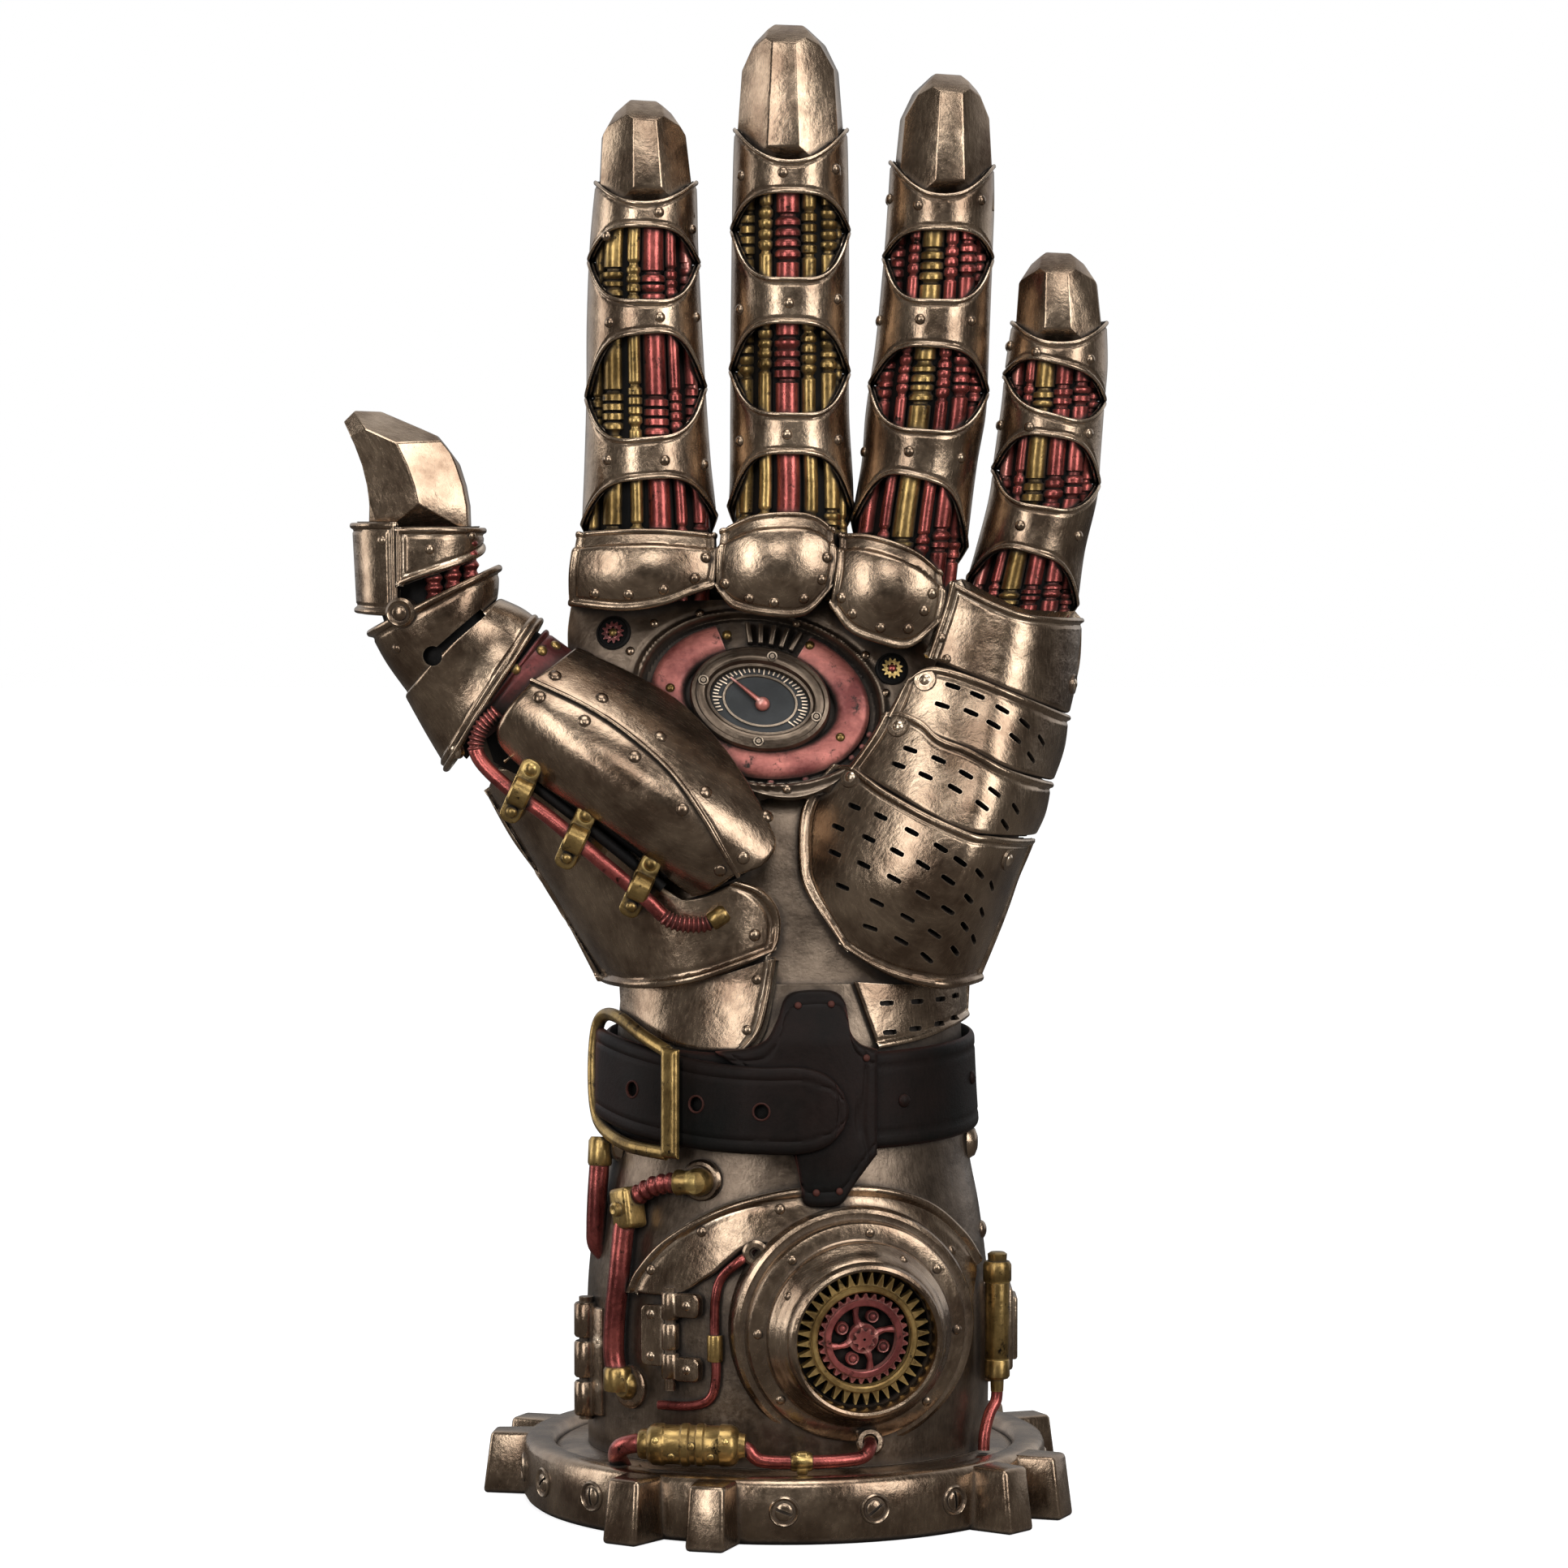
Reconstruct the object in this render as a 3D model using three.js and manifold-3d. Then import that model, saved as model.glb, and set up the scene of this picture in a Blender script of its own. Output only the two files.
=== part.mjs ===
// An armoured mechanical left hand, palm forward, standing on a gear-shaped base.
// Millimetres, +Z up, palm facing -Y, origin under the middle of the base.
import * as THREE from 'three';
import { mergeVertices } from 'three/addons/utils/BufferGeometryUtils.js';
import Module from 'manifold-3d';

const wasm = await Module();
wasm.setup();

// ---- driving dimensions ----
const gap = 0.35;                    // clearance between neighbouring pieces
const baseHeight = 13;
const baseRadius = 53.4;
const toothTip = 62;                 // radius of the base gear's teeth
const deckRadius = 47;
const deckHeight = 11.5;
const bandWall = 1.6;                // thickness of a finger band
const plateWall = 2.3;               // thickness of a forearm or wrist plate
const portholeCentre = [15, -29, 38.2];
const portholeTurn = 15;             // degrees the porthole looks towards +X
const wellDepth = 10.5;              // floor of the porthole above its back ring
const gaugeCentre = [-4.8, -14.2, 163.5];
const gaugeTilt = 18;                // degrees the gauge leans back
const gaugeRoll = -12;               // degrees its long axis dips to the right
const fingerSides = 12;
const armSides = 20;

// The forearm and wrist: height, middle x, half width, half depth.
const armSections = [
  [11.85, 0.8, 41, 34],
  [45, 0.8, 41.3, 34],
  [60, 0.8, 39.5, 32],
  [72, 1, 36.8, 30],
  [90, 1, 35.5, 28.5],
  [106, 1.5, 34.8, 26.5],
];

// The palm's inner body: left and right edge points, front and back depth.
const palmSections = [
  { left: [-33.3, 106.4], right: [36.3, 106.4], front: -24, back: 25 },
  { left: [-38, 115], right: [39, 115], front: -22, back: 24 },
  { left: [-46, 127], right: [44, 127], front: -20, back: 22 },
  { left: [-54, 140], right: [50, 140], front: -17, back: 21 },
  { left: [-51, 151], right: [54, 151], front: -13, back: 20 },
  { left: [-45, 163], right: [56, 163], front: -9.5, back: 19 },
  { left: [-41, 175], right: [57, 172], front: -8, back: 18 },
  { left: [-40, 195], right: [58, 180], front: -8, back: 14 },
];

// Each finger: outline rows [z, left x, right x], the middle depth, and the edges of its bands.
// A rim or opening edge is [left z, middle z, right z].
const fingers = {
  index: {
    outline: [[186, -41, -13.6], [200, -40.9, -13.6], [212, -40.4, -14.8], [240, -39.9, -16.6],
      [255, -39.3, -17.3], [267, -38.2, -17.6], [276, -37, -18.3]],
    depth: -7,
    tipRim: [268.7, 263.8, 268.7],
    openings: [
      { above: [253.7, 259.6, 256.9], below: [251.5, 242.9, 247.5] },
      { above: [228.5, 238.2, 234.5], below: [221.3, 215.4, 219.5] },
      { above: [201.9, 209.2, 205.8], below: [199.4, 198.4, 198.4] },
    ],
    tip: { top: [-28.5, 284.5], shoulder: 278.5, lean: 0.5 },
  },
  middle: {
    outline: [[186, -12, 14.2], [200, -11.4, 14.2], [208, -11, 14], [222, -10.9, 13.2],
      [247, -10.7, 13.2], [275, -10.2, 12.9], [286, -9.3, 12.3]],
    depth: -7,
    tipRim: [279.3, 272, 279.3],
    openings: [
      { above: [263.7, 266.3, 263.8], below: [253.7, 247.3, 252.9] },
      { above: [235.2, 240.3, 235.2], below: [225.6, 220.3, 224.7] },
      { above: [208.4, 214.3, 207.7], below: [200.5, 201.8, 200] },
    ],
    tip: { top: [1.3, 300], shoulder: 291, lean: 0 },
  },
  ring: {
    outline: [[182, 11.5, 35], [202, 14, 37.9], [212, 15.7, 39.2], [222, 16.5, 40.9],
      [236, 18.5, 41.5], [255, 20.3, 42.2], [265, 21, 42.5], [278, 21.8, 42.2]],
    depth: -7,
    tipRim: [272.8, 265.3, 272],
    openings: [
      { above: [258.3, 259, 254.8], below: [248.1, 243, 251] },
      { above: [232.7, 235.6, 229], below: [222.6, 217, 223] },
      { above: [208.4, 209.4, 203], below: [199, 197, 192] },
    ],
    tip: { top: [32.7, 290], shoulder: 283, lean: 0.6 },
  },
  little: {
    outline: [[176, 33.5, 58.6], [186, 36.5, 60], [194, 38.8, 61.1], [205, 41.6, 63.6],
      [213, 42.6, 64.2], [224, 44.1, 65], [232, 44.9, 65.6], [244, 46.8, 65.2]],
    depth: -5,
    tipRim: [240.6, 235.9, 240.6],
    openings: [
      { above: [233.2, 231.5, 225.9], below: [226, 221, 222.5] },
      { above: [217.2, 217, 210.2], below: [204, 202.5, 204.8] },
      { above: [197.1, 193.6, 189.6], below: [188, 182.5, 181.4] },
    ],
    tip: { top: [55.4, 254.6], shoulder: 249, lean: 0.4 },
  },
};

// ---- finishes ----
const finish = (name, color, roughness, metalness) => {
  const material = new THREE.MeshStandardMaterial({ color, roughness, metalness });
  material.name = name;
  return material;
};
const bronze = finish('bronze', 0x80674f, 0.38, 0.9);
const darkBronze = finish('dark_bronze', 0x3a3029, 0.5, 0.8);
const gold = finish('gold_paint', 0x8a6c2c, 0.45, 0.7);
const red = finish('red_paint', 0x9a4640, 0.4, 0.7);
const leather = finish('leather', 0x2b2a2c, 0.6, 0);
const dialGrey = finish('dial', 0x2e3032, 0.6, 0.1);

// ---- small geometry helpers ----
const radians = THREE.MathUtils.degToRad;
const clamp = THREE.MathUtils.clamp;

const closedGeometry = (points, triangles) => {
  const geometry = new THREE.BufferGeometry();
  geometry.setFromPoints(points);
  geometry.setIndex(triangles);
  return geometry;
};

// A closed solid through a stack of rings with equally many points, counter-clockwise from above.
const loft = (rings) => {
  const count = rings[0].length;
  const last = (rings.length - 1) * count;
  const triangles = [];
  for (let ring = 0; ring < rings.length - 1; ring += 1) {
    for (let side = 0; side < count; side += 1) {
      const a = ring * count + side;
      const b = ring * count + ((side + 1) % count);
      triangles.push(a, b, b + count, a, b + count, a + count);
    }
  }
  for (let side = 1; side < count - 1; side += 1) {
    triangles.push(0, side + 1, side, last, last + side, last + side + 1);
  }
  return closedGeometry(rings.flat(), triangles);
};

// A closed band: the profile points, in order, are swept round a closed loop of stations.
const loop = (stations) => {
  const count = stations[0].length;
  const total = stations.length * count;
  const triangles = [];
  for (let station = 0; station < stations.length; station += 1) {
    for (let corner = 0; corner < count; corner += 1) {
      const a = station * count + corner;
      const b = station * count + ((corner + 1) % count);
      const c = (b + count) % total;
      const d = (a + count) % total;
      triangles.push(a, d, b, b, d, c);
    }
  }
  return closedGeometry(stations.flat(), triangles);
};

// A tilted ring between a left and a right point of the front view.
const ringBetween = (left, right, front, back, sides, squareness = 1) => {
  const middleX = (left[0] + right[0]) / 2;
  const middleZ = (left[1] + right[1]) / 2;
  const points = [];
  for (let side = 0; side < sides; side += 1) {
    const angle = (2 * Math.PI * side) / sides;
    const across = Math.sign(Math.sin(angle)) * Math.abs(Math.sin(angle)) ** squareness;
    const ahead = Math.sign(Math.cos(angle)) * Math.abs(Math.cos(angle)) ** squareness;
    const middleY = (front + back) / 2;
    const y = middleY - ((back - front) / 2) * ahead;
    points.push(new THREE.Vector3(middleX + (across * (right[0] - left[0])) / 2, y,
      middleZ + (across * (right[1] - left[1])) / 2));
  }
  return points;
};

const spaced = (points, count) => new THREE.SplineCurve(points.map(([x, z]) => new THREE.Vector2(x, z)))
  .getSpacedPoints(count);

// A plate between four edges of the front view; front and back give its depth at any x, z.
const plate = ({ top, right, bottom, left }, front, back, columns = 6, rows = 4) => {
  const topEdge = spaced(top, columns);
  const bottomEdge = spaced(bottom, columns);
  const leftEdge = spaced(left, rows);
  const rightEdge = spaced(right, rows);
  const faces = [[], []];
  for (let row = 0; row <= rows; row += 1) {
    for (let column = 0; column <= columns; column += 1) {
      const s = column / columns;
      const t = row / rows;
      const blend = (axis) => (1 - t) * topEdge[column][axis] + t * bottomEdge[column][axis]
        + (1 - s) * leftEdge[row][axis] + s * rightEdge[row][axis]
        - (1 - s) * (1 - t) * topEdge[0][axis] - s * (1 - t) * topEdge[columns][axis]
        - (1 - s) * t * bottomEdge[0][axis] - s * t * bottomEdge[columns][axis];
      const x = blend('x');
      const z = blend('y');
      faces[0].push(new THREE.Vector3(x, front(x, z), z));
      faces[1].push(new THREE.Vector3(x, back(x, z), z));
    }
  }
  const width = columns + 1;
  const offset = width * (rows + 1);
  const triangles = [];
  for (let row = 0; row < rows; row += 1) {
    for (let column = 0; column < columns; column += 1) {
      const a = row * width + column;
      const b = a + 1;
      const c = a + width;
      const d = c + 1;
      triangles.push(a, c, b, b, c, d);
      triangles.push(a + offset, b + offset, c + offset, b + offset, d + offset, c + offset);
    }
  }
  const border = [];
  for (let column = 0; column < columns; column += 1) border.push(column);
  for (let row = 0; row < rows; row += 1) border.push(row * width + columns);
  for (let column = columns; column > 0; column -= 1) border.push(rows * width + column);
  for (let row = rows; row > 0; row -= 1) border.push(row * width);
  border.forEach((a, place) => {
    const b = border[(place + 1) % border.length];
    triangles.push(a, b, b + offset, a, b + offset, a + offset);
  });
  return closedGeometry([...faces[0], ...faces[1]], triangles);
};

// ---- joining and cutting ----
const toSolid = (geometry) => {
  const bare = geometry.clone();
  bare.deleteAttribute('normal');
  bare.deleteAttribute('uv');
  const merged = mergeVertices(bare, 1e-4);
  return new wasm.Manifold(new wasm.Mesh({
    numProp: 3,
    vertProperties: new Float32Array(merged.attributes.position.array),
    triVerts: new Uint32Array(merged.index.array),
  }));
};

const toGeometry = (solid) => {
  const mesh = solid.getMesh();
  const geometry = new THREE.BufferGeometry();
  geometry.setAttribute('position', new THREE.BufferAttribute(new Float32Array(mesh.vertProperties), 3));
  geometry.setIndex([...mesh.triVerts]);
  return geometry;
};

const join = (...geometries) => toGeometry(geometries.map(toSolid).reduce((a, b) => a.add(b)));

// The same shape grown outwards by the clearance, for cutting room into a neighbour.
const grown = (geometry) => {
  const shape = toGeometry(toSolid(geometry));
  const position = shape.attributes.position;
  const index = shape.index.array;
  const corners = [];
  for (let vertex = 0; vertex < position.count; vertex += 1) {
    corners.push({ at: new THREE.Vector3().fromBufferAttribute(position, vertex), normals: [] });
  }
  for (let face = 0; face < index.length; face += 3) {
    const [a, b, c] = [0, 1, 2].map((step) => corners[index[face + step]]);
    const normal = new THREE.Triangle(a.at, b.at, c.at).getNormal(new THREE.Vector3());
    [a, b, c].forEach((corner) => corner.normals.push(normal));
  }
  corners.forEach(({ at, normals }, vertex) => {
    const out = normals.reduce((sum, normal) => sum.add(normal), new THREE.Vector3()).normalize();
    const least = Math.min(...normals.map((normal) => normal.dot(out)));
    at.addScaledVector(out, gap / clamp(least, 0.4, 1));
    position.setXYZ(vertex, at.x, at.y, at.z);
  });
  return shape;
};

// A shape less the room needed by the neighbours that it meets, keeping its largest piece.
const clearOf = (geometry, ...neighbours) => {
  const meets = (solid, other) => solid.intersect(toSolid(other)).volume() > 0;
  const cut = neighbours.reduce((solid, other) => (meets(solid, other)
    ? solid.subtract(toSolid(grown(other))).subtract(toSolid(other)) : solid), toSolid(geometry));
  const pieces = cut.decompose().sort((a, b) => b.volume() - a.volume());
  return toGeometry(pieces[0]);
};

// ---- simple bodies ----
const turned = (profile, segments) => new THREE.LatheGeometry(
  profile.map(([radius, height]) => new THREE.Vector2(radius, height)), segments);

const cylinderAlong = (from, to, radius, segments = 8) => {
  const start = new THREE.Vector3(...from);
  const direction = new THREE.Vector3(...to).sub(start);
  const geometry = new THREE.CylinderGeometry(radius, radius, direction.length(), segments);
  const turn = new THREE.Quaternion().setFromUnitVectors(new THREE.Vector3(0, 1, 0),
    direction.clone().normalize());
  geometry.applyQuaternion(turn);
  geometry.translate(...start.addScaledVector(direction, 0.5).toArray());
  return geometry;
};

const tube = (points, radius, steps, sides = 8) => {
  const section = new THREE.Shape();
  for (let side = 0; side < sides; side += 1) {
    const angle = (2 * Math.PI * side) / sides;
    const move = side === 0 ? 'moveTo' : 'lineTo';
    section[move](radius * Math.cos(angle), radius * Math.sin(angle));
  }
  const path = new THREE.CatmullRomCurve3(points.map((point) => new THREE.Vector3(...point)));
  return new THREE.ExtrudeGeometry(section, { steps, extrudePath: path, bevelEnabled: false });
};

const block = (size, centre, turn = 0) => {
  const geometry = new THREE.BoxGeometry(...size);
  geometry.rotateZ(radians(turn));
  geometry.translate(...centre);
  return geometry;
};

// ---- surfaces that plates lie on ----
const between = (rows, at, column) => {
  const place = clamp(rows.findIndex((row) => row[0] > at), 1, rows.length - 1);
  const index = at >= rows[rows.length - 1][0] ? rows.length - 1 : place;
  const [low, high] = [rows[index - 1], rows[index]];
  return THREE.MathUtils.mapLinear(at, low[0], high[0], low[column], high[column]);
};

// Depth of the forearm's front at x, z, raised by a lift.
const armFront = (x, z, lift = 0) => {
  const half = between(armSections, z, 2) + lift;
  const across = clamp((x - between(armSections, z, 1)) / half, -0.995, 0.995);
  return -(between(armSections, z, 3) + lift) * Math.sqrt(1 - across ** 2);
};
const onArm = ([x, z], lift) => [x, armFront(x, z, lift), z];

// A shallow dome: the crest's depth, less deep towards its edges.
const dome = ([x, z], [halfX, halfZ], crest, drop) => (px, pz) => crest
  + drop * (((px - x) / halfX) ** 2 + ((pz - z) / halfZ) ** 2);

// The ball of the thumb: an almond-shaped ridge running down to the wrist.
const thenarStart = new THREE.Vector2(-52, 163);
const thenarAlong = new THREE.Vector2(0.826, -0.562);
const thenarFront = (x, z) => {
  const from = new THREE.Vector2(x, z).sub(thenarStart);
  const along = from.dot(thenarAlong);
  const across = from.cross(thenarAlong);
  return -38 + 0.055 * across ** 2 + 0.006 * (along - 32) ** 2;
};
const thenarEdge = (z) => -37 - (z - 107) * 0.63;
const thenarBaseFront = (x, z) => {
  const across = clamp((x + 12) / (thenarEdge(z) + 12), 0, 0.97);
  return -27.5 * Math.sqrt(1 - across ** 2.4);
};

// The little-finger side of the palm: height, crest x, right edge x, crest depth.
const heelSections = [
  [104, 29, 40, -25],
  [115, 30, 44, -29],
  [128, 33, 48, -33],
  [141, 36, 54, -32],
  [154, 38, 57.5, -28.5],
  [165, 40, 59.5, -25.5],
  [182, 44, 61, -23],
];
const heelFront = (x, z) => {
  const crestX = between(heelSections, z, 1);
  const edgeX = between(heelSections, z, 2);
  const crest = between(heelSections, z, 3);
  if (x < crestX) return crest + 9 * ((crestX - x) / 26) ** 2;
  return crest * Math.sqrt(1 - clamp((x - crestX) / (edgeX - crestX), 0, 0.985) ** 2);
};

// ---- collecting the sub-parts ----
const hand = new THREE.Group();
hand.name = 'armoured_hand';
const shapes = {};
const addPart = (name, geometry, material) => {
  geometry.computeVertexNormals();
  const mesh = new THREE.Mesh(geometry, material.clone());
  mesh.name = name;
  shapes[name] = geometry;
  hand.add(mesh);
};

// ---- base: a gear with its teeth in pairs ----
const pairAngles = [-23, 58, -104, 124, 190];
const toothRing = (z, inset) => [[-5.2 + inset, baseRadius - 4], [5.2 - inset, baseRadius - 4],
  [4 - inset, toothTip - inset], [-4 + inset, toothTip - inset]]
  .map(([x, y]) => new THREE.Vector3(x, y, z));
const baseTooth = (angle) => loft([
  toothRing(0, 0), toothRing(baseHeight - 2, 0), toothRing(baseHeight - 0.8, 1.2)])
  .rotateZ(Math.PI + radians(angle));
const baseRim = turned([[0, 0], [baseRadius, 0], [baseRadius, baseHeight - 1], [baseRadius - 1, baseHeight],
  [deckRadius + 0.6, baseHeight], [deckRadius, deckHeight], [0, deckHeight]], 40).rotateX(Math.PI / 2);
const baseTeeth = pairAngles.flatMap((angle) => [baseTooth(angle - 8.5), baseTooth(angle + 8.5)]);
addPart('base_gear', join(baseRim, ...baseTeeth), bronze);

// ---- porthole with its two gears ----
const facePorthole = (geometry) => geometry.rotateX(Math.PI / 2).rotateZ(radians(portholeTurn))
  .translate(...portholeCentre);
const portholeHousing = facePorthole(turned([[0, -6], [26.6, -6], [26.6, 4.5], [23.6, 5.5], [23.2, 8.5],
  [19.9, 10.5], [18.6, 14.5], [15.9, 18], [13.9, 18], [13.9, wellDepth], [0, wellDepth]], 26)
  .rotateX(Math.PI / 2));
addPart('porthole_housing', portholeHousing, bronze);

const toothedDisc = (teeth, root, tip, holes) => {
  const shape = new THREE.Shape();
  for (let corner = 0; corner < teeth * 2; corner += 1) {
    const angle = (Math.PI * corner) / teeth;
    const radius = corner % 2 ? tip : root;
    const move = corner === 0 ? 'moveTo' : 'lineTo';
    shape[move](radius * Math.cos(angle), radius * Math.sin(angle));
  }
  shape.holes.push(...holes);
  return shape;
};
const faceGear = (shape, depth) => {
  const geometry = new THREE.ExtrudeGeometry(shape, { depth, bevelEnabled: false, curveSegments: 4 });
  return facePorthole(geometry.translate(0, 0, wellDepth + gap));
};
const ringHole = new THREE.Path();
for (let corner = 0; corner < 20; corner += 1) {
  const angle = (Math.PI * corner) / 10;
  ringHole[corner === 0 ? 'moveTo' : 'lineTo'](9.6 * Math.cos(angle), 9.6 * Math.sin(angle));
}
addPart('porthole_ring_gear', faceGear(toothedDisc(36, 10.7, 13.3, [ringHole]), 2.4), gold);
const windows = [0, 1, 2, 3].map((quarter) => {
  const middle = (Math.PI / 2) * quarter;
  const path = new THREE.Path();
  path.absarc(0, 0, 6.6, middle + 0.18, middle + 1.3, false);
  path.absarc(0, 0, 2.6, middle + 1.1, middle + 0.4, true);
  path.closePath();
  return path;
});
addPart('porthole_gear', faceGear(toothedDisc(30, 8.1, 9, windows), 2.6), red);

// ---- forearm and wrist ----
const armBody = loft(armSections.map(([z, x, width, depth]) => ringBetween([x - width, z], [x + width, z],
  -depth, depth, armSides)));
const sideBox = block([7, 12, 19], [44, 0, 35]);
const sideBarrel = cylinderAlong([-39.6, -10, 18], [-39.6, -10, 42], 2.6, 10);
addPart('forearm', clearOf(join(armBody, sideBox, sideBarrel), portholeHousing), bronze);

const onPlate = (lift) => (x, z) => armFront(x, z, lift);
addPart('cuff_guard', clearOf(plate({
  top: [[-31.5, 45.5], [-29.5, 50], [-24, 56.5], [-14.5, 63], [-5, 66.2], [6, 68], [19, 67.6], [29, 64],
    [36, 57.5], [39.5, 51.5]],
  right: [[39.5, 51.5], [37.5, 49.5]],
  bottom: [[-20.5, 47.2], [-13.6, 51.4], [-7, 57], [-0.6, 61.4], [6, 63.4], [15, 63.8], [25, 62], [33, 56.5],
    [37.5, 49.5]],
  left: [[-31.5, 45.5], [-20.5, 47.2]],
}, onPlate(plateWall + gap), onPlate(gap), 10, 1), portholeHousing, shapes.forearm), bronze);

addPart('wrist_plate_left', plate({
  top: [[-32.4, 105.6], [-18, 105.6], [-3, 105.6]],
  right: [[-3, 105.6], [-4.5, 99], [-8, 94.2]],
  bottom: [[-31.5, 99.2], [-18, 94.8], [-8, 94.2]],
  left: [[-32.4, 105.6], [-31.5, 99.2]],
}, onPlate(plateWall + gap), onPlate(gap), 6, 2), bronze);
addPart('wrist_plate_right', plate({
  top: [[17, 105.6], [28, 105.6], [36, 105.6]],
  right: [[36, 105.6], [35.4, 99.2]],
  bottom: [[19.2, 94.8], [28, 96], [35.4, 99.2]],
  left: [[17, 105.6], [19.2, 94.8]],
}, onPlate(plateWall + gap), onPlate(gap), 6, 2), bronze);

// ---- strap: a leather band that sags at the front ----
const strapInner = gap;
const strapOuter = 2.6;
const strapMiddle = 86.5;
const strapHalf = 9.2;
const strapSag = 2.2;
const strapStations = [];
for (let side = 0; side < armSides; side += 1) {
  const angle = (2 * Math.PI * side) / armSides;
  const middle = strapMiddle - strapSag * Math.cos(angle);
  const rim = (height, lift) => {
    const z = middle + height;
    return new THREE.Vector3(between(armSections, z, 1) + (between(armSections, z, 2) + lift) * Math.sin(angle),
      -(between(armSections, z, 3) + lift) * Math.cos(angle), z);
  };
  strapStations.push([rim(-strapHalf, strapInner), rim(-strapHalf, strapOuter), rim(strapHalf, strapOuter),
    rim(strapHalf, strapInner)]);
}
addPart('strap', loop(strapStations), leather);

const tabLift = (z) => strapOuter + gap + 0.15 - 2 * clamp((z - 98) / 6, 0, 1);
const leatherWall = 1.8;
addPart('leather_tab', clearOf(plate({
  top: [[-14, 94.6], [-4, 96], [0, 104.5], [4, 106], [9, 106], [12, 103.5], [13, 98], [18.5, 94.6]],
  right: [[18.5, 94.6], [19, 85], [18.6, 74]],
  bottom: [[2.6, 75], [4, 64.8], [8, 64.2], [12, 64.8], [15, 69], [18.6, 74]],
  left: [[-14, 94.6], [-2, 86], [2.6, 75]],
}, (x, z) => armFront(x, z, tabLift(z) + leatherWall), (x, z) => armFront(x, z, tabLift(z)), 7, 4),
shapes.strap, shapes.cuff_guard, shapes.wrist_plate_left), leather);

const tongueLift = (x) => strapOuter + gap + (leatherWall + gap + 0.3) * clamp((x + 20) / 10, 0, 1);
addPart('strap_tongue', clearOf(plate({
  top: [[-35, 96], [-28, 94.5], [-17, 92.5], [-5, 91.8], [4, 91.5], [10.5, 88.8]],
  right: [[10.5, 88.8], [13, 83], [10.5, 78]],
  bottom: [[-35, 78.5], [-28, 77], [-17, 75.2], [-5, 74.8], [4, 75], [10.5, 78]],
  left: [[-35, 96], [-35, 78.5]],
}, (x, z) => armFront(x, z, tongueLift(x) + leatherWall), (x, z) => armFront(x, z, tongueLift(x)), 9, 1),
shapes.strap, shapes.leather_tab), leather);

// ---- buckle: a frame over the tongue with its bar to the right ----
const buckleLift = 6.2;
const buckleFrame = [[-23, 74], [-23, 85], [-23, 96], [-27, 100], [-33, 100.4], [-36.5, 96.5], [-37.2, 86],
  [-36.5, 77], [-33, 72.2], [-27, 71]].map((point) => new THREE.Vector3(...onArm(point, buckleLift)));
const buckleCurve = new THREE.CatmullRomCurve3(buckleFrame, true);
const buckleFlat = new THREE.Shape().moveTo(-1.5, -0.9).lineTo(1.5, -0.9).lineTo(1.5, 0.9).lineTo(-1.5, 0.9);
const buckleStations = [];
const buckleSteps = 24;
for (let step = 0; step < buckleSteps; step += 1) {
  const at = buckleCurve.getPointAt(step / buckleSteps);
  const along = buckleCurve.getTangentAt(step / buckleSteps);
  const out = new THREE.Vector3(at.x / 38, at.y / 30, 0).normalize();
  const across = new THREE.Vector3().crossVectors(along, out).normalize();
  const corners = buckleFlat.getPoints().slice(0, 4).map((corner) => at.clone()
    .addScaledVector(across, corner.x).addScaledVector(out, corner.y));
  buckleStations.push(corners);
}
addPart('buckle', clearOf(loop(buckleStations), shapes.strap_tongue, shapes.strap), gold);

// ---- pipes and hoses on the forearm ----
const hoseRadius = 2.1;
const hosePath = [[-20, 68], [-26, 67], [-30, 63.5], [-32.2, 57], [-33, 50], [-34, 40], [-34.2, 31],
  [-33, 27.5]].map((point) => onArm(point, hoseRadius + 1));
addPart('arm_hose', clearOf(join(tube(hosePath, hoseRadius, 12),
  cylinderAlong(onArm([-16.5, 68.5], 0.5), onArm([-17, 68.5], 3), 4.2),
  cylinderAlong(onArm([-16.5, 68.5], 3.2), onArm([-22, 68], 3.2), 2.9),
  block([5.5, 4.6, 8], onArm([-31.2, 62], 3.2), -50),
  cylinderAlong(onArm([-33, 31], 3), onArm([-31, 25], 3), 2.7)), shapes.forearm), red);
const sideHosePath = [[-38.6, -10, 76], [-39.6, -11, 70], [-41, -11, 62], [-43, -11, 55], [-43.8, -9, 50]];
const sideHoseCap = cylinderAlong([-39, -10.6, 69], [-38.8, -10.2, 74], 2.3);
addPart('side_hose', join(tube(sideHosePath, 1.7, 7), sideHoseCap), red);
const pipePath = [[-6, 54.5], [-11, 50.5], [-13.3, 45.5], [-13.8, 39], [-13.5, 29.5], [-17, 24.4],
  [-25, 23.5]].map((point) => onArm(point, 1.6));
addPart('cuff_pipe', clearOf(join(tube(pipePath, 0.9, 14, 6),
  cylinderAlong(onArm([-13.5, 33], 1.7), onArm([-13.7, 38], 1.7), 1.6, 8)),
portholeHousing, shapes.cuff_guard), red);

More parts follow.
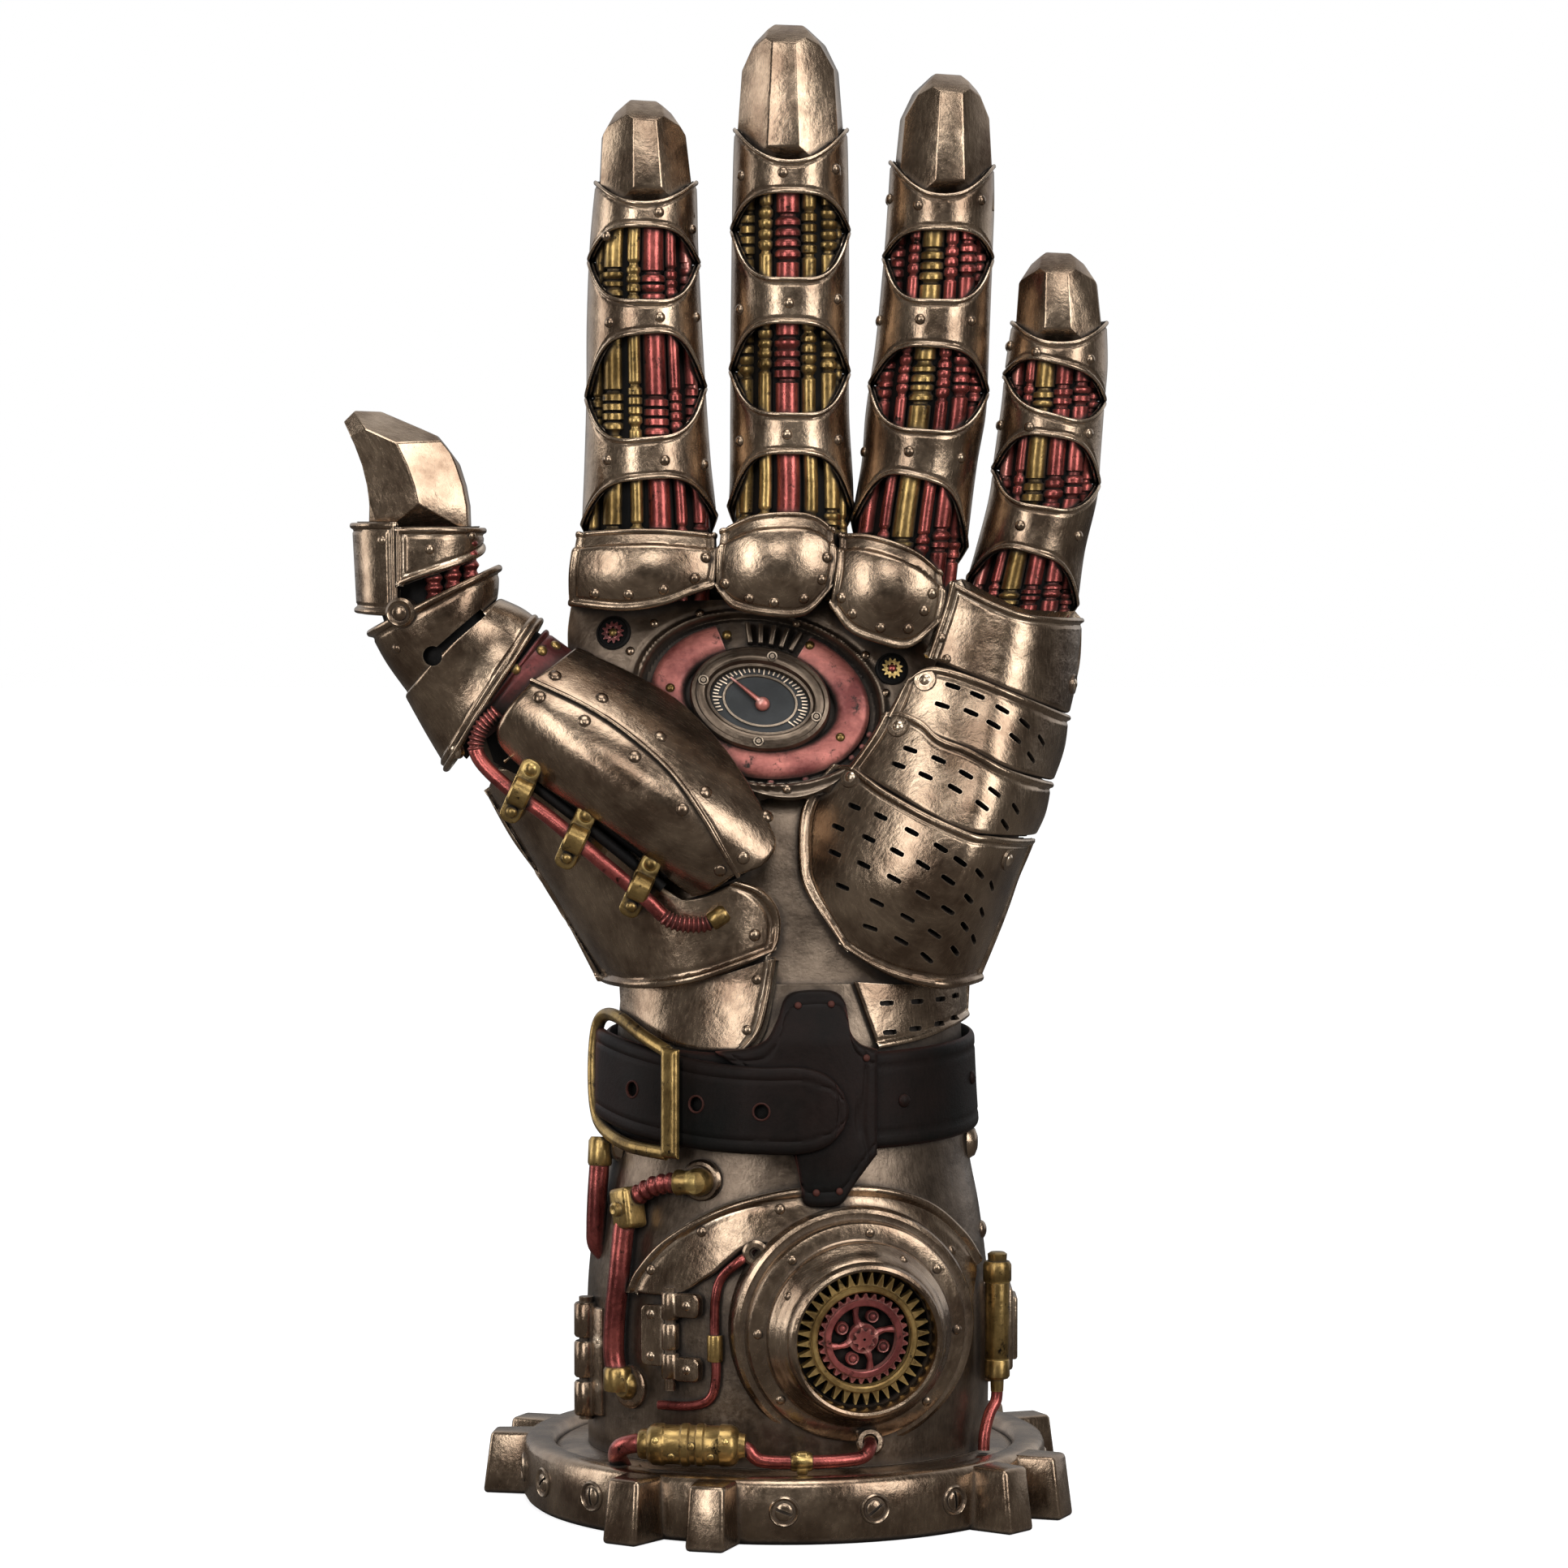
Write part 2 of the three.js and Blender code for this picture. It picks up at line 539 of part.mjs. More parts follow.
const hingeTurn = -29;
const hingeCentre = onArm([-22.2, 37.5], 0.8);
const hingeAt = ([x, y, z]) => {
  const spot = new THREE.Vector3(x, y, 0).applyAxisAngle(new THREE.Vector3(0, 0, 1), radians(hingeTurn));
  return [hingeCentre[0] + spot.x, hingeCentre[1] + spot.y, hingeCentre[2] + z];
};
const hingeBarrel = cylinderAlong(hingeAt([0, -1.1, -9.5]), hingeAt([0, -1.1, 9.5]), 1.8, 8);
const hingeLeaves = [[-3.5, -1, 0, 7, 12.4], [3.4, -1, 6, 7, 5], [3.4, -1, -6, 7, 5]];
const hingePlates = hingeLeaves.map(([x, y, z, width, height]) => block(
  [width, 1.2, height], hingeAt([x, y, z]), hingeTurn));
addPart('cuff_hinge', clearOf(
  join(hingeBarrel, ...hingePlates), shapes.cuff_pipe, shapes.forearm, shapes.cuff_guard), bronze);

addPart('side_cylinder', join(cylinderAlong([43.2, -13.5, 25], [43.2, -13.5, 52], 2.2),
  cylinderAlong([43.2, -13.5, 46], [43.2, -13.5, 50.5], 2.9),
  cylinderAlong([43.2, -13.5, 27], [43.2, -13.5, 31], 2.7),
  tube([[43.2, -13.5, 26], [42.9, -14, 22], [41.5, -15, 19], [40.6, -16, 15.5], [40.4, -16.4, 12.4]],
    1.2, 6, 6)), gold);

const tankEnds = [[-26.8, -42.6, 18.2], [-9, -44.6, 18.2]];
addPart('base_pipe', clearOf(join(cylinderAlong(...tankEnds, 4.1, 12),
  tube([[-25, -42.8, 18.2], [-29.6, -41.6, 18.2], [-32.8, -39, 17], [-33, -35.6, 15], [-31.6, -32.6, 12.2]],
    1.7, 8),
  tube([[-11, -44.4, 18.2], [-6, -44.6, 16.8], [-2, -44.6, 15], [6, -43.6, 14.8], [13, -41.6, 14.8],
    [16.4, -39, 15.6], [17, -36.6, 16.2]], 1.4, 12),
  cylinderAlong([1.5, -44.2, 15.1], [5.5, -43.7, 15.1], 1.7, 8)), shapes.base_gear, shapes.forearm,
shapes.porthole_housing), gold);

// ---- the hand's inner body: palm and four finger cores ----
const palmBody = loft(palmSections.map(({ left, right, front, back }) => ringBetween(left, right, front, back,
  armSides, 0.8)));
const fingerPoint = (finger, angle, z, inset) => {
  const left = between(finger.outline, z, 1);
  const right = between(finger.outline, z, 2);
  const half = (right - left) / 2 - inset;
  return new THREE.Vector3(
    (left + right) / 2 + half * Math.sin(angle), finger.depth - half * Math.cos(angle), z);
};
const fingerRing = (finger, z, inset) => {
  const points = [];
  for (let side = 0; side < fingerSides; side += 1) {
    points.push(fingerPoint(finger, (2 * Math.PI * side) / fingerSides, z, inset));
  }
  return points;
};
const coreInset = bandWall + gap + 0.15;
const fingerCore = (finger) => {
  const top = Math.min(...finger.tipRim) - 2;
  const heights = finger.outline.map(([z]) => z).filter((z, row) => row % 2 === 0 && z < top - 4);
  return loft([...heights, top].map((z) => fingerRing(finger, z, coreInset)));
};
const handCore = join(palmBody, ...Object.values(fingers).map(fingerCore));

// ---- finger bands and tips ----
const edgeHeight = ([left, middle, right], back, angle) => {
  const across = Math.sin(angle);
  const side = THREE.MathUtils.mapLinear(across, -1, 1, left, right);
  const target = Math.cos(angle) > 0 ? middle : back;
  return side + (target - (left + right) / 2) * Math.cos(angle) ** 2;
};
const openingBack = ({ above, below }) => (above[0] + above[2] + below[0] + below[2]) / 4;
const fingerBand = (finger, topEdge, bottomEdge) => {
  const stations = [];
  for (let side = 0; side < fingerSides; side += 1) {
    const angle = (2 * Math.PI * side) / fingerSides;
    const top = topEdge(angle);
    const bottom = bottomEdge(angle);
    stations.push([
      fingerPoint(finger, angle, bottom, bandWall),
      fingerPoint(finger, angle, bottom, 0),
      fingerPoint(finger, angle, top, 0),
      fingerPoint(finger, angle, top, bandWall),
    ]);
  }
  return loop(stations);
};
const backGap = 0.8;
Object.entries(fingers).forEach(([name, finger]) => {
  const rims = [(angle) => edgeHeight(finger.tipRim, (finger.tipRim[0] + finger.tipRim[2]) / 2, angle)];
  finger.openings.forEach((opening) => {
    rims.push((angle) => edgeHeight(opening.above, openingBack(opening) + backGap, angle));
    rims.push((angle) => edgeHeight(opening.below, openingBack(opening) - backGap, angle));
  });
  ['upper', 'middle', 'lower'].forEach((place, step) => {
    addPart(`${name}_band_${place}`, clearOf(fingerBand(finger, rims[2 * step], rims[2 * step + 1]), handCore),
      bronze);
  });
});

// A faceted fingertip: a wide front facet, bevelled sides, and a small sloping top.
const facetRing = ([x, z], half, depthHalf, depth, slope) => {
  const corners = [[0.32, -1], [0.86, -0.62], [1, 0.1], [0.6, 0.85], [-0.6, 0.85], [-1, 0.1], [-0.86, -0.62],
    [-0.32, -1]];
  return corners.map(([across, back]) => new THREE.Vector3(x + half * across, depth + depthHalf * back,
    z + slope * back));
};
Object.entries(fingers).forEach(([name, finger]) => {
  const { top, shoulder, lean } = finger.tip;
  const foot = Math.min(...finger.tipRim) - 2 + gap;
  const middleAt = (z) => (between(finger.outline, z, 1) + between(finger.outline, z, 2)) / 2;
  const halfAt = (z) => (between(finger.outline, z, 2) - between(finger.outline, z, 1)) / 2 - bandWall - gap - 0.9;
  const rimTop = Math.max(...finger.tipRim);
  addPart(`${name}_tip`, loft([
    facetRing([middleAt(foot), foot], halfAt(foot), halfAt(foot), finger.depth, 0),
    facetRing([middleAt(rimTop), rimTop], halfAt(rimTop), halfAt(rimTop), finger.depth, 0),
    facetRing([middleAt(rimTop) + lean, shoulder], halfAt(rimTop) * 0.82, halfAt(rimTop) * 0.8, finger.depth, 0.8),
    facetRing(top, halfAt(rimTop) * 0.36, halfAt(rimTop) * 0.42, finger.depth, 0.5),
  ]), bronze);
});

// ---- pads over the finger roots ----
const padBack = () => -3;
const pads = {
  pad_index: {
    outline: {
      top: [[-41.6, 197.6], [-34.5, 198], [-25, 198.2], [-13.8, 197.2]],
      right: [[-13.8, 197.2], [-13.7, 191], [-15, 186.6]],
      bottom: [[-42.6, 183], [-32.5, 182], [-24.5, 183], [-18, 185.5], [-15, 186.6]],
      left: [[-41.6, 197.6], [-42.6, 190], [-42.6, 183]],
    },
    front: dome([-28, 189.5], [14, 9], -24.5, 2.6),
  },
  pad_middle: {
    outline: {
      top: [[-12.9, 198], [-6.5, 200.6], [1, 201.6], [6.5, 200.6], [10.1, 198]],
      right: [[10.1, 198], [10.1, 191.5], [8.8, 186.4]],
      bottom: [[-13, 186.4], [-10, 182.5], [-2, 181], [4.5, 181.5], [8.8, 186.4]],
      left: [[-12.9, 198], [-13.3, 192], [-13, 186.4]],
    },
    front: dome([-2, 190.5], [12, 10], -25, 3),
  },
  pad_ring: {
    outline: {
      top: [[10.8, 197.4], [16, 197.4], [21.5, 196], [27, 193.6], [31.6, 189.6]],
      right: [[31.6, 189.6], [31.8, 185], [30.6, 180]],
      bottom: [[9.4, 183.2], [13, 178.4], [18.5, 176], [25, 175], [30.6, 180]],
      left: [[10.8, 197.4], [10.6, 191], [9.4, 183.2]],
    },
    front: dome([20.5, 186], [11.5, 10.5], -25, 3),
  },
};
Object.entries(pads).forEach(([name, pad]) => {
  addPart(name, clearOf(plate(pad.outline, pad.front, padBack, 5, 3), handCore), bronze);
});
addPart('little_base_plate', clearOf(plate({
  top: [[33.4, 187.6], [42, 183], [49.5, 180.8], [60.5, 180.2]],
  right: [[60.5, 180.2], [60, 171], [57.6, 161.2]],
  bottom: [[29.4, 172.4], [34, 170.6], [44, 166.8], [57.6, 161.2]],
  left: [[33.4, 187.6], [32, 182], [29.4, 172.4]],
}, heelFront, () => 4, 6, 3), handCore, shapes.pad_ring), bronze);

// ---- slotted lames on the little-finger side ----
const lames = {
  lame_1: {
    top: [[25.3, 167.6], [28, 170], [32, 170], [38.5, 168], [47, 164.5], [57.2, 160.4]],
    right: [[57.2, 160.4], [56.6, 154], [54, 148]],
    bottom: [[21.6, 161.8], [27.5, 159.2], [37, 155.2], [45, 151], [54, 148]],
    left: [[25.3, 167.6], [23.4, 165], [21.6, 161.8]],
  },
  lame_2: {
    top: [[21, 160.6], [24.5, 160.2], [29.5, 157.2], [36.5, 154], [44.5, 150], [53.6, 146.9]],
    right: [[53.6, 146.9], [52.6, 141], [50.6, 137]],
    bottom: [[13.9, 151], [21, 147], [29, 142.4], [37, 138.8], [50.6, 137]],
    left: [[21, 160.8], [18.5, 157], [13.9, 151]],
  },
  lame_3: {
    top: [[10, 150.3], [13.4, 150.2], [20.5, 146], [29, 141.4], [37.4, 137.8], [50, 136]],
    right: [[50, 136], [45.4, 124], [38.4, 107.4]],
    bottom: [[12.5, 115.5], [19, 111], [25.5, 108.4], [32.5, 107.2], [38.4, 107.4]],
    left: [[10, 150.3], [4.5, 143], [3.5, 133.5], [5, 127], [12.5, 115.5]],
  },
};
const lameGrids = { lame_1: [7, 2], lame_2: [7, 2], lame_3: [7, 5] };
Object.entries(lames).forEach(([name, outline]) => {
  addPart(name, clearOf(plate(outline, heelFront, () => 4, ...lameGrids[name]), handCore), bronze);
});

// ---- pressure gauge in the palm ----
const faceGauge = (geometry) => geometry.rotateZ(radians(gaugeRoll)).rotateX(Math.PI / 2 - radians(gaugeTilt))
  .translate(...gaugeCentre);
const oval = (halfX, halfY, depth, from, holeX = 0, holeY = 0) => {
  const shape = new THREE.Shape().absellipse(0, 0, halfX, halfY, 0, 2 * Math.PI);
  if (holeX) shape.holes.push(new THREE.Path().absellipse(0, 0, holeX, holeY, 0, 2 * Math.PI));
  const geometry = new THREE.ExtrudeGeometry(shape, { depth, bevelEnabled: false, curveSegments: 10 });
  return faceGauge(geometry.translate(0, 0, from));
};
addPart('gauge_bezel', oval(13.9, 10.6, 4.6, -1, 10.6, 7.6), bronze);
const needle = faceGauge(new THREE.BoxGeometry(8, 0.9, 1.6).translate(-3.4, 0, 1.4).rotateZ(radians(-16)));
addPart('gauge_dial', join(oval(10.2, 7.2, 1.8, -1), needle, faceGauge(
  new THREE.CylinderGeometry(1.4, 1.4, 2, 10).rotateX(Math.PI / 2).translate(0, 0, 1.4))), dialGrey);

const arcShape = new THREE.Shape();
const arcFrom = radians(72);
const arcTo = radians(118);
arcShape.absellipse(0, 0, 22.6, 15.8, arcTo, arcFrom, false);
arcShape.absellipse(0, 0, 14.5, 11.2, arcFrom, arcTo, true);
arcShape.closePath();
addPart('gauge_arc', faceGauge(new THREE.ExtrudeGeometry(arcShape,
  { depth: 3, bevelEnabled: false, curveSegments: 12 }).translate(0, 0, -1)), red);

// ---- ball of the thumb ----
const seam = [[-50.4, 168.2], [-39.5, 163.2], [-31, 157.7], [-22.5, 150.2], [-16.5, 141.7], [-12, 133.7],
  [-9.4, 129.4]];
const seamBelow = seam.map(([x, z]) => [x - 0.35, z - 0.45]);
addPart('thenar_plate_upper', clearOf(plate({
  top: [[-41.5, 175], [-37.5, 173.4], [-29, 169.4], [-20.5, 164.2], [-12, 155.7], [-5.5, 146], [-1.4, 136]],
  right: [[-1.4, 136], [-3.5, 132], [-9.4, 129.4]],
  bottom: seam,
  left: [[-41.5, 175], [-50.4, 168.2]],
}, thenarFront, () => -4, 8, 2), handCore, shapes.gauge_bezel, shapes.gauge_arc), bronze);
addPart('thenar_plate_lower', clearOf(plate({
  top: seamBelow,
  right: [[-9.75, 128.95], [-14.5, 126.3], [-18.6, 124.8]],
  bottom: [[-54, 152.5], [-47, 146], [-36, 139], [-28.5, 133.4], [-23.5, 128.4], [-18.6, 124.8]],
  left: [[-50.75, 167.75], [-55.5, 162.5], [-57.5, 157], [-54, 152.5]],
}, thenarFront, () => -4, 8, 2), handCore), bronze);
addPart('thenar_base', clearOf(plate({
  top: [[-60.5, 145.4], [-56, 150.4], [-47.5, 144.8], [-36.5, 137.8], [-24.5, 127.6], [-18.8, 123.8],
    [-14.6, 125.4], [-9.6, 128]],
  right: [[-9.6, 128], [-3, 125], [-1.2, 119], [-2.8, 114]],
  bottom: [[-37.6, 107], [-27.5, 107.2], [-16, 109], [-2.8, 114]],
  left: [[-60.5, 145.4], [-55, 135.6], [-46.5, 123.6], [-37.6, 107]],
}, thenarBaseFront, () => 5, 9, 3), handCore, shapes.thenar_plate_lower), bronze);

const thumbHosePath = [[-57, -26, 161.6], [-60.4, -26, 158], [-60.4, -27, 153], [-55.5, -28.5, 147.6],
  [-46.5, -30.6, 141], [-37, -31.6, 133], [-27.5, -31.6, 125], [-22.5, -31.4, 120.6], [-16.4, -31, 120],
  [-12.6, -30.8, 121.6]];
const thumbHoseEnd = cylinderAlong([-15, -31, 120.2], [-11.6, -30.8, 122.2], 1.9, 8);
addPart('thenar_hose', clearOf(join(tube(thumbHosePath, 1.45, 15, 6), thumbHoseEnd),
  shapes.thenar_plate_lower, shapes.thenar_base), red);

// Three clamps saddle the hose; a thin rail behind joins them.
const clampSpots = [[-50.6, 144.6], [-40.4, 136.6], [-28.4, 126.4]];
const clampBody = ([x, z]) => {
  const geometry = new THREE.BoxGeometry(6.4, 6.6, 10.5);
  geometry.rotateY(radians(35));
  geometry.translate(x, -31.8, z);
  return geometry;
};
const clampRail = cylinderAlong([-52.4, -31.4, 148.4], [-27, -31.4, 129.4], 0.8, 6);
addPart('hose_clamps', clearOf(join(clampRail, ...clampSpots.map(clampBody)), shapes.thenar_hose,
  shapes.thenar_plate_lower, shapes.thenar_base), gold);

// ---- thumb ----
const thumbSides = 12;
const thumbRing = (left, right, half, middle = -14) => ringBetween(left, right, middle - half, middle + half,
  thumbSides, 0.9);
const thumbHousing = loft([
  thumbRing([-67.4, 150], [-48.8, 179], 11.6),
  thumbRing([-76, 164.5], [-57, 184.6], 11.8),
  thumbRing([-83.4, 178], [-57.6, 191], 11),
]);
const thumbPivot = cylinderAlong([-77.6, -20, 181.6], [-77.6, -27, 181.6], 3.2);
addPart('thumb_housing', join(thumbHousing, thumbPivot), bronze);
addPart('thumb_shell', loft([
  thumbRing([-85.4, 182.6], [-61.4, 196], 10.2),
  thumbRing([-86.6, 199.4], [-61, 199.4], 10),
]), bronze);
const thumbCore = loft([
  thumbRing([-80.6, 179.8], [-59.4, 190.6], 8.6),
  thumbRing([-81.6, 184], [-62.6, 194.6], 8.6),
]);
addPart('thumb_core', clearOf(thumbCore, shapes.thumb_housing, shapes.thumb_shell), darkBronze);
addPart('thumb_tip', loft([
  facetRing([-73.9, 199.8], 10.4, 8.6, -14, 0),
  facetRing([-75, 206], 10.4, 8.4, -14, 0),
  facetRing([-77.4, 214], 9.4, 7.2, -14, 1),
  facetRing([-82.4, 220.4], 6, 4, -14, 0.6),
]), bronze);
addPart('thumb_collar', clearOf(loft([
  thumbRing([-59, 158.4], [-40, 172.6], 9.6, -15),
  thumbRing([-64.6, 156.6], [-48, 177.4], 10, -15),
]), thumbHousing, shapes.thenar_plate_upper, shapes.thenar_plate_lower, shapes.thenar_hose, handCore), red);

// ---- palm plate round the gauge ----
const palmFace = (x, z) => gaugeCentre[1] - 2.4 + (z - gaugeCentre[2]) * Math.tan(radians(gaugeTilt))
  + 6 * clamp((Math.abs(x + 5) - 22) / 20, 0, 1) ** 2;
const gaugeWell = oval(24.4, 17.6, 12, -1);
const gaugePlateBody = toGeometry(toSolid(plate({
  top: [[-42, 182], [-20, 181.6], [0, 180.4], [14, 175.6], [28.6, 172]],
  right: [[28.6, 172], [20.4, 161.4], [12, 151.8], [4, 144]],
  bottom: [[-41.4, 175.8], [-29, 170.2], [-20, 164.6], [-11.4, 156.2], [-4.8, 146.4], [4, 144]],
  left: [[-42, 182], [-42.8, 179], [-41.4, 175.8]],
}, palmFace, () => 0, 8, 3)).subtract(toSolid(gaugeWell)));
const coreWithRoom = clearOf(handCore, shapes.gauge_bezel, shapes.gauge_dial, shapes.gauge_arc);
addPart('gauge_plate', clearOf(gaugePlateBody, coreWithRoom, shapes.pad_middle, shapes.pad_ring, shapes.pad_index,
  shapes.thenar_plate_upper, shapes.lame_1, shapes.lame_2, shapes.lame_3, shapes.little_base_plate), bronze);

// ---- back of the hand: one plain plate ----
const palmBack = (x, z) => {
  const rows = palmSections.map(({ left, right, back, front }) => [left[1], left[0], right[0], back, front]);
  const [left, right, back, front] = [1, 2, 3, 4].map((column) => between(rows, clamp(z, 107, 176), column));
  const across = clamp(Math.abs((2 * x - left - right) / (right - left)), 0, 0.96);
  const middle = (front + back) / 2;
  return middle + ((back - front) / 2) * (1 - across ** 2.5) ** (1 / 2.5);
};
addPart('back_plate', clearOf(plate({
  top: [[-34, 184], [-10, 188], [20, 184], [48, 172]],
  right: [[48, 172], [46, 150], [30, 111]],
  bottom: [[-27, 111], [0, 109], [30, 111]],
  left: [[-34, 184], [-38, 160], [-36, 138], [-27, 111]],
}, (x, z) => palmBack(x, z) - 1.5, (x, z) => palmBack(x, z) + 2.6, 6, 5), handCore), bronze);

addPart('hand_core', coreWithRoom, darkBronze);

export default hand;
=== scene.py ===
from math import asin, atan2, cos, hypot, pi, radians, sin, sqrt, tan

import bmesh
import bpy
from mathutils import Matrix, Vector


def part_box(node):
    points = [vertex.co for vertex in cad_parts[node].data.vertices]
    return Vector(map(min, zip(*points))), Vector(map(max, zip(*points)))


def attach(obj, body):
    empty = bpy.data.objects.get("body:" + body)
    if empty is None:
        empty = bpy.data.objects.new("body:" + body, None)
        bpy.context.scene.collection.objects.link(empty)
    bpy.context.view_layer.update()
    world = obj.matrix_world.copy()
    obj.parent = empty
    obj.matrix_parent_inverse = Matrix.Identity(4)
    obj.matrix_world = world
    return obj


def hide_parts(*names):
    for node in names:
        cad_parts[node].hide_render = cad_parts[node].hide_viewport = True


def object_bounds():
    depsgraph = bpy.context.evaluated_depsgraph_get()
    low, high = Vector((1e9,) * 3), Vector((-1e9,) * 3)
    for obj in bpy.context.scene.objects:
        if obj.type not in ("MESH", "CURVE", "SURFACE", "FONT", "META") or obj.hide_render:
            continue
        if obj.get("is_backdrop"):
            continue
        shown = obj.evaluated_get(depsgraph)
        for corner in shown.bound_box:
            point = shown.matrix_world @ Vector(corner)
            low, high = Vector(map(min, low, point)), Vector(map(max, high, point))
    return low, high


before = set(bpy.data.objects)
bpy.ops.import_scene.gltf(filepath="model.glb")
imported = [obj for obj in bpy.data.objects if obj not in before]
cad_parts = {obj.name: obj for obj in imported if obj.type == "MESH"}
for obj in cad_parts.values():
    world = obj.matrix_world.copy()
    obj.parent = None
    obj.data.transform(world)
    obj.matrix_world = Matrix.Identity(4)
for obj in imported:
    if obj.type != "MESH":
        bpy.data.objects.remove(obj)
cadLow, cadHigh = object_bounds()
mm = 0.001                                   # everything below is drawn in millimetres
print("frame loaded")

camera = bpy.data.objects.new("camera", bpy.data.cameras.new("camera"))
bpy.context.scene.collection.objects.link(camera)
camera.location = (0, -1.0, 0.190)
camera.rotation_euler = (radians(87.504), 0, 0)
camera.data.lens = 112.4
camera.data.sensor_width = 36
camera.data.clip_end = 100
bpy.context.scene.camera = camera

floorMesh = bmesh.new()
bmesh.ops.create_circle(floorMesh, cap_ends=True, segments=64, radius=7)
floorData = bpy.data.meshes.new("floor")
floorMesh.to_mesh(floorData)
floorMesh.free()
floor = bpy.data.objects.new("floor", floorData)
bpy.context.scene.collection.objects.link(floor)
floor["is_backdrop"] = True
floorPaint = bpy.data.materials.new("paleFloor")
floorPaint.use_nodes = True
floorNodes, floorLinks = floorPaint.node_tree.nodes, floorPaint.node_tree.links
floorShader = floorNodes["Principled BSDF"]
floorShader.inputs["Base Color"].default_value = (0.5, 0.5, 0.5, 1)
floorShader.inputs["Emission Color"].default_value = (1, 1, 1, 1)
floorShader.inputs["Emission Strength"].default_value = 0.8
floorDull = floorNodes.new("ShaderNodeBsdfDiffuse")
floorDull.inputs["Color"].default_value = (0.14, 0.13, 0.12, 1)
floorPath = floorNodes.new("ShaderNodeLightPath")
floorMix = floorNodes.new("ShaderNodeMixShader")
floorLinks.new(floorPath.outputs["Is Camera Ray"], floorMix.inputs[0])
floorLinks.new(floorDull.outputs[0], floorMix.inputs[1])
floorLinks.new(floorShader.outputs[0], floorMix.inputs[2])
floorLinks.new(floorMix.outputs[0], floorNodes["Material Output"].inputs["Surface"])
floorData.materials.append(floorPaint)

softboxes = {                                # place, size, watts
    "keyRight": ((0.90, -0.95, 0.60), (0.5, 0.9), 9),
    "keyLeft": ((-0.62, -1.15, 0.55), (0.34, 0.9), 6),
    "farLeft": ((-1.15, 0.05, 0.35), (0.4, 0.9), 4),
    "overhead": ((0.1, -0.35, 1.25), (0.8, 0.6), 7),
    "highFront": ((0.12, -1.35, 0.85), (0.5, 0.35), 3),
}
for name, (place, size, watts) in softboxes.items():
    data = bpy.data.lights.new(name, "AREA")
    data.shape, data.size, data.size_y, data.energy = "RECTANGLE", *size, watts
    light = bpy.data.objects.new(name, data)
    light.location = place
    light.rotation_euler = (Vector((0, 0, 0.16)) - Vector(place)).to_track_quat("-Z", "Y").to_euler()
    bpy.context.scene.collection.objects.link(light)

# The room is white behind the object and dim on the side that it faces.
world = bpy.data.worlds.new("room")
bpy.context.scene.world = world
world.use_nodes = True
roomNodes, roomLinks = world.node_tree.nodes, world.node_tree.links
background = roomNodes["Background"]
roomWay = roomNodes.new("ShaderNodeTexCoord")
roomSplit = roomNodes.new("ShaderNodeSeparateXYZ")
roomShade = roomNodes.new("ShaderNodeValToRGB")
roomShade.color_ramp.elements[0].position, roomShade.color_ramp.elements[0].color = 0.52, (0.12, 0.114, 0.108, 1)
roomShade.color_ramp.elements[1].position, roomShade.color_ramp.elements[1].color = 0.80, (1.0, 1.03, 1.08, 1)
for place, shade in ((0.93, 0.8), (0.99, 0.25)):
    roomShade.color_ramp.elements.new(place).color = (shade, shade, shade, 1)
roomScale = roomNodes.new("ShaderNodeMapRange")
roomScale.inputs["From Min"].default_value = -1
roomPath = roomNodes.new("ShaderNodeLightPath")
roomMix = roomNodes.new("ShaderNodeMix")
roomMix.data_type = "RGBA"
roomMix.inputs["B"].default_value = (1, 1, 1, 1)
roomLinks.new(roomWay.outputs["Generated"], roomSplit.inputs[0])
roomLinks.new(roomSplit.outputs["Y"], roomScale.inputs["Value"])
roomLinks.new(roomScale.outputs[0], roomShade.inputs[0])
roomLinks.new(roomShade.outputs[0], roomMix.inputs["A"])
roomLinks.new(roomPath.outputs["Is Camera Ray"], roomMix.inputs["Factor"])
roomLinks.new(roomMix.outputs["Result"], background.inputs["Color"])
bpy.context.scene.view_settings.view_transform = "Standard"
print("stage set")


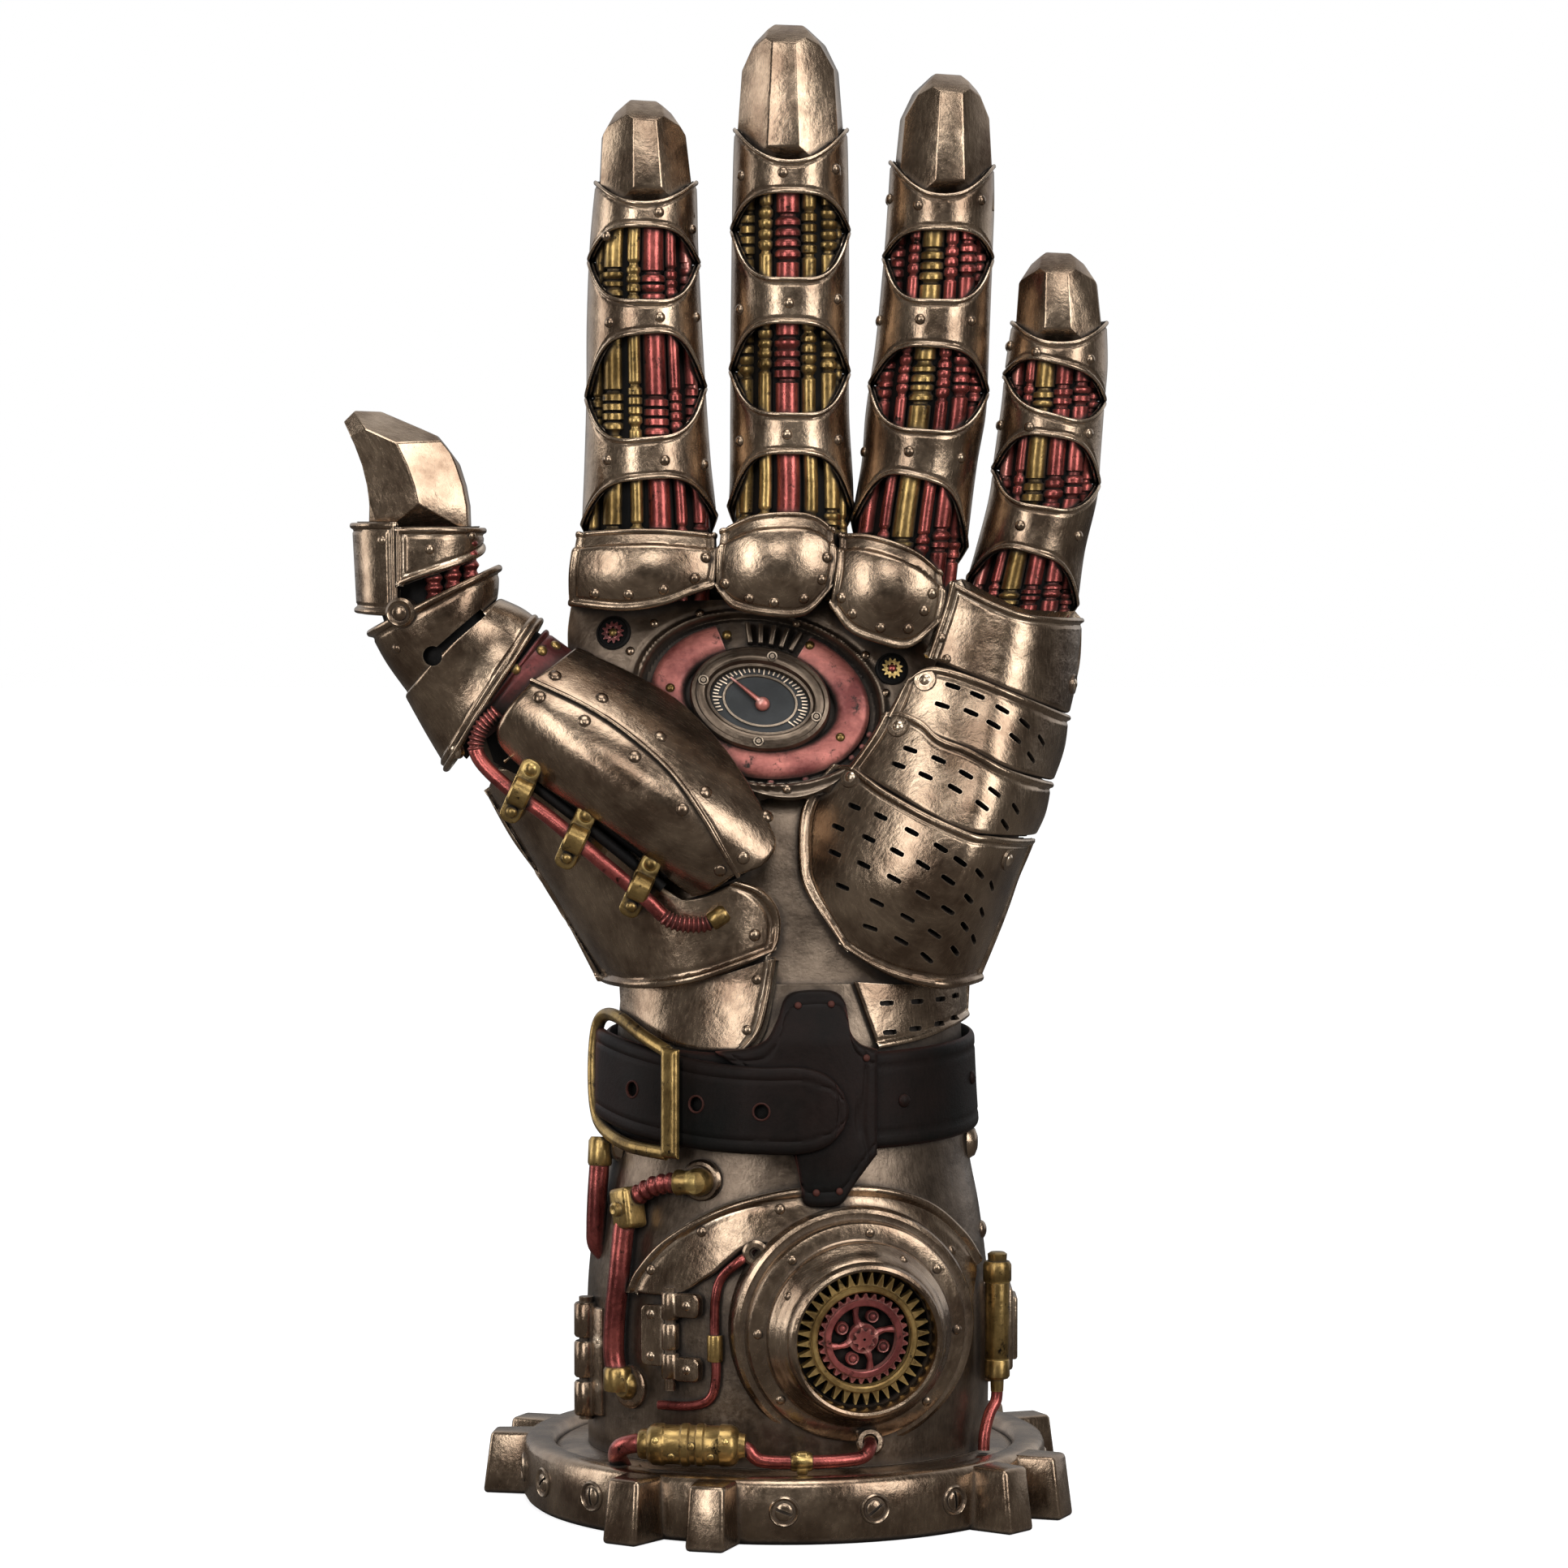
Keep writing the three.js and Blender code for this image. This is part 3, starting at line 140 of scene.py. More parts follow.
def wornMetal(name, values):
    # A cast finish: tone that wanders, fine scratches, dark crevices that are partly real patina and partly painted
    # shade, and rubbed edges.
    material = bpy.data.materials.new(name)
    material.use_nodes = True
    nodes, links = material.node_tree.nodes, material.node_tree.links
    shader = nodes["Principled BSDF"]

    def add(kind, **settings):
        node = nodes.new("ShaderNode" + kind)
        for key, value in settings.items():
            if key in ("blend_type", "data_type", "operation", "inside", "samples", "only_local"):
                setattr(node, key, value)
            else:
                node.inputs[key.replace("_", " ")].default_value = value
        return node

    def ramp(source, low, high, lowColour=(0, 0, 0, 1), highColour=(1, 1, 1, 1)):
        node = nodes.new("ShaderNodeValToRGB")
        node.color_ramp.elements[0].position, node.color_ramp.elements[1].position = low, high
        node.color_ramp.elements[0].color, node.color_ramp.elements[1].color = lowColour, highColour
        links.new(source, node.inputs[0])
        return node.outputs[0]

    def mix(factor, a, b, mode="MIX"):
        node = nodes.new("ShaderNodeMix")
        node.data_type, node.blend_type = "RGBA", mode
        for socket, value in (("Factor", factor), ("A", a), ("B", b)):
            if isinstance(value, (tuple, float, int)):
                node.inputs[socket].default_value = value
            else:
                links.new(value, node.inputs[socket])
        return node.outputs["Result"]

    where = add("TexCoord").outputs["Object"]
    tone = add("TexNoise", Scale=values["toneScale"], Detail=5.0, Roughness=0.62)
    links.new(where, tone.inputs["Vector"])
    colour = ramp(tone.outputs[0], 0.36, 0.66, values["dark"], values["light"])

    turned = nodes.new("ShaderNodeMapping")
    turned.inputs["Rotation"].default_value = (0.5, 0.9, 0.4)
    turned.inputs["Scale"].default_value = (1, 9, 1)
    links.new(where, turned.inputs["Vector"])
    scratch = add("TexNoise", Scale=420.0, Detail=4.0, Roughness=0.7)
    links.new(turned.outputs[0], scratch.inputs["Vector"])
    colour = mix(0.35, colour, ramp(scratch.outputs[0], 0.35, 0.65, (0.55, 0.55, 0.55, 1), (1.25, 1.25, 1.25, 1)),
                 "MULTIPLY")
    grain = add("TexNoise", Scale=1500.0, Detail=3.0, Roughness=0.6)
    links.new(where, grain.inputs["Vector"])
    if values["chipped"]:
        chips = add("TexNoise", Scale=330.0, Detail=6.0, Roughness=0.75)
        links.new(where, chips.inputs["Vector"])
        colour = mix(ramp(chips.outputs[0], values["chipped"] - 0.06, values["chipped"] + 0.03), values["washShadeColour"],
                     colour)

    # Crevice darkening: partly real patina, partly painted shade wherever occlusion finds a crevice or a gap between
    # parts.
    shadeOcclusion = add("AmbientOcclusion", samples=6, Distance=values["washShadeReach"] * mm)
    washShadeEdge = add("Math", operation="MULTIPLY_ADD")
    links.new(grain.outputs[0], washShadeEdge.inputs[0])
    washShadeEdge.inputs[1].default_value = 0.22
    links.new(shadeOcclusion.outputs["AO"], washShadeEdge.inputs[2])
    outsideWashShade = ramp(washShadeEdge.outputs[0], values["washShadeRange"][0], values["washShadeRange"][1])
    colour = mix(outsideWashShade, values["washShadeColour"], colour)

    rubbed = add("AmbientOcclusion", samples=4, inside=True, only_local=True, Distance=values["rubReach"] * mm)
    edge = ramp(rubbed.outputs["AO"], 0.25, 0.62, (1, 1, 1, 1), (0, 0, 0, 1))
    colour = mix(edge, colour, mix(outsideWashShade, colour, values["rubbed"]))
    links.new(colour, shader.inputs["Base Color"])
    shader.inputs["Specular IOR Level"].default_value = values["gloss"]

    shine = ramp(scratch.outputs[0], 0.25, 0.8, (values["rough"][0],) * 3 + (1,), (values["rough"][1],) * 3 + (1,))
    links.new(mix(outsideWashShade, (0.75, 0.75, 0.75, 1), shine), shader.inputs["Roughness"])
    links.new(mix(outsideWashShade, (0.1, 0.1, 0.1, 1), (values["metal"],) * 3 + (1,)), shader.inputs["Metallic"])

    height = add("Math", operation="MULTIPLY_ADD")
    links.new(scratch.outputs[0], height.inputs[0])
    height.inputs[1].default_value = 0.5
    links.new(grain.outputs[0], height.inputs[2])
    dents = add("TexNoise", Scale=170.0, Detail=2.0)
    links.new(where, dents.inputs["Vector"])
    deep = add("Math", operation="MULTIPLY_ADD")
    links.new(dents.outputs[0], deep.inputs[0])
    deep.inputs[1].default_value = values["dents"]
    links.new(height.outputs[0], deep.inputs[2])
    bump = add("Bump", Strength=values["bump"], Distance=0.0001)
    links.new(deep.outputs[0], bump.inputs["Height"])
    links.new(bump.outputs[0], shader.inputs["Normal"])
    return material


bronzeValues = {
    "toneScale": 90.0, "dark": (0.165, 0.111, 0.075, 1), "light": (0.40, 0.30, 0.212, 1),
    "washShadeReach": 1.9, "washShadeRange": (0.56, 0.92), "washShadeColour": (0.016, 0.011, 0.008, 1), "chipped": 0,
    "rubReach": 0.55, "rubbed": (0.70, 0.56, 0.42, 1), "rough": (0.15, 0.34), "metal": 0.97,
    "dents": 4.5, "bump": 0.42, "gloss": 0.5,
}
finishes = {                                 # each finish changes some of the bronze values
    "antiqueBronze": {},
    "greyBronze": {"dark": (0.085, 0.062, 0.045, 1), "light": (0.215, 0.163, 0.12, 1), "washShadeReach": 2.8,
                   "rough": (0.26, 0.44), "metal": 0.93},
    "wornGoldPaint": {"dark": (0.13, 0.080, 0.026, 1), "light": (0.50, 0.335, 0.125, 1), "washShadeRange": (0.62, 0.98),
                      "washShadeReach": 1.5, "rubbed": (0.70, 0.50, 0.19, 1), "rough": (0.24, 0.4), "metal": 0.9,
                      "chipped": 0.40},
    "wornRedPaint": {"dark": (0.15, 0.033, 0.029, 1), "light": (0.48, 0.12, 0.102, 1), "washShadeRange": (0.62, 0.98),
                     "washShadeReach": 1.5, "rubbed": (0.62, 0.26, 0.22, 1), "rough": (0.22, 0.38), "metal": 0.85,
                     "chipped": 0.39},
    "shadedRedPaint": {"dark": (0.045, 0.011, 0.011, 1), "light": (0.20, 0.045, 0.042, 1), "washShadeRange": (0.62, 0.98),
                       "washShadeReach": 3.6, "rubReach": 0.14, "rubbed": (0.5, 0.2, 0.17, 1), "rough": (0.26, 0.44),
                       "metal": 0.7, "chipped": 0.40},
    "gearGoldPaint": {"dark": (0.20, 0.12, 0.04, 1), "light": (0.56, 0.375, 0.14, 1), "washShadeRange": (0.5, 0.9),
                      "washShadeReach": 0.7, "rubbed": (0.70, 0.50, 0.19, 1), "rough": (0.3, 0.5), "metal": 0.75,
                      "chipped": 0.40},
    "gearRedPaint": {"dark": (0.16, 0.036, 0.034, 1), "light": (0.46, 0.125, 0.11, 1), "washShadeRange": (0.55, 0.95),
                     "washShadeReach": 0.8, "rubbed": (0.62, 0.26, 0.22, 1), "rough": (0.26, 0.44), "metal": 0.6,
                     "chipped": 0.39},
    "salmonPaint": {"dark": (0.17, 0.038, 0.034, 1), "light": (0.60, 0.21, 0.17, 1), "washShadeRange": (0.6, 0.98),
                    "washShadeReach": 3.2, "toneScale": 110.0, "rubbed": (0.8, 0.42, 0.36, 1), "rough": (0.34, 0.5),
                    "metal": 0.5, "chipped": 0.40},
    # Near-black stand-in for painted shadow: cores, backings, hole floors and seats seen through gaps.
    "paintedShadowBlack": {"dark": (0.003, 0.003, 0.003, 1), "light": (0.012, 0.010, 0.009, 1),
                      "washShadeColour": (0.002, 0.002, 0.002, 1), "rubbed": (0.02, 0.017, 0.014, 1),
                      "rough": (0.5, 0.7), "metal": 0.0, "gloss": 0.12},
    "castLeather": {"toneScale": 38.0, "dark": (0.0042, 0.0042, 0.0036, 1), "light": (0.014, 0.0078, 0.0064, 1),
                    "washShadeRange": (0.5, 0.9), "washShadeColour": (0.003, 0.003, 0.003, 1), "rubReach": 1.1,
                    "rubbed": (0.075, 0.026, 0.02, 1), "rough": (0.4, 0.58), "metal": 0.0, "dents": 1.5,
                    "gloss": 0.09},
    "dialCharcoal": {"dark": (0.018, 0.02, 0.021, 1), "light": (0.04, 0.043, 0.045, 1), "washShadeRange": (0.4, 0.8),
                     "rubbed": (0.12, 0.115, 0.11, 1), "rough": (0.55, 0.7), "metal": 0.1, "bump": 0.15},
}
(bronze, greyBronze, goldPaint, redPaint, shadedRed, gearGold, gearRed, salmonPaint, shadowBlack, leather,
 charcoal) = (wornMetal(name, {**bronzeValues, **changes}) for name, changes in finishes.items())
print("finishes mixed")


def finishPiece(bm, name, material, slot="bronze", replaced=None, smooth=38):
    bmesh.ops.scale(bm, vec=(mm, mm, mm), verts=bm.verts)
    mesh = bpy.data.meshes.new(name)
    bm.to_mesh(mesh)
    bm.free()
    mesh.materials.append(material)
    mesh.shade_smooth()
    mesh.set_sharp_from_angle(angle=radians(smooth))
    piece = bpy.data.objects.new(name, mesh)
    bpy.context.scene.collection.objects.link(piece)
    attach(piece, "root")
    if replaced:
        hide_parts(replaced)
    return piece


def cutAway(piece, cutter):
    # Takes a solid out of a finished piece.
    bmesh.ops.scale(cutter, vec=(mm, mm, mm), verts=cutter.verts)
    mesh = bpy.data.meshes.new("cutter")
    cutter.to_mesh(mesh)
    cutter.free()
    tool = bpy.data.objects.new("cutter", mesh)
    bpy.context.scene.collection.objects.link(tool)
    cut = piece.modifiers.new("slots", "BOOLEAN")
    cut.object, cut.operation, cut.solver, cut.use_self = tool, "DIFFERENCE", "EXACT", True
    seen = piece.evaluated_get(bpy.context.evaluated_depsgraph_get())
    done = bpy.data.meshes.new_from_object(seen)
    print(piece.name, "cut from", len(piece.data.vertices), "to", len(done.vertices))
    piece.modifiers.clear()
    old, piece.data = piece.data, done
    bpy.data.meshes.remove(old)
    bpy.data.objects.remove(tool)
    bpy.data.meshes.remove(mesh)


def clamp(value, low, high):
    return min(max(value, low), high)


def bulge(part):
    # Height of a half circle at a part, from 0 to 1, of its width.
    return sqrt(max(0.0, 1 - (2 * part - 1) ** 2))


def signedPower(value, power):
    return abs(value) ** power * (1 if value > 0 else -1)


def fillHoles(bm):
    bmesh.ops.holes_fill(bm, edges=[edge for edge in bm.edges if edge.is_boundary])


def faceOut(bm):
    bmesh.ops.recalc_face_normals(bm, faces=bm.faces)
    return bm


def shifted(bm, way):
    bmesh.ops.translate(bm, vec=way, verts=bm.verts)
    return bm


def spun(bm, angle, axis="Z"):
    bmesh.ops.rotate(bm, matrix=Matrix.Rotation(angle, 3, axis), cent=(0, 0, 0), verts=bm.verts)
    return bm


def placed(bm, matrix):
    bmesh.ops.transform(bm, matrix=matrix, verts=bm.verts)
    return bm


def cuboid(size):
    bm = bmesh.new()
    bmesh.ops.create_cube(bm, size=1)
    bmesh.ops.scale(bm, vec=size, verts=bm.verts)
    return bm


def allOf(bm):
    return bm.verts[:] + bm.edges[:] + bm.faces[:]


def eased(value, amount):
    return value - amount * sin(2 * pi * value) / (2 * pi)


def gridMesh(columns, rows, place, around=False, wall=0.0, easeAcross=0.7, easeUp=0.7):
    # A grid bent into shape: place(s, t) gives the point, s from left to right, t from bottom to top.
    bm = bmesh.new()
    bmesh.ops.create_grid(bm, x_segments=columns, y_segments=rows, size=0.5)
    for vert in bm.verts:
        s, t = vert.co.x + 0.5, vert.co.y + 0.5
        vert.co = place(s if around else eased(s, easeAcross), eased(t, easeUp))
    if around:
        bmesh.ops.remove_doubles(bm, verts=bm.verts, dist=2e-3)
    if wall:
        walled(bm, wall)
    return bm


def walled(bm, wall):
    # Gives a skin a back face, each point of it set in along its own normal.
    bm.normal_update()
    way = bm.verts.layers.float_vector.new("way")
    for vert in bm.verts:
        vert[way] = vert.normal
    back = bmesh.ops.extrude_face_region(bm, geom=bm.faces[:])["geom"]
    for item in back:
        if isinstance(item, bmesh.types.BMVert):
            item.co -= item[way] * wall
    bm.verts.layers.float_vector.remove(way)
    return faceOut(bm)


def thick(bm, depth):
    # A plate pushed straight back by a depth, open nowhere.
    back = bmesh.ops.extrude_face_region(bm, geom=bm.faces[:])["geom"]
    bmesh.ops.translate(bm, vec=(0, depth, 0), verts=[item for item in back if isinstance(item, bmesh.types.BMVert)])
    return faceOut(bm)


def plate(size, place, rims, depth):
    return thick(gridMesh(*size, dressed(place, rims)), depth)


def merge(target, source):
    mesh = bpy.data.meshes.new("part")
    source.to_mesh(mesh)
    source.free()
    target.from_mesh(mesh)
    bpy.data.meshes.remove(mesh)
    return target


def rowAt(rows, at, column):
    # Smooth value of one column of a table whose first column rises.
    index = clamp(sum(row[0] <= at for row in rows) - 1, 0, len(rows) - 2)
    before, low, high, after = (rows[clamp(index + step, 0, len(rows) - 1)] for step in (-1, 0, 1, 2))
    span = high[0] - low[0]
    place = clamp((at - low[0]) / span, 0, 1)
    slopeLow = (high[column] - before[column]) / (high[0] - before[0]) * span
    slopeHigh = (after[column] - low[column]) / (after[0] - low[0]) * span
    return ((2 * place ** 3 - 3 * place ** 2 + 1) * low[column] + (place ** 3 - 2 * place ** 2 + place) * slopeLow
            + (3 * place ** 2 - 2 * place ** 3) * high[column] + (place ** 3 - place ** 2) * slopeHigh)


def smoothPath(points, samples=120, closed=False):
    # Evenly spaced points of a soft curve through the given ones.
    points = [Vector(point) for point in points]
    count = len(points)
    dense = []
    spans = count if closed else count - 1
    for span in range(spans):
        if closed:
            a, b, c, d = (points[(span + step) % count] for step in (-1, 0, 1, 2))
        else:
            a, b, c, d = (points[clamp(span + step, 0, count - 1)] for step in (-1, 0, 1, 2))
        for step in range(16):
            t = step / 16
            dense.append(0.5 * (2 * b + (c - a) * t + (2 * a - 5 * b + 4 * c - d) * t ** 2
                                + (3 * b - a - 3 * c + d) * t ** 3))
    dense.append(points[0] if closed else points[-1])
    lengths = [0.0]
    for before, after in zip(dense, dense[1:]):
        lengths.append(lengths[-1] + (after - before).length)
    even, index = [], 0
    for step in range(samples + 1):
        target = lengths[-1] * step / samples
        while index < len(dense) - 2 and lengths[index + 1] < target:
            index += 1
        gapLength = max(lengths[index + 1] - lengths[index], 1e-9)
        even.append(dense[index].lerp(dense[index + 1], min((target - lengths[index]) / gapLength, 1)))
    return even


def pathAt(path, t):
    place = clamp(t, 0, 1) * (len(path) - 1)
    index = min(int(place), len(path) - 2)
    return path[index].lerp(path[index + 1], place - index)


sides = ("top", "right", "bottom", "left")


def between(outline, front):
    # A surface between four drawn edges; front(x, z) is its depth.
    top, right, bottom, left = (smoothPath(outline[side], 96) for side in sides)

    def place(s, t):
        down = 1 - t
        spot = ((1 - down) * pathAt(top, s) + down * pathAt(bottom, s) + (1 - s) * pathAt(left, down)
                + s * pathAt(right, down) - (1 - s) * (1 - down) * top[0] - s * (1 - down) * top[-1]
                - (1 - s) * down * bottom[0] - s * down * bottom[-1])
        return Vector((spot.x, front(spot.x, spot.y), spot.y))
    return place


def lip(width, height, groove=0.22):
    # A rolled edge with a fine groove behind it.
    def rise(distance):
        if distance < width:
            return height * bulge(distance / width)
        if distance < width * 1.7:
            return -groove * sin(pi * (distance - width) / (0.7 * width))
        return 0.0
    return rise


def softEdge(width, depth):
    def rise(distance):
        if distance >= width:
            return 0.0
        return -depth * (1 - sqrt(max(0.0, 1 - (1 - distance / width) ** 2)))
    return rise


def normalOf(place, s, t, step=0.004):
    s0, s1 = s - step, s + step
    if not getattr(place, "closed", False):
        s0, s1 = max(s0, 0), min(s1, 1)
    t0, t1 = max(t - step, 0), min(t + step, 1)
    across = (place(s1, t) - place(s0, t)) / (s1 - s0)
    upward = (place(s, t1) - place(s, t0)) / (t1 - t0)
    return across, upward, across.cross(upward).normalized()


def dressed(place, rims=()):
    # The surface with its rims raised: rims is {side: profile}.
    rims = dict(rims)

    def finished(s, t):
        across, upward, normal = normalOf(place, s, t)
        reach = {"left": s * across.length, "right": (1 - s) * across.length,
                 "bottom": t * upward.length, "top": (1 - t) * upward.length}
        rises = [profile(reach[side]) for side, profile in rims.items()]
        height = max(rises) if rises and max(rises) > 0 else min(rises, default=0)
        return place(s, t) + normal * height
    finished.closed = getattr(place, "closed", False)
    return finished


def touch(place, x, z, sRange=(0.0, 1.0)):
    # The surface point and normal seen at x, z of the front view.
    key = (id(place), sRange)
    if key not in touch.samples:
        low, high = sRange
        steps = [(low + (high - low) * i / 50, j / 40) for i in range(51) for j in range(41)]
        touch.samples[key] = [(s, t, place(s, t)) for s, t in steps]
        touch.kept.append(place)
    s, t, here = min(touch.samples[key], key=lambda row: (row[2].x - x) ** 2 + (row[2].z - z) ** 2)
    for _ in range(3):
        across, upward, normal = normalOf(place, s, t)
        here = place(s, t)
        spread = across.x * upward.z - across.z * upward.x
        if abs(spread) < 1e-6:
            break
        dx, dz = x - here.x, z - here.z
        s = clamp(s + (dx * upward.z - dz * upward.x) / spread, sRange[0], sRange[1])
        t = clamp(t + (across.x * dz - across.z * dx) / spread, 0, 1)
    return place(s, t), normalOf(place, s, t)[2]


touch.samples, touch.kept = {}, []


def facing(spot, normal, up=Vector((0, 0, 1))):
    # A frame whose Z looks along the normal.
    side = up.cross(normal)
    side = side.normalized() if side.length > 1e-4 else Vector((1, 0, 0))
    over = normal.cross(side)
    turn = Matrix((side, over, normal)).transposed().to_4x4()
    return Matrix.Translation(spot) @ turn


def addRivets(bm, spots, radius=0.85, height=0.62, disc=0.0):
    for spot, normal in spots:
        frameHere = facing(spot, normal)
        bmesh.ops.create_uvsphere(bm, u_segments=14, v_segments=8, radius=radius,
                                  matrix=frameHere @ Matrix.Diagonal((1, 1, height, 1)))
        if disc:
            bmesh.ops.create_cone(bm, cap_ends=True, segments=20, radius1=disc, radius2=disc * 0.86, depth=0.7,
                                  matrix=frameHere)


def rivets(name, place, spots, radius=0.85, height=0.62, disc=0.0, sRange=(0.0, 1.0), material=None,
           slot="bronze"):
    bm = bmesh.new()
    addRivets(bm, [touch(place, x, z, sRange) for x, z in spots], radius, height, disc)
    return finishPiece(bm, name, material or bronze, slot, smooth=60)


def tubeMesh(points, radius, sides=12, steps=80, flat=1.0, closed=False, ends=True):
    # A round section carried along a soft curve; radius may be a function of the way along.
    path = smoothPath(points, 240, closed)
    size = radius if callable(radius) else (lambda t: radius)

    def place(s, t):
        here = pathAt(path, t)
        ahead = (pathAt(path, t + 0.01) - pathAt(path, t - 0.01)).normalized()
        side = ahead.cross(Vector((0, -1, 0.02))).normalized()
        over = side.cross(ahead)
        angle = 2 * pi * s
        return here + (side * cos(angle) + over * sin(angle) * flat) * size(t)
    bm = gridMesh(sides, steps, place, around=True, easeUp=0.0)
    if closed:
        bmesh.ops.remove_doubles(bm, verts=bm.verts, dist=1e-3)
    elif ends:
        fillHoles(bm)
    return faceOut(bm)


def turnedMesh(profile, spot=(0, 0, 0), axis=(0, 0, 1), steps=32, oval=1.0):
    # A turned shape: profile is (radius, height) from the foot up, about an axis from a spot.
    bm = bmesh.new()
    verts = [bm.verts.new((radius, 0, height)) for radius, height in profile]
    edges = [bm.edges.new(pair) for pair in zip(verts, verts[1:])]
    bmesh.ops.spin(bm, geom=verts + edges, axis=(0, 0, 1), cent=(0, 0, 0), steps=steps, angle=2 * pi,
                   use_merge=True)
    bmesh.ops.remove_doubles(bm, verts=bm.verts, dist=1e-4)
    faceOut(bm)
    bmesh.ops.scale(bm, vec=(1, oval, 1), verts=bm.verts)
    placed(bm, facing(Vector(spot), Vector(axis).normalized()))
    return bm


def blockMesh(size, spot, axis, spin=0.0, bevel=0.5, up=Vector((0, 0, 1)), corner=0.0):
    bm = cuboid(size)
    edges = bm.edges[:]
    if corner:
        posts = [edge for edge in edges if abs(edge.verts[0].co.z - edge.verts[1].co.z) > size[2] / 2]
        bmesh.ops.bevel(bm, geom=posts, offset=corner, segments=6, profile=0.5, affect="EDGES", material=-1)
        edges = [edge for edge in bm.edges if edge.calc_face_angle(0) > 1.2]
    bmesh.ops.bevel(bm, geom=edges, offset=bevel, segments=3, profile=0.5, affect="EDGES", material=-1)
    return placed(spun(bm, radians(spin)), facing(Vector(spot), Vector(axis).normalized(), up))


base = {"height": 13.0, "radius": 53.4, "tip": 62.0, "deck": 47.0, "deckHeight": 11.5,
        "pairs": (-23, 58, -104, 124, 190), "spread": 8.5}
rimProfile = [(0.01, 0.0), (base["radius"] - 1.4, 0.0), (base["radius"] - 0.6, 0.6), (base["radius"], 1.6),
              (base["radius"], base["height"] - 1.6), (base["radius"] - 0.5, base["height"] - 0.5),
              (base["radius"] - 1.6, base["height"]), (base["deck"] + 1.6, base["height"]),
              (base["deck"] + 0.5, base["height"] - 0.5), (base["deck"] - 0.2, base["deckHeight"] - 0.9),
              (base["deck"] - 2.0, base["deckHeight"]), (0.01, base["deckHeight"])]
bm = turnedMesh(rimProfile, steps=128)
finishPiece(bm, "baseRim", bronze, replaced="base_gear", smooth=50)
bm = bmesh.new()
for middle in base["pairs"]:
    for turn in (middle - base["spread"], middle + base["spread"]):
        tooth = cuboid((1, 1, 1))
        for vert in tooth.verts:
            outer, upper = vert.co.y < 0, vert.co.z > 0
            half = 3.9 if outer else 5.3
            reach = base["tip"] if outer else base["radius"] - 5
            vert.co = (half * (1 if vert.co.x > 0 else -1) * (0.9 if upper else 1),
                       -(reach - (1.6 if upper and outer else 0)), base["height"] - 0.3 if upper else 0.0)
        bmesh.ops.bevel(tooth, geom=tooth.edges[:], offset=0.9, segments=3, profile=0.5, affect="EDGES",
                        material=-1)
        merge(bm, spun(tooth, radians(turn)))
finishPiece(bm, "baseTeeth", bronze)


def slottedScrew(spot, normal, radius, turn):
    bm = turnedMesh([(0.01, -0.6), (radius * 1.08, -0.6), (radius * 1.08, 0.2), (radius * 0.98, 0.5),
                     (radius * 0.88, 0.3), (radius * 0.76, -0.2), (0.01, -0.2)], steps=32)
    for side in (1, -1):
        half = bmesh.new()
        bmesh.ops.create_uvsphere(half, u_segments=24, v_segments=12, radius=radius * 0.66,
                                  matrix=Matrix.Diagonal((1, 1, 0.3, 1)))
        shifted(half, (0, 0, 0.1))
        bmesh.ops.bisect_plane(half, geom=allOf(half), plane_co=(0, side * 0.3, 0), plane_no=(0, side, 0),
                               clear_inner=True)
        fillHoles(half)
        merge(bm, half)
    return placed(spun(bm, radians(turn)), facing(spot, normal))


bm = bmesh.new()
for middle in (19.5, -65, 91, 157, 223):
    for step in (-19.5, 0, 19.5):
        angle = radians(middle + step * (0.6 if middle > 60 else 1))
        out = Vector((sin(angle), -cos(angle), 0))
        merge(bm, slottedScrew(out * base["radius"] + Vector((0, 0, 6.8)), out, 2.8, 38 + 3 * step))
finishPiece(bm, "baseScrews", bronze)
print("base made")

armRows = [[11.6, 0.8, 41, 34], [28, 0.8, 41.2, 34], [45, 0.8, 41, 33.7], [60, 0.8, 39.2, 32], [72, 1, 36.8, 30],
           [90, 1, 35.5, 28.5], [108, 1.5, 34.6, 26.3]]


def armFront(x, z, lift=0.0):
    half = rowAt(armRows, z, 2) + lift
    across = clamp((x - rowAt(armRows, z, 1)) / half, -0.995, 0.995)
    return -(rowAt(armRows, z, 3) + lift) * sqrt(1 - across ** 2)


def onArm(x, z, lift=0.0):
    return Vector((x, armFront(x, z, lift), z))


def armNormal(x, z):
    half, deep = rowAt(armRows, z, 2), rowAt(armRows, z, 3)
    across = clamp((x - rowAt(armRows, z, 1)) / half, -0.99, 0.99)
    return Vector((across / half, -sqrt(1 - across ** 2) / deep, 0)).normalized()


def turnedOnArm(profile, x, z, lift, steps=24, oval=1.0):
    return turnedMesh(profile, onArm(x, z, lift), armNormal(x, z), steps, oval)


armLow, armHigh = 11.6, 107.5


def armPlace(s, t):
    z = armLow + t * (armHigh - armLow)
    angle = 2 * pi * s
    return Vector((rowAt(armRows, z, 1) + rowAt(armRows, z, 2) * sin(angle), -rowAt(armRows, z, 3) * cos(angle), z))


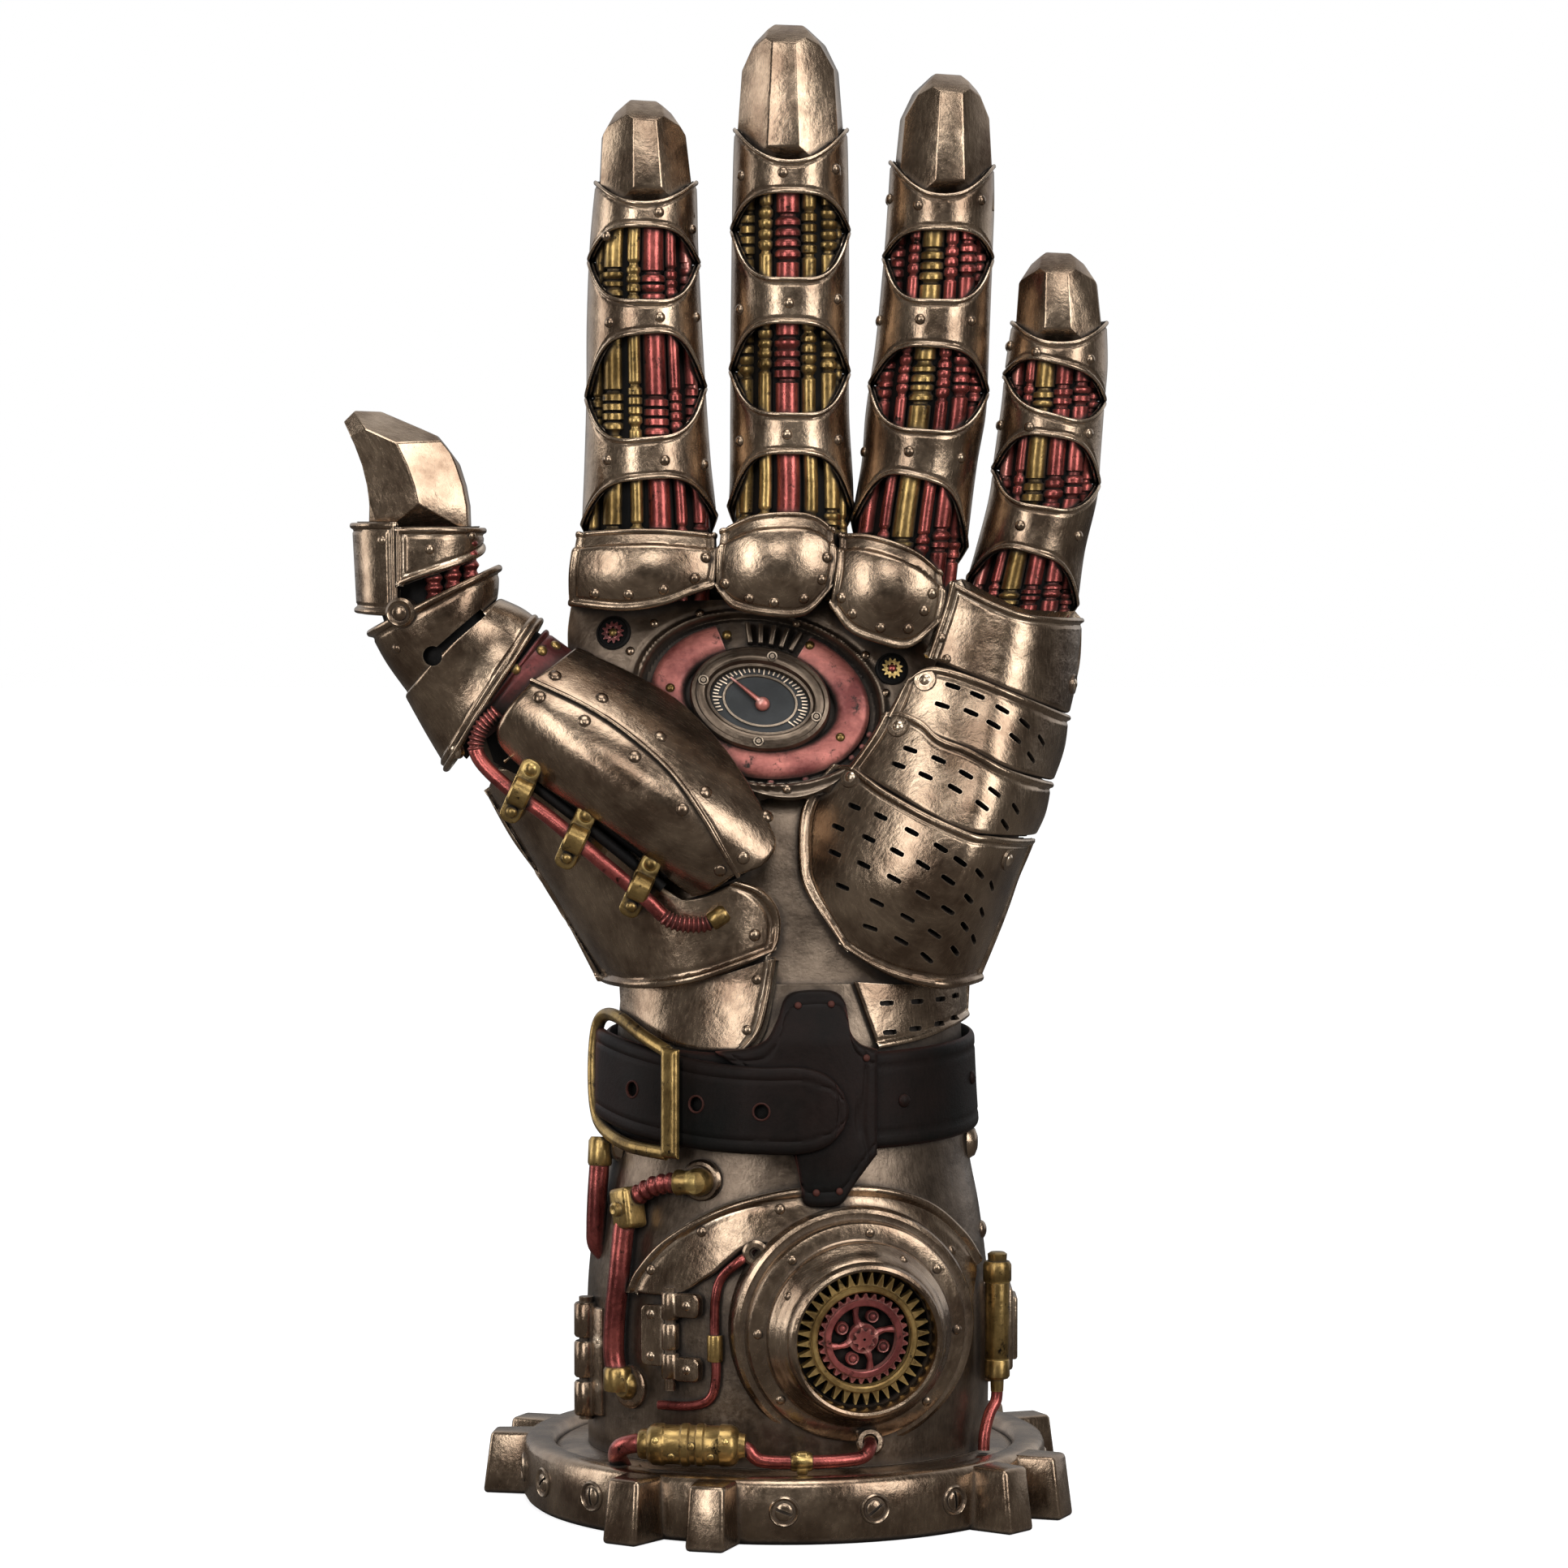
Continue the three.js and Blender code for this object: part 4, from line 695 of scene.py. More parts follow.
bm = gridMesh(96, 80, armPlace, around=True, easeUp=0.0)
fillHoles(bm)
finishPiece(bm, "forearmShell", greyBronze, replaced="forearm")
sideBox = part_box("forearm")[1].x / mm
bm = blockMesh((3.2, 12, 17), (sideBox - 2.4, -2, 35.5), (0, 0, 1), bevel=0.8)
merge(bm, blockMesh((2.2, 9, 13), (sideBox - 0.9, -2, 35.5), (0, 0, 1), bevel=0.6))
merge(bm, blockMesh((9, 13.5, 21), (sideBox - 7, -1, 35), (0, 0, 1), bevel=1.4))
finishPiece(bm, "sideBox", bronze)
bm = bmesh.new()
for low, high in ((18.4, 25.4), (26.2, 33.6), (34.4, 41.4)):
    merge(bm, turnedMesh([(0.01, 0), (2.2, 0), (2.5, 0.4), (2.5, high - low - 0.4), (2.2, high - low),
                          (0.01, high - low)], (-40.2, -10, low), steps=20))
merge(bm, turnedMesh([(0.01, 0), (1.5, 0), (1.5, 25), (0.01, 25)], (-40.2, -10, 17.6), steps=16))
merge(bm, blockMesh((5, 2.4, 22), (-37.5, -12.4, 29.8), (0, 0, 1), spin=-55))
addRivets(bm, [(onArm(x, z), armNormal(x, z)) for x, z in ((-37.2, 34), (-37.2, 25))], radius=1.7)
finishPiece(bm, "sideHinge", bronze)

cuffGuard = between({
    "top": [(-31.5, 45.5), (-29.5, 50), (-24, 56.5), (-14.5, 62.6), (-5, 66), (6, 67.8), (19, 67.4), (29, 63.8),
            (36, 57.3), (39.5, 51.5)],
    "right": [(39.5, 51.5), (37.5, 40)],
    "bottom": [(-20.5, 46.2), (-13.6, 50.8), (-7, 56), (0, 56), (8, 52), (15, 50), (24, 49), (31, 46), (37.5, 40)],
    "left": [(-31.5, 45.5), (-26, 45.4), (-20.5, 46.2)],
}, lambda x, z: armFront(x, z, 1.9))
guardPlace = dressed(cuffGuard, {"top": lip(1.7, 0.9), "bottom": softEdge(0.9, 0.9), "left": softEdge(0.8, 0.8)})
finishPiece(gridMesh(110, 26, guardPlace, wall=2.4), "cuffGuard", bronze, replaced="cuff_guard")
rivets("guardRivets", cuffGuard, [(-0.8, 63.4), (-16.4, 58.6), (-26.6, 50.4), (33.6, 53.6)], radius=1.1)

wristLeft = between({
    "top": [(-33.6, 108), (-18, 108), (-1.6, 113)],
    "right": [(-1.6, 113), (-3, 104.5), (-4.6, 98.5), (-8, 94.2)],
    "bottom": [(-33, 98.4), (-26, 96), (-18, 94.4), (-8, 94.2)],
    "left": [(-33.6, 108), (-33, 98.4)],
}, lambda x, z: armFront(x, z, 1.7))
wristEdge = {"right": lip(1.3, 0.6), "bottom": softEdge(0.9, 0.9)}
finishPiece(gridMesh(60, 36, dressed(wristLeft, wristEdge), wall=2.2), "wristPlateLeft", bronze,
            replaced="wrist_plate_left")
rivets("wristRivets", wristLeft, [(-5.4, 108.6), (-7.4, 98.6)], radius=1.05)

strap = {"middle": 86.5, "half": 9.6, "sag": 2.2, "lift": 2.7}


def strapPlace(s, t):
    angle = 2 * pi * s
    z = strap["middle"] - strap["sag"] * cos(angle) + (2 * t - 1) * strap["half"]
    lift = strap["lift"]
    return Vector((rowAt(armRows, z, 1) + (rowAt(armRows, z, 2) + lift) * sin(angle),
                   -(rowAt(armRows, z, 3) + lift) * cos(angle), z))


strapPlace.closed = True


def stitchedEdge(distance):
    # A rounded leather edge with a creased line just inside it.
    if 2.4 < distance < 3.2:
        return -0.22 * sin(pi * (distance - 2.4) / 0.8)
    return softEdge(1.4, 1.0)(distance)


leatherEdges = {"top": stitchedEdge, "bottom": stitchedEdge}
bm = gridMesh(132, 30, dressed(strapPlace, leatherEdges), around=True, wall=2.6)
finishPiece(bm, "strapBand", leather, "leather", "strap")

tabOutline = {
    "top": [(-14, 94.4), (-5, 96), (-1.4, 101), (0, 105), (3, 106.4), (9.6, 106.4), (12.2, 104.4), (13.2, 99),
            (15.4, 96), (19, 94.6)],
    "right": [(19, 94.6), (19, 85), (18.8, 74)],
    "bottom": [(2.4, 74.6), (3.4, 68), (4.2, 64.6), (8, 64), (11.6, 64.6), (14.4, 68.4), (18.8, 74)],
    "left": [(-14, 94.4), (-6, 88), (2.4, 74.6)],
}
tabFront = between(tabOutline, lambda x, z: armFront(x, z, 4.6 - 2.4 * clamp((z - 97) / 8, 0, 1)
                                                     - 0.8 * clamp((74 - z) / 8, 0, 1)))
allLeatherEdges = dict.fromkeys(sides, stitchedEdge)
finishPiece(plate((60, 50), tabFront, allLeatherEdges, 2.2), "leatherTab", leather, "leather",
            "leather_tab")
rivets("tabRivets", tabFront, [(2.8, 103.6), (9.4, 103.8), (16.4, 93.2), (6.4, 66.8), (11, 67)], radius=0.75,
       material=leather, slot="leather")

tongueOutline = {
    "top": [(-38.4, 97), (-30, 95), (-17, 92.6), (-5, 91.8), (3.4, 91.8), (9, 90), (12, 86.6)],
    "right": [(12, 86.6), (13.2, 83), (12, 79.4)],
    "bottom": [(-38.4, 79.2), (-30, 76.8), (-17, 75), (-5, 74.6), (3.4, 74.6), (9, 76.2), (12, 79.4)],
    "left": [(-38.4, 97), (-38.4, 79.2)],
}
tongue = between(tongueOutline, lambda x, z: armFront(x, z, 4.7 + 1.7 * clamp((x + 20) / 12, 0, 1)))
tongueEdges = {side: stitchedEdge for side in sides[:3]}
tonguePiece = finishPiece(plate((110, 34), tongue, tongueEdges, 2.4), "strapTongue", leather,
                          "leather", "strap_tongue")
bm, rings, holes = bmesh.new(), bmesh.new(), bmesh.new()
for x, z in ((-30.5, 86), (-17.5, 84), (-4.5, 83)):
    spot, normal = touch(tongue, x, z)
    merge(holes, turnedMesh([(0.01, -1.6), (1.5, -1.6), (1.5, 1.5), (0.01, 1.5)], spot, normal, steps=24))
    merge(bm, turnedMesh([(0.01, -1.8), (1.8, -1.8), (1.8, -1.45), (0.01, -1.45)], spot, normal, steps=20))
    merge(rings, turnedMesh([(1.45, -0.3), (1.47, 0.1), (1.66, 0.22), (1.85, 0.1), (1.95, -0.3)], spot, normal,
                            steps=20))
cutAway(tonguePiece, holes)
# Near-black discs deep in the holes: painted shadow.
finishPiece(bm, "strapHoles", shadowBlack, "leather")
finishPiece(rings, "strapHoleRims", leather, "leather")
rivets("strapRivets", strapPlace, [(24, 84.2), (38.2, 87)], radius=1.4, sRange=(0.0, 0.25), material=leather,
       slot="leather")

# The buckle is a frame of two arms whose bar lies over the tongue.
buckleRoute = [(-23.4, 94.2, 5.4), (-28.4, 96.8, 4.0), (-33.2, 99.6, 3.0), (-36.4, 99.6, 3.4), (-38.2, 96.4, 4.0),
               (-38.8, 88, 4.4), (-38.2, 80.4, 4.0), (-36.2, 76.8, 3.6), (-31, 74.6, 4.2), (-23.4, 73.9, 5.4)]
bm = tubeMesh([onArm(x, z, lift) for x, z, lift in buckleRoute], 1.35, sides=14, steps=110, flat=0.8)
barFront = between({"top": [(-25, 95.4), (-21.4, 94.8)], "right": [(-21.4, 94.8), (-21.4, 73.2)],
                    "bottom": [(-25, 73.4), (-21.4, 73.2)], "left": [(-25, 95.4), (-25, 73.4)]},
                   lambda x, z: armFront(x, z, 7.3))
merge(bm, gridMesh(12, 40, dressed(barFront, dict.fromkeys(sides, softEdge(1.2, 1.2))), wall=2.2))
finishPiece(bm, "buckleFrame", goldPaint, "gold_paint", "buckle")
print("strap made")

portholeTurn = radians(12)
portholeWay = Vector((sin(portholeTurn), -cos(portholeTurn), -0.07)).normalized()
portholeSpot = Vector((13.4, -29, 39.4))
housing = [(0.01, -9), (24.7, -9), (24.7, 2.0), (24.3, 2.9), (23.6, 3.3), (22.9, 3.2), (22.4, 3.3), (22.2, 3.8),
           (22.2, 5.0), (21.9, 5.7), (21.2, 6.0), (19.0, 6.2), (18.7, 6.5), (18.7, 7.8), (18.4, 8.6), (17.6, 9.4),
           (16.9, 11.0), (16.2, 12.6), (15.8, 13.0), (15.7, 13.7), (15.3, 14.4), (14.7, 14.7), (14.2, 14.5),
           (13.9, 13.8), (13.7, 9.1), (0.01, 9.0)]
finishPiece(turnedMesh(housing, portholeSpot, portholeWay, steps=144), "portholeHousing", bronze,
            replaced="porthole_housing", smooth=32)


def onPorthole(radius, angle, height):
    turn = facing(portholeSpot, portholeWay)
    return turn @ Vector((radius * cos(angle), radius * sin(angle), height))


bm = bmesh.new()
for turn in (84, 38, 0, -45, -88, -140, 179, 132):
    addRivets(bm, [(onPorthole(20.2, radians(turn), 6.0), portholeWay)], radius=1.05)
for turn in (150, 62):
    addRivets(bm, [(onPorthole(17.4, radians(turn), 9.9),
                    (portholeWay + 0.7 * (onPorthole(1, radians(turn), 0) - portholeSpot)).normalized())], radius=0.9)
finishPiece(bm, "portholeRivets", bronze)


def gearMesh(teeth, root, tip, inner, depth, height, width=(0.22, 0.42)):
    # A toothed ring: the outer loop steps out at each tooth, bridged to a round inner loop.
    bm = bmesh.new()
    count = teeth * 4
    for radii in ((root, tip), (inner, inner)):
        ring = bmesh.ops.create_circle(bm, segments=count, radius=inner)["verts"]
        for index, vert in enumerate(sorted(ring, key=lambda vert: atan2(vert.co.y, vert.co.x))):
            tooth, phase = divmod(index, 4)
            angle = 2 * pi * (tooth + (0.0, width[0], width[1], 0.72)[phase]) / teeth
            radius = radii[phase in (1, 2)]
            vert.co = (radius * cos(angle), radius * sin(angle), 0)
    bmesh.ops.bridge_loops(bm, edges=bm.edges[:])
    faceOut(bm)
    if sum(face.normal.z for face in bm.faces) < 0:
        bmesh.ops.reverse_faces(bm, faces=bm.faces)
    shifted(bm, (0, 0, height + depth))
    bmesh.ops.solidify(bm, geom=bm.faces[:], thickness=depth)
    return bm


def setInPorthole(bm):
    return placed(shifted(bm, (0, 0, -1.4)), facing(portholeSpot, portholeWay))


bm = gearMesh(36, 10.9, 13.3, 9.5, 2.1, 10.6, width=(0.30, 0.42))
merge(bm, turnedMesh([(9.5, 11), (9.5, 13.4), (9.8, 13.7), (10.5, 13.7), (10.8, 13.4), (10.8, 11)], steps=96))
finishPiece(setInPorthole(bm), "portholeRingGear", gearGold, "gold_paint", "porthole_ring_gear")
bm = gearMesh(30, 8.1, 9.1, 6.6, 1.9, 10.6)
merge(bm, turnedMesh([(6.6, 11), (6.6, 12.9), (6.8, 13.1), (7.7, 13.1), (7.9, 12.9), (7.9, 11)], steps=72))
merge(bm, gearMesh(8, 1.6, 2.3, 0.3, 2.6, 10.8))
merge(bm, turnedMesh([(0.01, 10.6), (3.0, 10.6), (3.0, 12.4), (0.01, 12.4)]))
for quarter in range(4):
    angle = pi / 2 * quarter + 0.35
    route = [(radius * cos(angle + bend), radius * sin(angle + bend), 11.7)
             for radius, bend in ((2.4, -0.1), (4.2, 0.0), (6.9, -0.12))]
    path = smoothPath(route, 40)
    spoke = gridMesh(8, 12, lambda s, t, path=path: pathAt(path, t) + Vector(
        (-sin(angle), cos(angle), 0)) * (0.55 + 0.35 * abs(2 * t - 1)) * cos(2 * pi * s) + Vector(
        (0, 0, 1)) * 0.8 * sin(2 * pi * s), around=True, easeUp=0)
    faceOut(spoke)
    merge(bm, spoke)
    middle = angle + pi / 4
    merge(bm, turnedMesh([(0.01, 10.5), (1.35, 10.5), (1.35, 11.6), (1.1, 12.0), (0.75, 11.7), (0.5, 12.1),
                          (0.01, 12.2)], (4.6 * cos(middle), 4.6 * sin(middle), 0), steps=20))
finishPiece(setInPorthole(bm), "portholeGear", gearRed, "red_paint", "porthole_gear")
# A near-black floor under the gears: painted shadow in the porthole.
bm = turnedMesh([(0.01, 10.5), (13.6, 10.5), (13.6, 10.72), (0.01, 10.72)], steps=64)
finishPiece(setInPorthole(bm), "portholeFloor", shadowBlack)
print("porthole made")


def ribbed(radius, count, depth=0.12, low=0.0, high=1.0):
    # A hose radius with ribs between two places along it.
    def size(t):
        if low < t < high:
            return radius * (1 + depth * sin(2 * pi * count * (t - low) / (high - low)))
        return radius
    return size


armHose = [onArm(x, z, 2.9) for x, z in ((-31.8, 61), (-32.4, 56), (-33.2, 48), (-34, 40), (-34.2, 33),
                                          (-33.4, 28))]
bm = tubeMesh(armHose, 2.15, sides=18, steps=90)
merge(bm, tubeMesh([onArm(x, z, 3.0) for x, z in ((-18.6, 68.2), (-22, 68), (-26, 67), (-30, 64.4))],
                   ribbed(1.9, 7), sides=18, steps=90))
finishPiece(bm, "armHose", redPaint, "red_paint", "arm_hose")
bm = turnedOnArm([(0.01, 0), (4.2, 0), (4.3, 0.8), (3.8, 1.4), (3.2, 1.5), (3.0, 2.2), (0.01, 2.2)],
                 -16.2, 68.4, -0.2, steps=32)
finishPiece(bm, "armHoseFlange", bronze)
bm = turnedOnArm([(0.01, 0), (2.6, 0), (2.8, 0.6), (2.8, 2.6), (2.2, 3.6), (0.01, 3.9)], -16.4, 68.4, 1.2)
reachLeft = (onArm(-21.6, 68, 3.0) - onArm(-17.4, 68.2, 3.0))
merge(bm, turnedMesh([(0.01, 0), (2.3, 0), (2.4, 1), (2.4, 3.6), (2.6, 4.0), (2.6, 5.0), (0.01, 5.0)],
                     onArm(-16.8, 68.3, 3.0), reachLeft, steps=24))
elbow = onArm(-31.3, 62.2, 3.0)
merge(bm, blockMesh((5.6, 8.4, 5.2), elbow, armNormal(-31.3, 62.2), spin=12, bevel=1.0))
merge(bm, turnedMesh([(0.01, 0), (1.5, 0), (1.4, 1.2), (0.9, 1.5), (0.01, 1.3)], elbow
                     + armNormal(-31.3, 62.2) * 2.4, armNormal(-31.3, 62.2), steps=20))
merge(bm, turnedMesh([(0.01, 0), (2.7, 0), (2.9, 0.5), (2.9, 4.2), (2.5, 4.8), (0.01, 4.8)],
                     onArm(-33.4, 25.6, 3.0), steps=24))
merge(bm, turnedOnArm([(0.01, 0), (2.9, 0), (2.9, 1.2), (2.2, 2.2), (0.01, 2.4)], -31.2, 26.6, 1.0))
finishPiece(bm, "armHoseFittings", goldPaint, "gold_paint")
bm = turnedOnArm([(0.01, 0), (4.4, 0), (4.4, 1.0), (3.7, 1.5), (0.01, 1.5)], -30.4, 26.2, -0.2, steps=32)
finishPiece(bm, "armHoseFoot", bronze)
bm = tubeMesh([(-37.2, -10, 74), (-37.5, -10.6, 69), (-37.9, -11, 63), (-38.1, -11, 57), (-37.9, -10.4, 53.4),
               (-36, -9, 51)], 2.05, sides=16, steps=70)
finishPiece(bm, "sideHose", redPaint, "red_paint", "side_hose")
bm = turnedMesh([(0.01, 0), (2.3, 0), (2.5, 0.6), (2.5, 5), (2, 5.8), (0.01, 5.8)], (-37.4, -10.6, 69.4),
                (0.04, 0.1, 1), steps=24)
finishPiece(bm, "sideHoseCap", goldPaint, "gold_paint")

cuffPipe = [onArm(x, z, 1.0) for x, z in ((-6, 54.5), (-9, 53), (-12.4, 49.6), (-13.6, 45.5), (-13.8, 39),
                                          (-13.5, 30.5), (-14.6, 25.6), (-18.4, 23.8), (-25, 23.4))]
cuffPipe[0] += Vector((0, 1.4, 0))
cuffPipe[1] += Vector((0, -1.2, 0))
finishPiece(tubeMesh(cuffPipe, 0.95, sides=14, steps=110), "cuffPipe", redPaint, "red_paint", "cuff_pipe")
bm = turnedMesh([(0.01, 0), (1.5, 0), (1.6, 0.3), (1.6, 4.9), (1.5, 5.2), (0.01, 5.2)], onArm(-13.7, 33, 1.0),
                steps=20)
finishPiece(bm, "cuffPipeCollar", goldPaint, "gold_paint")
bm = turnedOnArm([(0.8, 0), (2.5, 0), (2.6, 0.5), (2.1, 0.9), (1.3, 0.9), (1.1, 0.2)], -5.6, 54.8, 1.9, steps=28)
finishPiece(bm, "cuffPipeGrommet", bronze)

hingeWay = armNormal(-22.2, 37.5)
hingeSpot = onArm(-22.2, 37.5, 0.6)
hingeTurn = facing(hingeSpot, hingeWay)


def onHinge(x, z, lift=0.0):
    return hingeTurn @ Vector((x, z, lift))


bm = bmesh.new()
for x, z, width, height in ((-3.6, 0, 5.6, 12.2), (3.9, 6.4, 5.8, 4.8), (3.9, -6.4, 5.8, 4.8)):
    merge(bm, blockMesh((width, height, 2.4), onHinge(x, z, 0.7), hingeWay, bevel=0.4, corner=1.3))
for low, high in ((-8.4, -3.4), (-2.6, 2.6), (3.4, 8.8)):
    merge(bm, turnedMesh([(0.01, 0), (1.6, 0), (1.8, 0.3), (1.8, high - low - 0.3), (1.6, high - low),
                          (0.01, high - low)], onHinge(0, low, 1.0), steps=20))
merge(bm, turnedMesh([(0.01, 0), (1.15, 0), (1.15, 20.6), (0.01, 20.6)], onHinge(0, -10.8, 1.0), (0, 0, 1),
                     steps=16))
addRivets(bm, [(onHinge(x, z, 1.9), hingeWay) for x, z in ((-4, 4.2), (-4, -4.2), (4.2, 6.4), (4.2, -6.4))],
          radius=1.0)
finishPiece(bm, "cuffHinge", bronze, replaced="cuff_hinge")

sideFoot = Vector((43.2, -13.5, 0))


def sideTurned(profile, low):
    return turnedMesh(profile, sideFoot + Vector((0, 0, low)), steps=28)


bm = sideTurned([(0.01, 0), (2.4, 0), (2.5, 0.4), (2.5, 16.2), (2.4, 16.6), (0.01, 16.6)], 30.2)
merge(bm, sideTurned([(0.01, 0), (2.6, 0), (2.9, 0.4), (2.9, 3.6), (2.5, 4.3), (0.01, 4.3)], 46))
merge(bm, sideTurned([(0.01, 0), (1.9, 0), (2.0, 1.6), (1.4, 2.0), (0.01, 2.0)], 50.2))
merge(bm, sideTurned([(0.01, 0), (2.2, 0), (2.6, 0.5), (2.6, 3.6), (2.2, 4.2), (0.01, 4.2)], 26.4))
merge(bm, sideTurned([(0.01, 0), (1.3, 0), (1.4, 3), (0.01, 3)], 23.8))
finishPiece(bm, "sideCylinder", goldPaint, "gold_paint", "side_cylinder")
bm = tubeMesh([(43.2, -13.5, 25), (43.0, -13.8, 22), (41.6, -15, 19.4), (40.6, -16, 15.5), (40.4, -16.4, 12.2)],
              1.2, sides=14, steps=50)
finishPiece(bm, "sidePipe", redPaint, "red_paint")
rivetWay = armNormal(40.6, 55.5)
bm = bmesh.new()
addRivets(bm, [(onArm(40.2, 55.4, -0.2), rivetWay)], radius=2.0)
for x, z in ((-33.2, 73.6), (37.2, 73.4)):
    merge(bm, turnedOnArm([(0.01, 0), (2.6, 0), (2.8, 0.6), (2.2, 1.8), (1.2, 2.3), (0.01, 2.4)], x, z, -0.2,
                          steps=28, oval=1.25))
finishPiece(bm, "sideKnobs", bronze)

tankFrom, tankTo = Vector((-26.8, -42.6, 18.2)), Vector((-9, -44.6, 18.2))
tankWay = (tankTo - tankFrom).normalized()
tankProfile = [(0.01, -1.8), (2.6, -1.8), (3.0, -1.2), (3.1, 0), (3.6, 0.4), (4.1, 1.2), (4.2, 3.2), (3.9, 3.6),
               (3.9, 6.6), (4.25, 7.0), (4.25, 8.2), (3.9, 8.6), (3.9, 9.6), (4.25, 10.0), (4.25, 11.2), (3.9, 11.6),
               (3.9, 14.2), (4.2, 14.6), (4.1, 16.6), (3.6, 17.6), (2.6, 18.2), (2.3, 19.4), (0.01, 19.6)]
bm = turnedMesh(tankProfile, tankFrom, tankWay, steps=40)
forward = Vector((-tankWay.y, tankWay.x, 0)) * -1
for along, up in ((9.1, 0.4), (2.0, 1.4), (15.8, 1.4), (5.1, -1.8), (12.9, -1.8)):
    way = (forward * sqrt(1 - (up / 4.1) ** 2) + Vector((0, 0, up / 4.1))).normalized()
    addRivets(bm, [(tankFrom + tankWay * along + way * 4.0, way)], radius=0.75)
collar = Vector((3.4, -44.0, 14.9))
merge(bm, turnedMesh([(0.01, -2.1), (1.7, -2.1), (1.9, -1.6), (1.9, 1.6), (1.7, 2.1), (0.01, 2.1)], collar,
                     (1, 0.09, 0), steps=24))
merge(bm, blockMesh((2.2, 2.2, 4.6), collar + Vector((0.2, -0.4, -0.2)), (0, 0, 1), bevel=0.5))
finishPiece(bm, "baseTank", goldPaint, "gold_paint", "base_pipe")
bm = tubeMesh([(-26.6, -42.6, 18.4), (-29.4, -42, 18.2), (-32.2, -40, 17), (-33, -36.6, 14.6), (-32.2, -33.4, 12)],
              1.9, sides=16, steps=50)
merge(bm, tubeMesh([(-9.6, -44.4, 18.0), (-7.2, -44.7, 17.6), (-5.6, -44.8, 15.8), (-3, -44.7, 15), (4, -44, 14.8),
                    (11.5, -42.2, 14.8), (15.6, -40.2, 15.2), (17, -38.2, 16.6), (17, -36, 17.2)], 1.35, sides=14,
                   steps=90))
finishPiece(bm, "basePipes", redPaint, "red_paint")
bm = turnedMesh([(1.4, 0), (2.6, 0), (2.8, 0.5), (2.4, 1.2), (1.6, 1.2), (1.4, 0.4)], (17, -35.4, 17.2),
                (0.1, -0.9, 0.3), steps=28)
merge(bm, turnedMesh([(0.01, 0), (3.6, 0), (3.7, 0.5), (3.2, 1.0), (0.01, 1.0)], (-32, -33, 11.4), (0, 0, 1),
                     steps=32))
finishPiece(bm, "basePipeGrommets", bronze)
print("pipes made")

palmRows = [  # height, left, right, front, back, and how far the row's right end is lowered
    [104, -32.5, 35.5, -25, 25, 0],
    [115, -38, 39, -22.5, 24, 0],
    [127, -46, 44, -20.5, 22, 0],
    [140, -53, 50, -17.5, 21, 0],
    [151, -50, 54, -13.5, 20, 0],
    [163, -45, 56.5, -10, 19, 1],
    [175, -41.5, 57.5, -8.5, 18, 4],
    [193, -41.5, 58, -8, 14, 13],
]


def palmPlace(s, t):
    at = palmRows[0][0] + t * (palmRows[-1][0] - palmRows[0][0])
    left, right, front, back, drop = (rowAt(palmRows, at, column) for column in (1, 2, 3, 4, 5))
    angle = 2 * pi * s
    across, ahead = signedPower(sin(angle), 0.8), signedPower(cos(angle), 0.8)
    return Vector(((left + right) / 2 + across * (right - left) / 2, (front + back) / 2 - ahead * (back - front) / 2,
                   at - drop * (across + 1) / 2))


bm = gridMesh(96, 60, palmPlace, around=True, easeUp=0.0)
fillHoles(bm)
finishPiece(bm, "palmBody", greyBronze, replaced="hand_core")

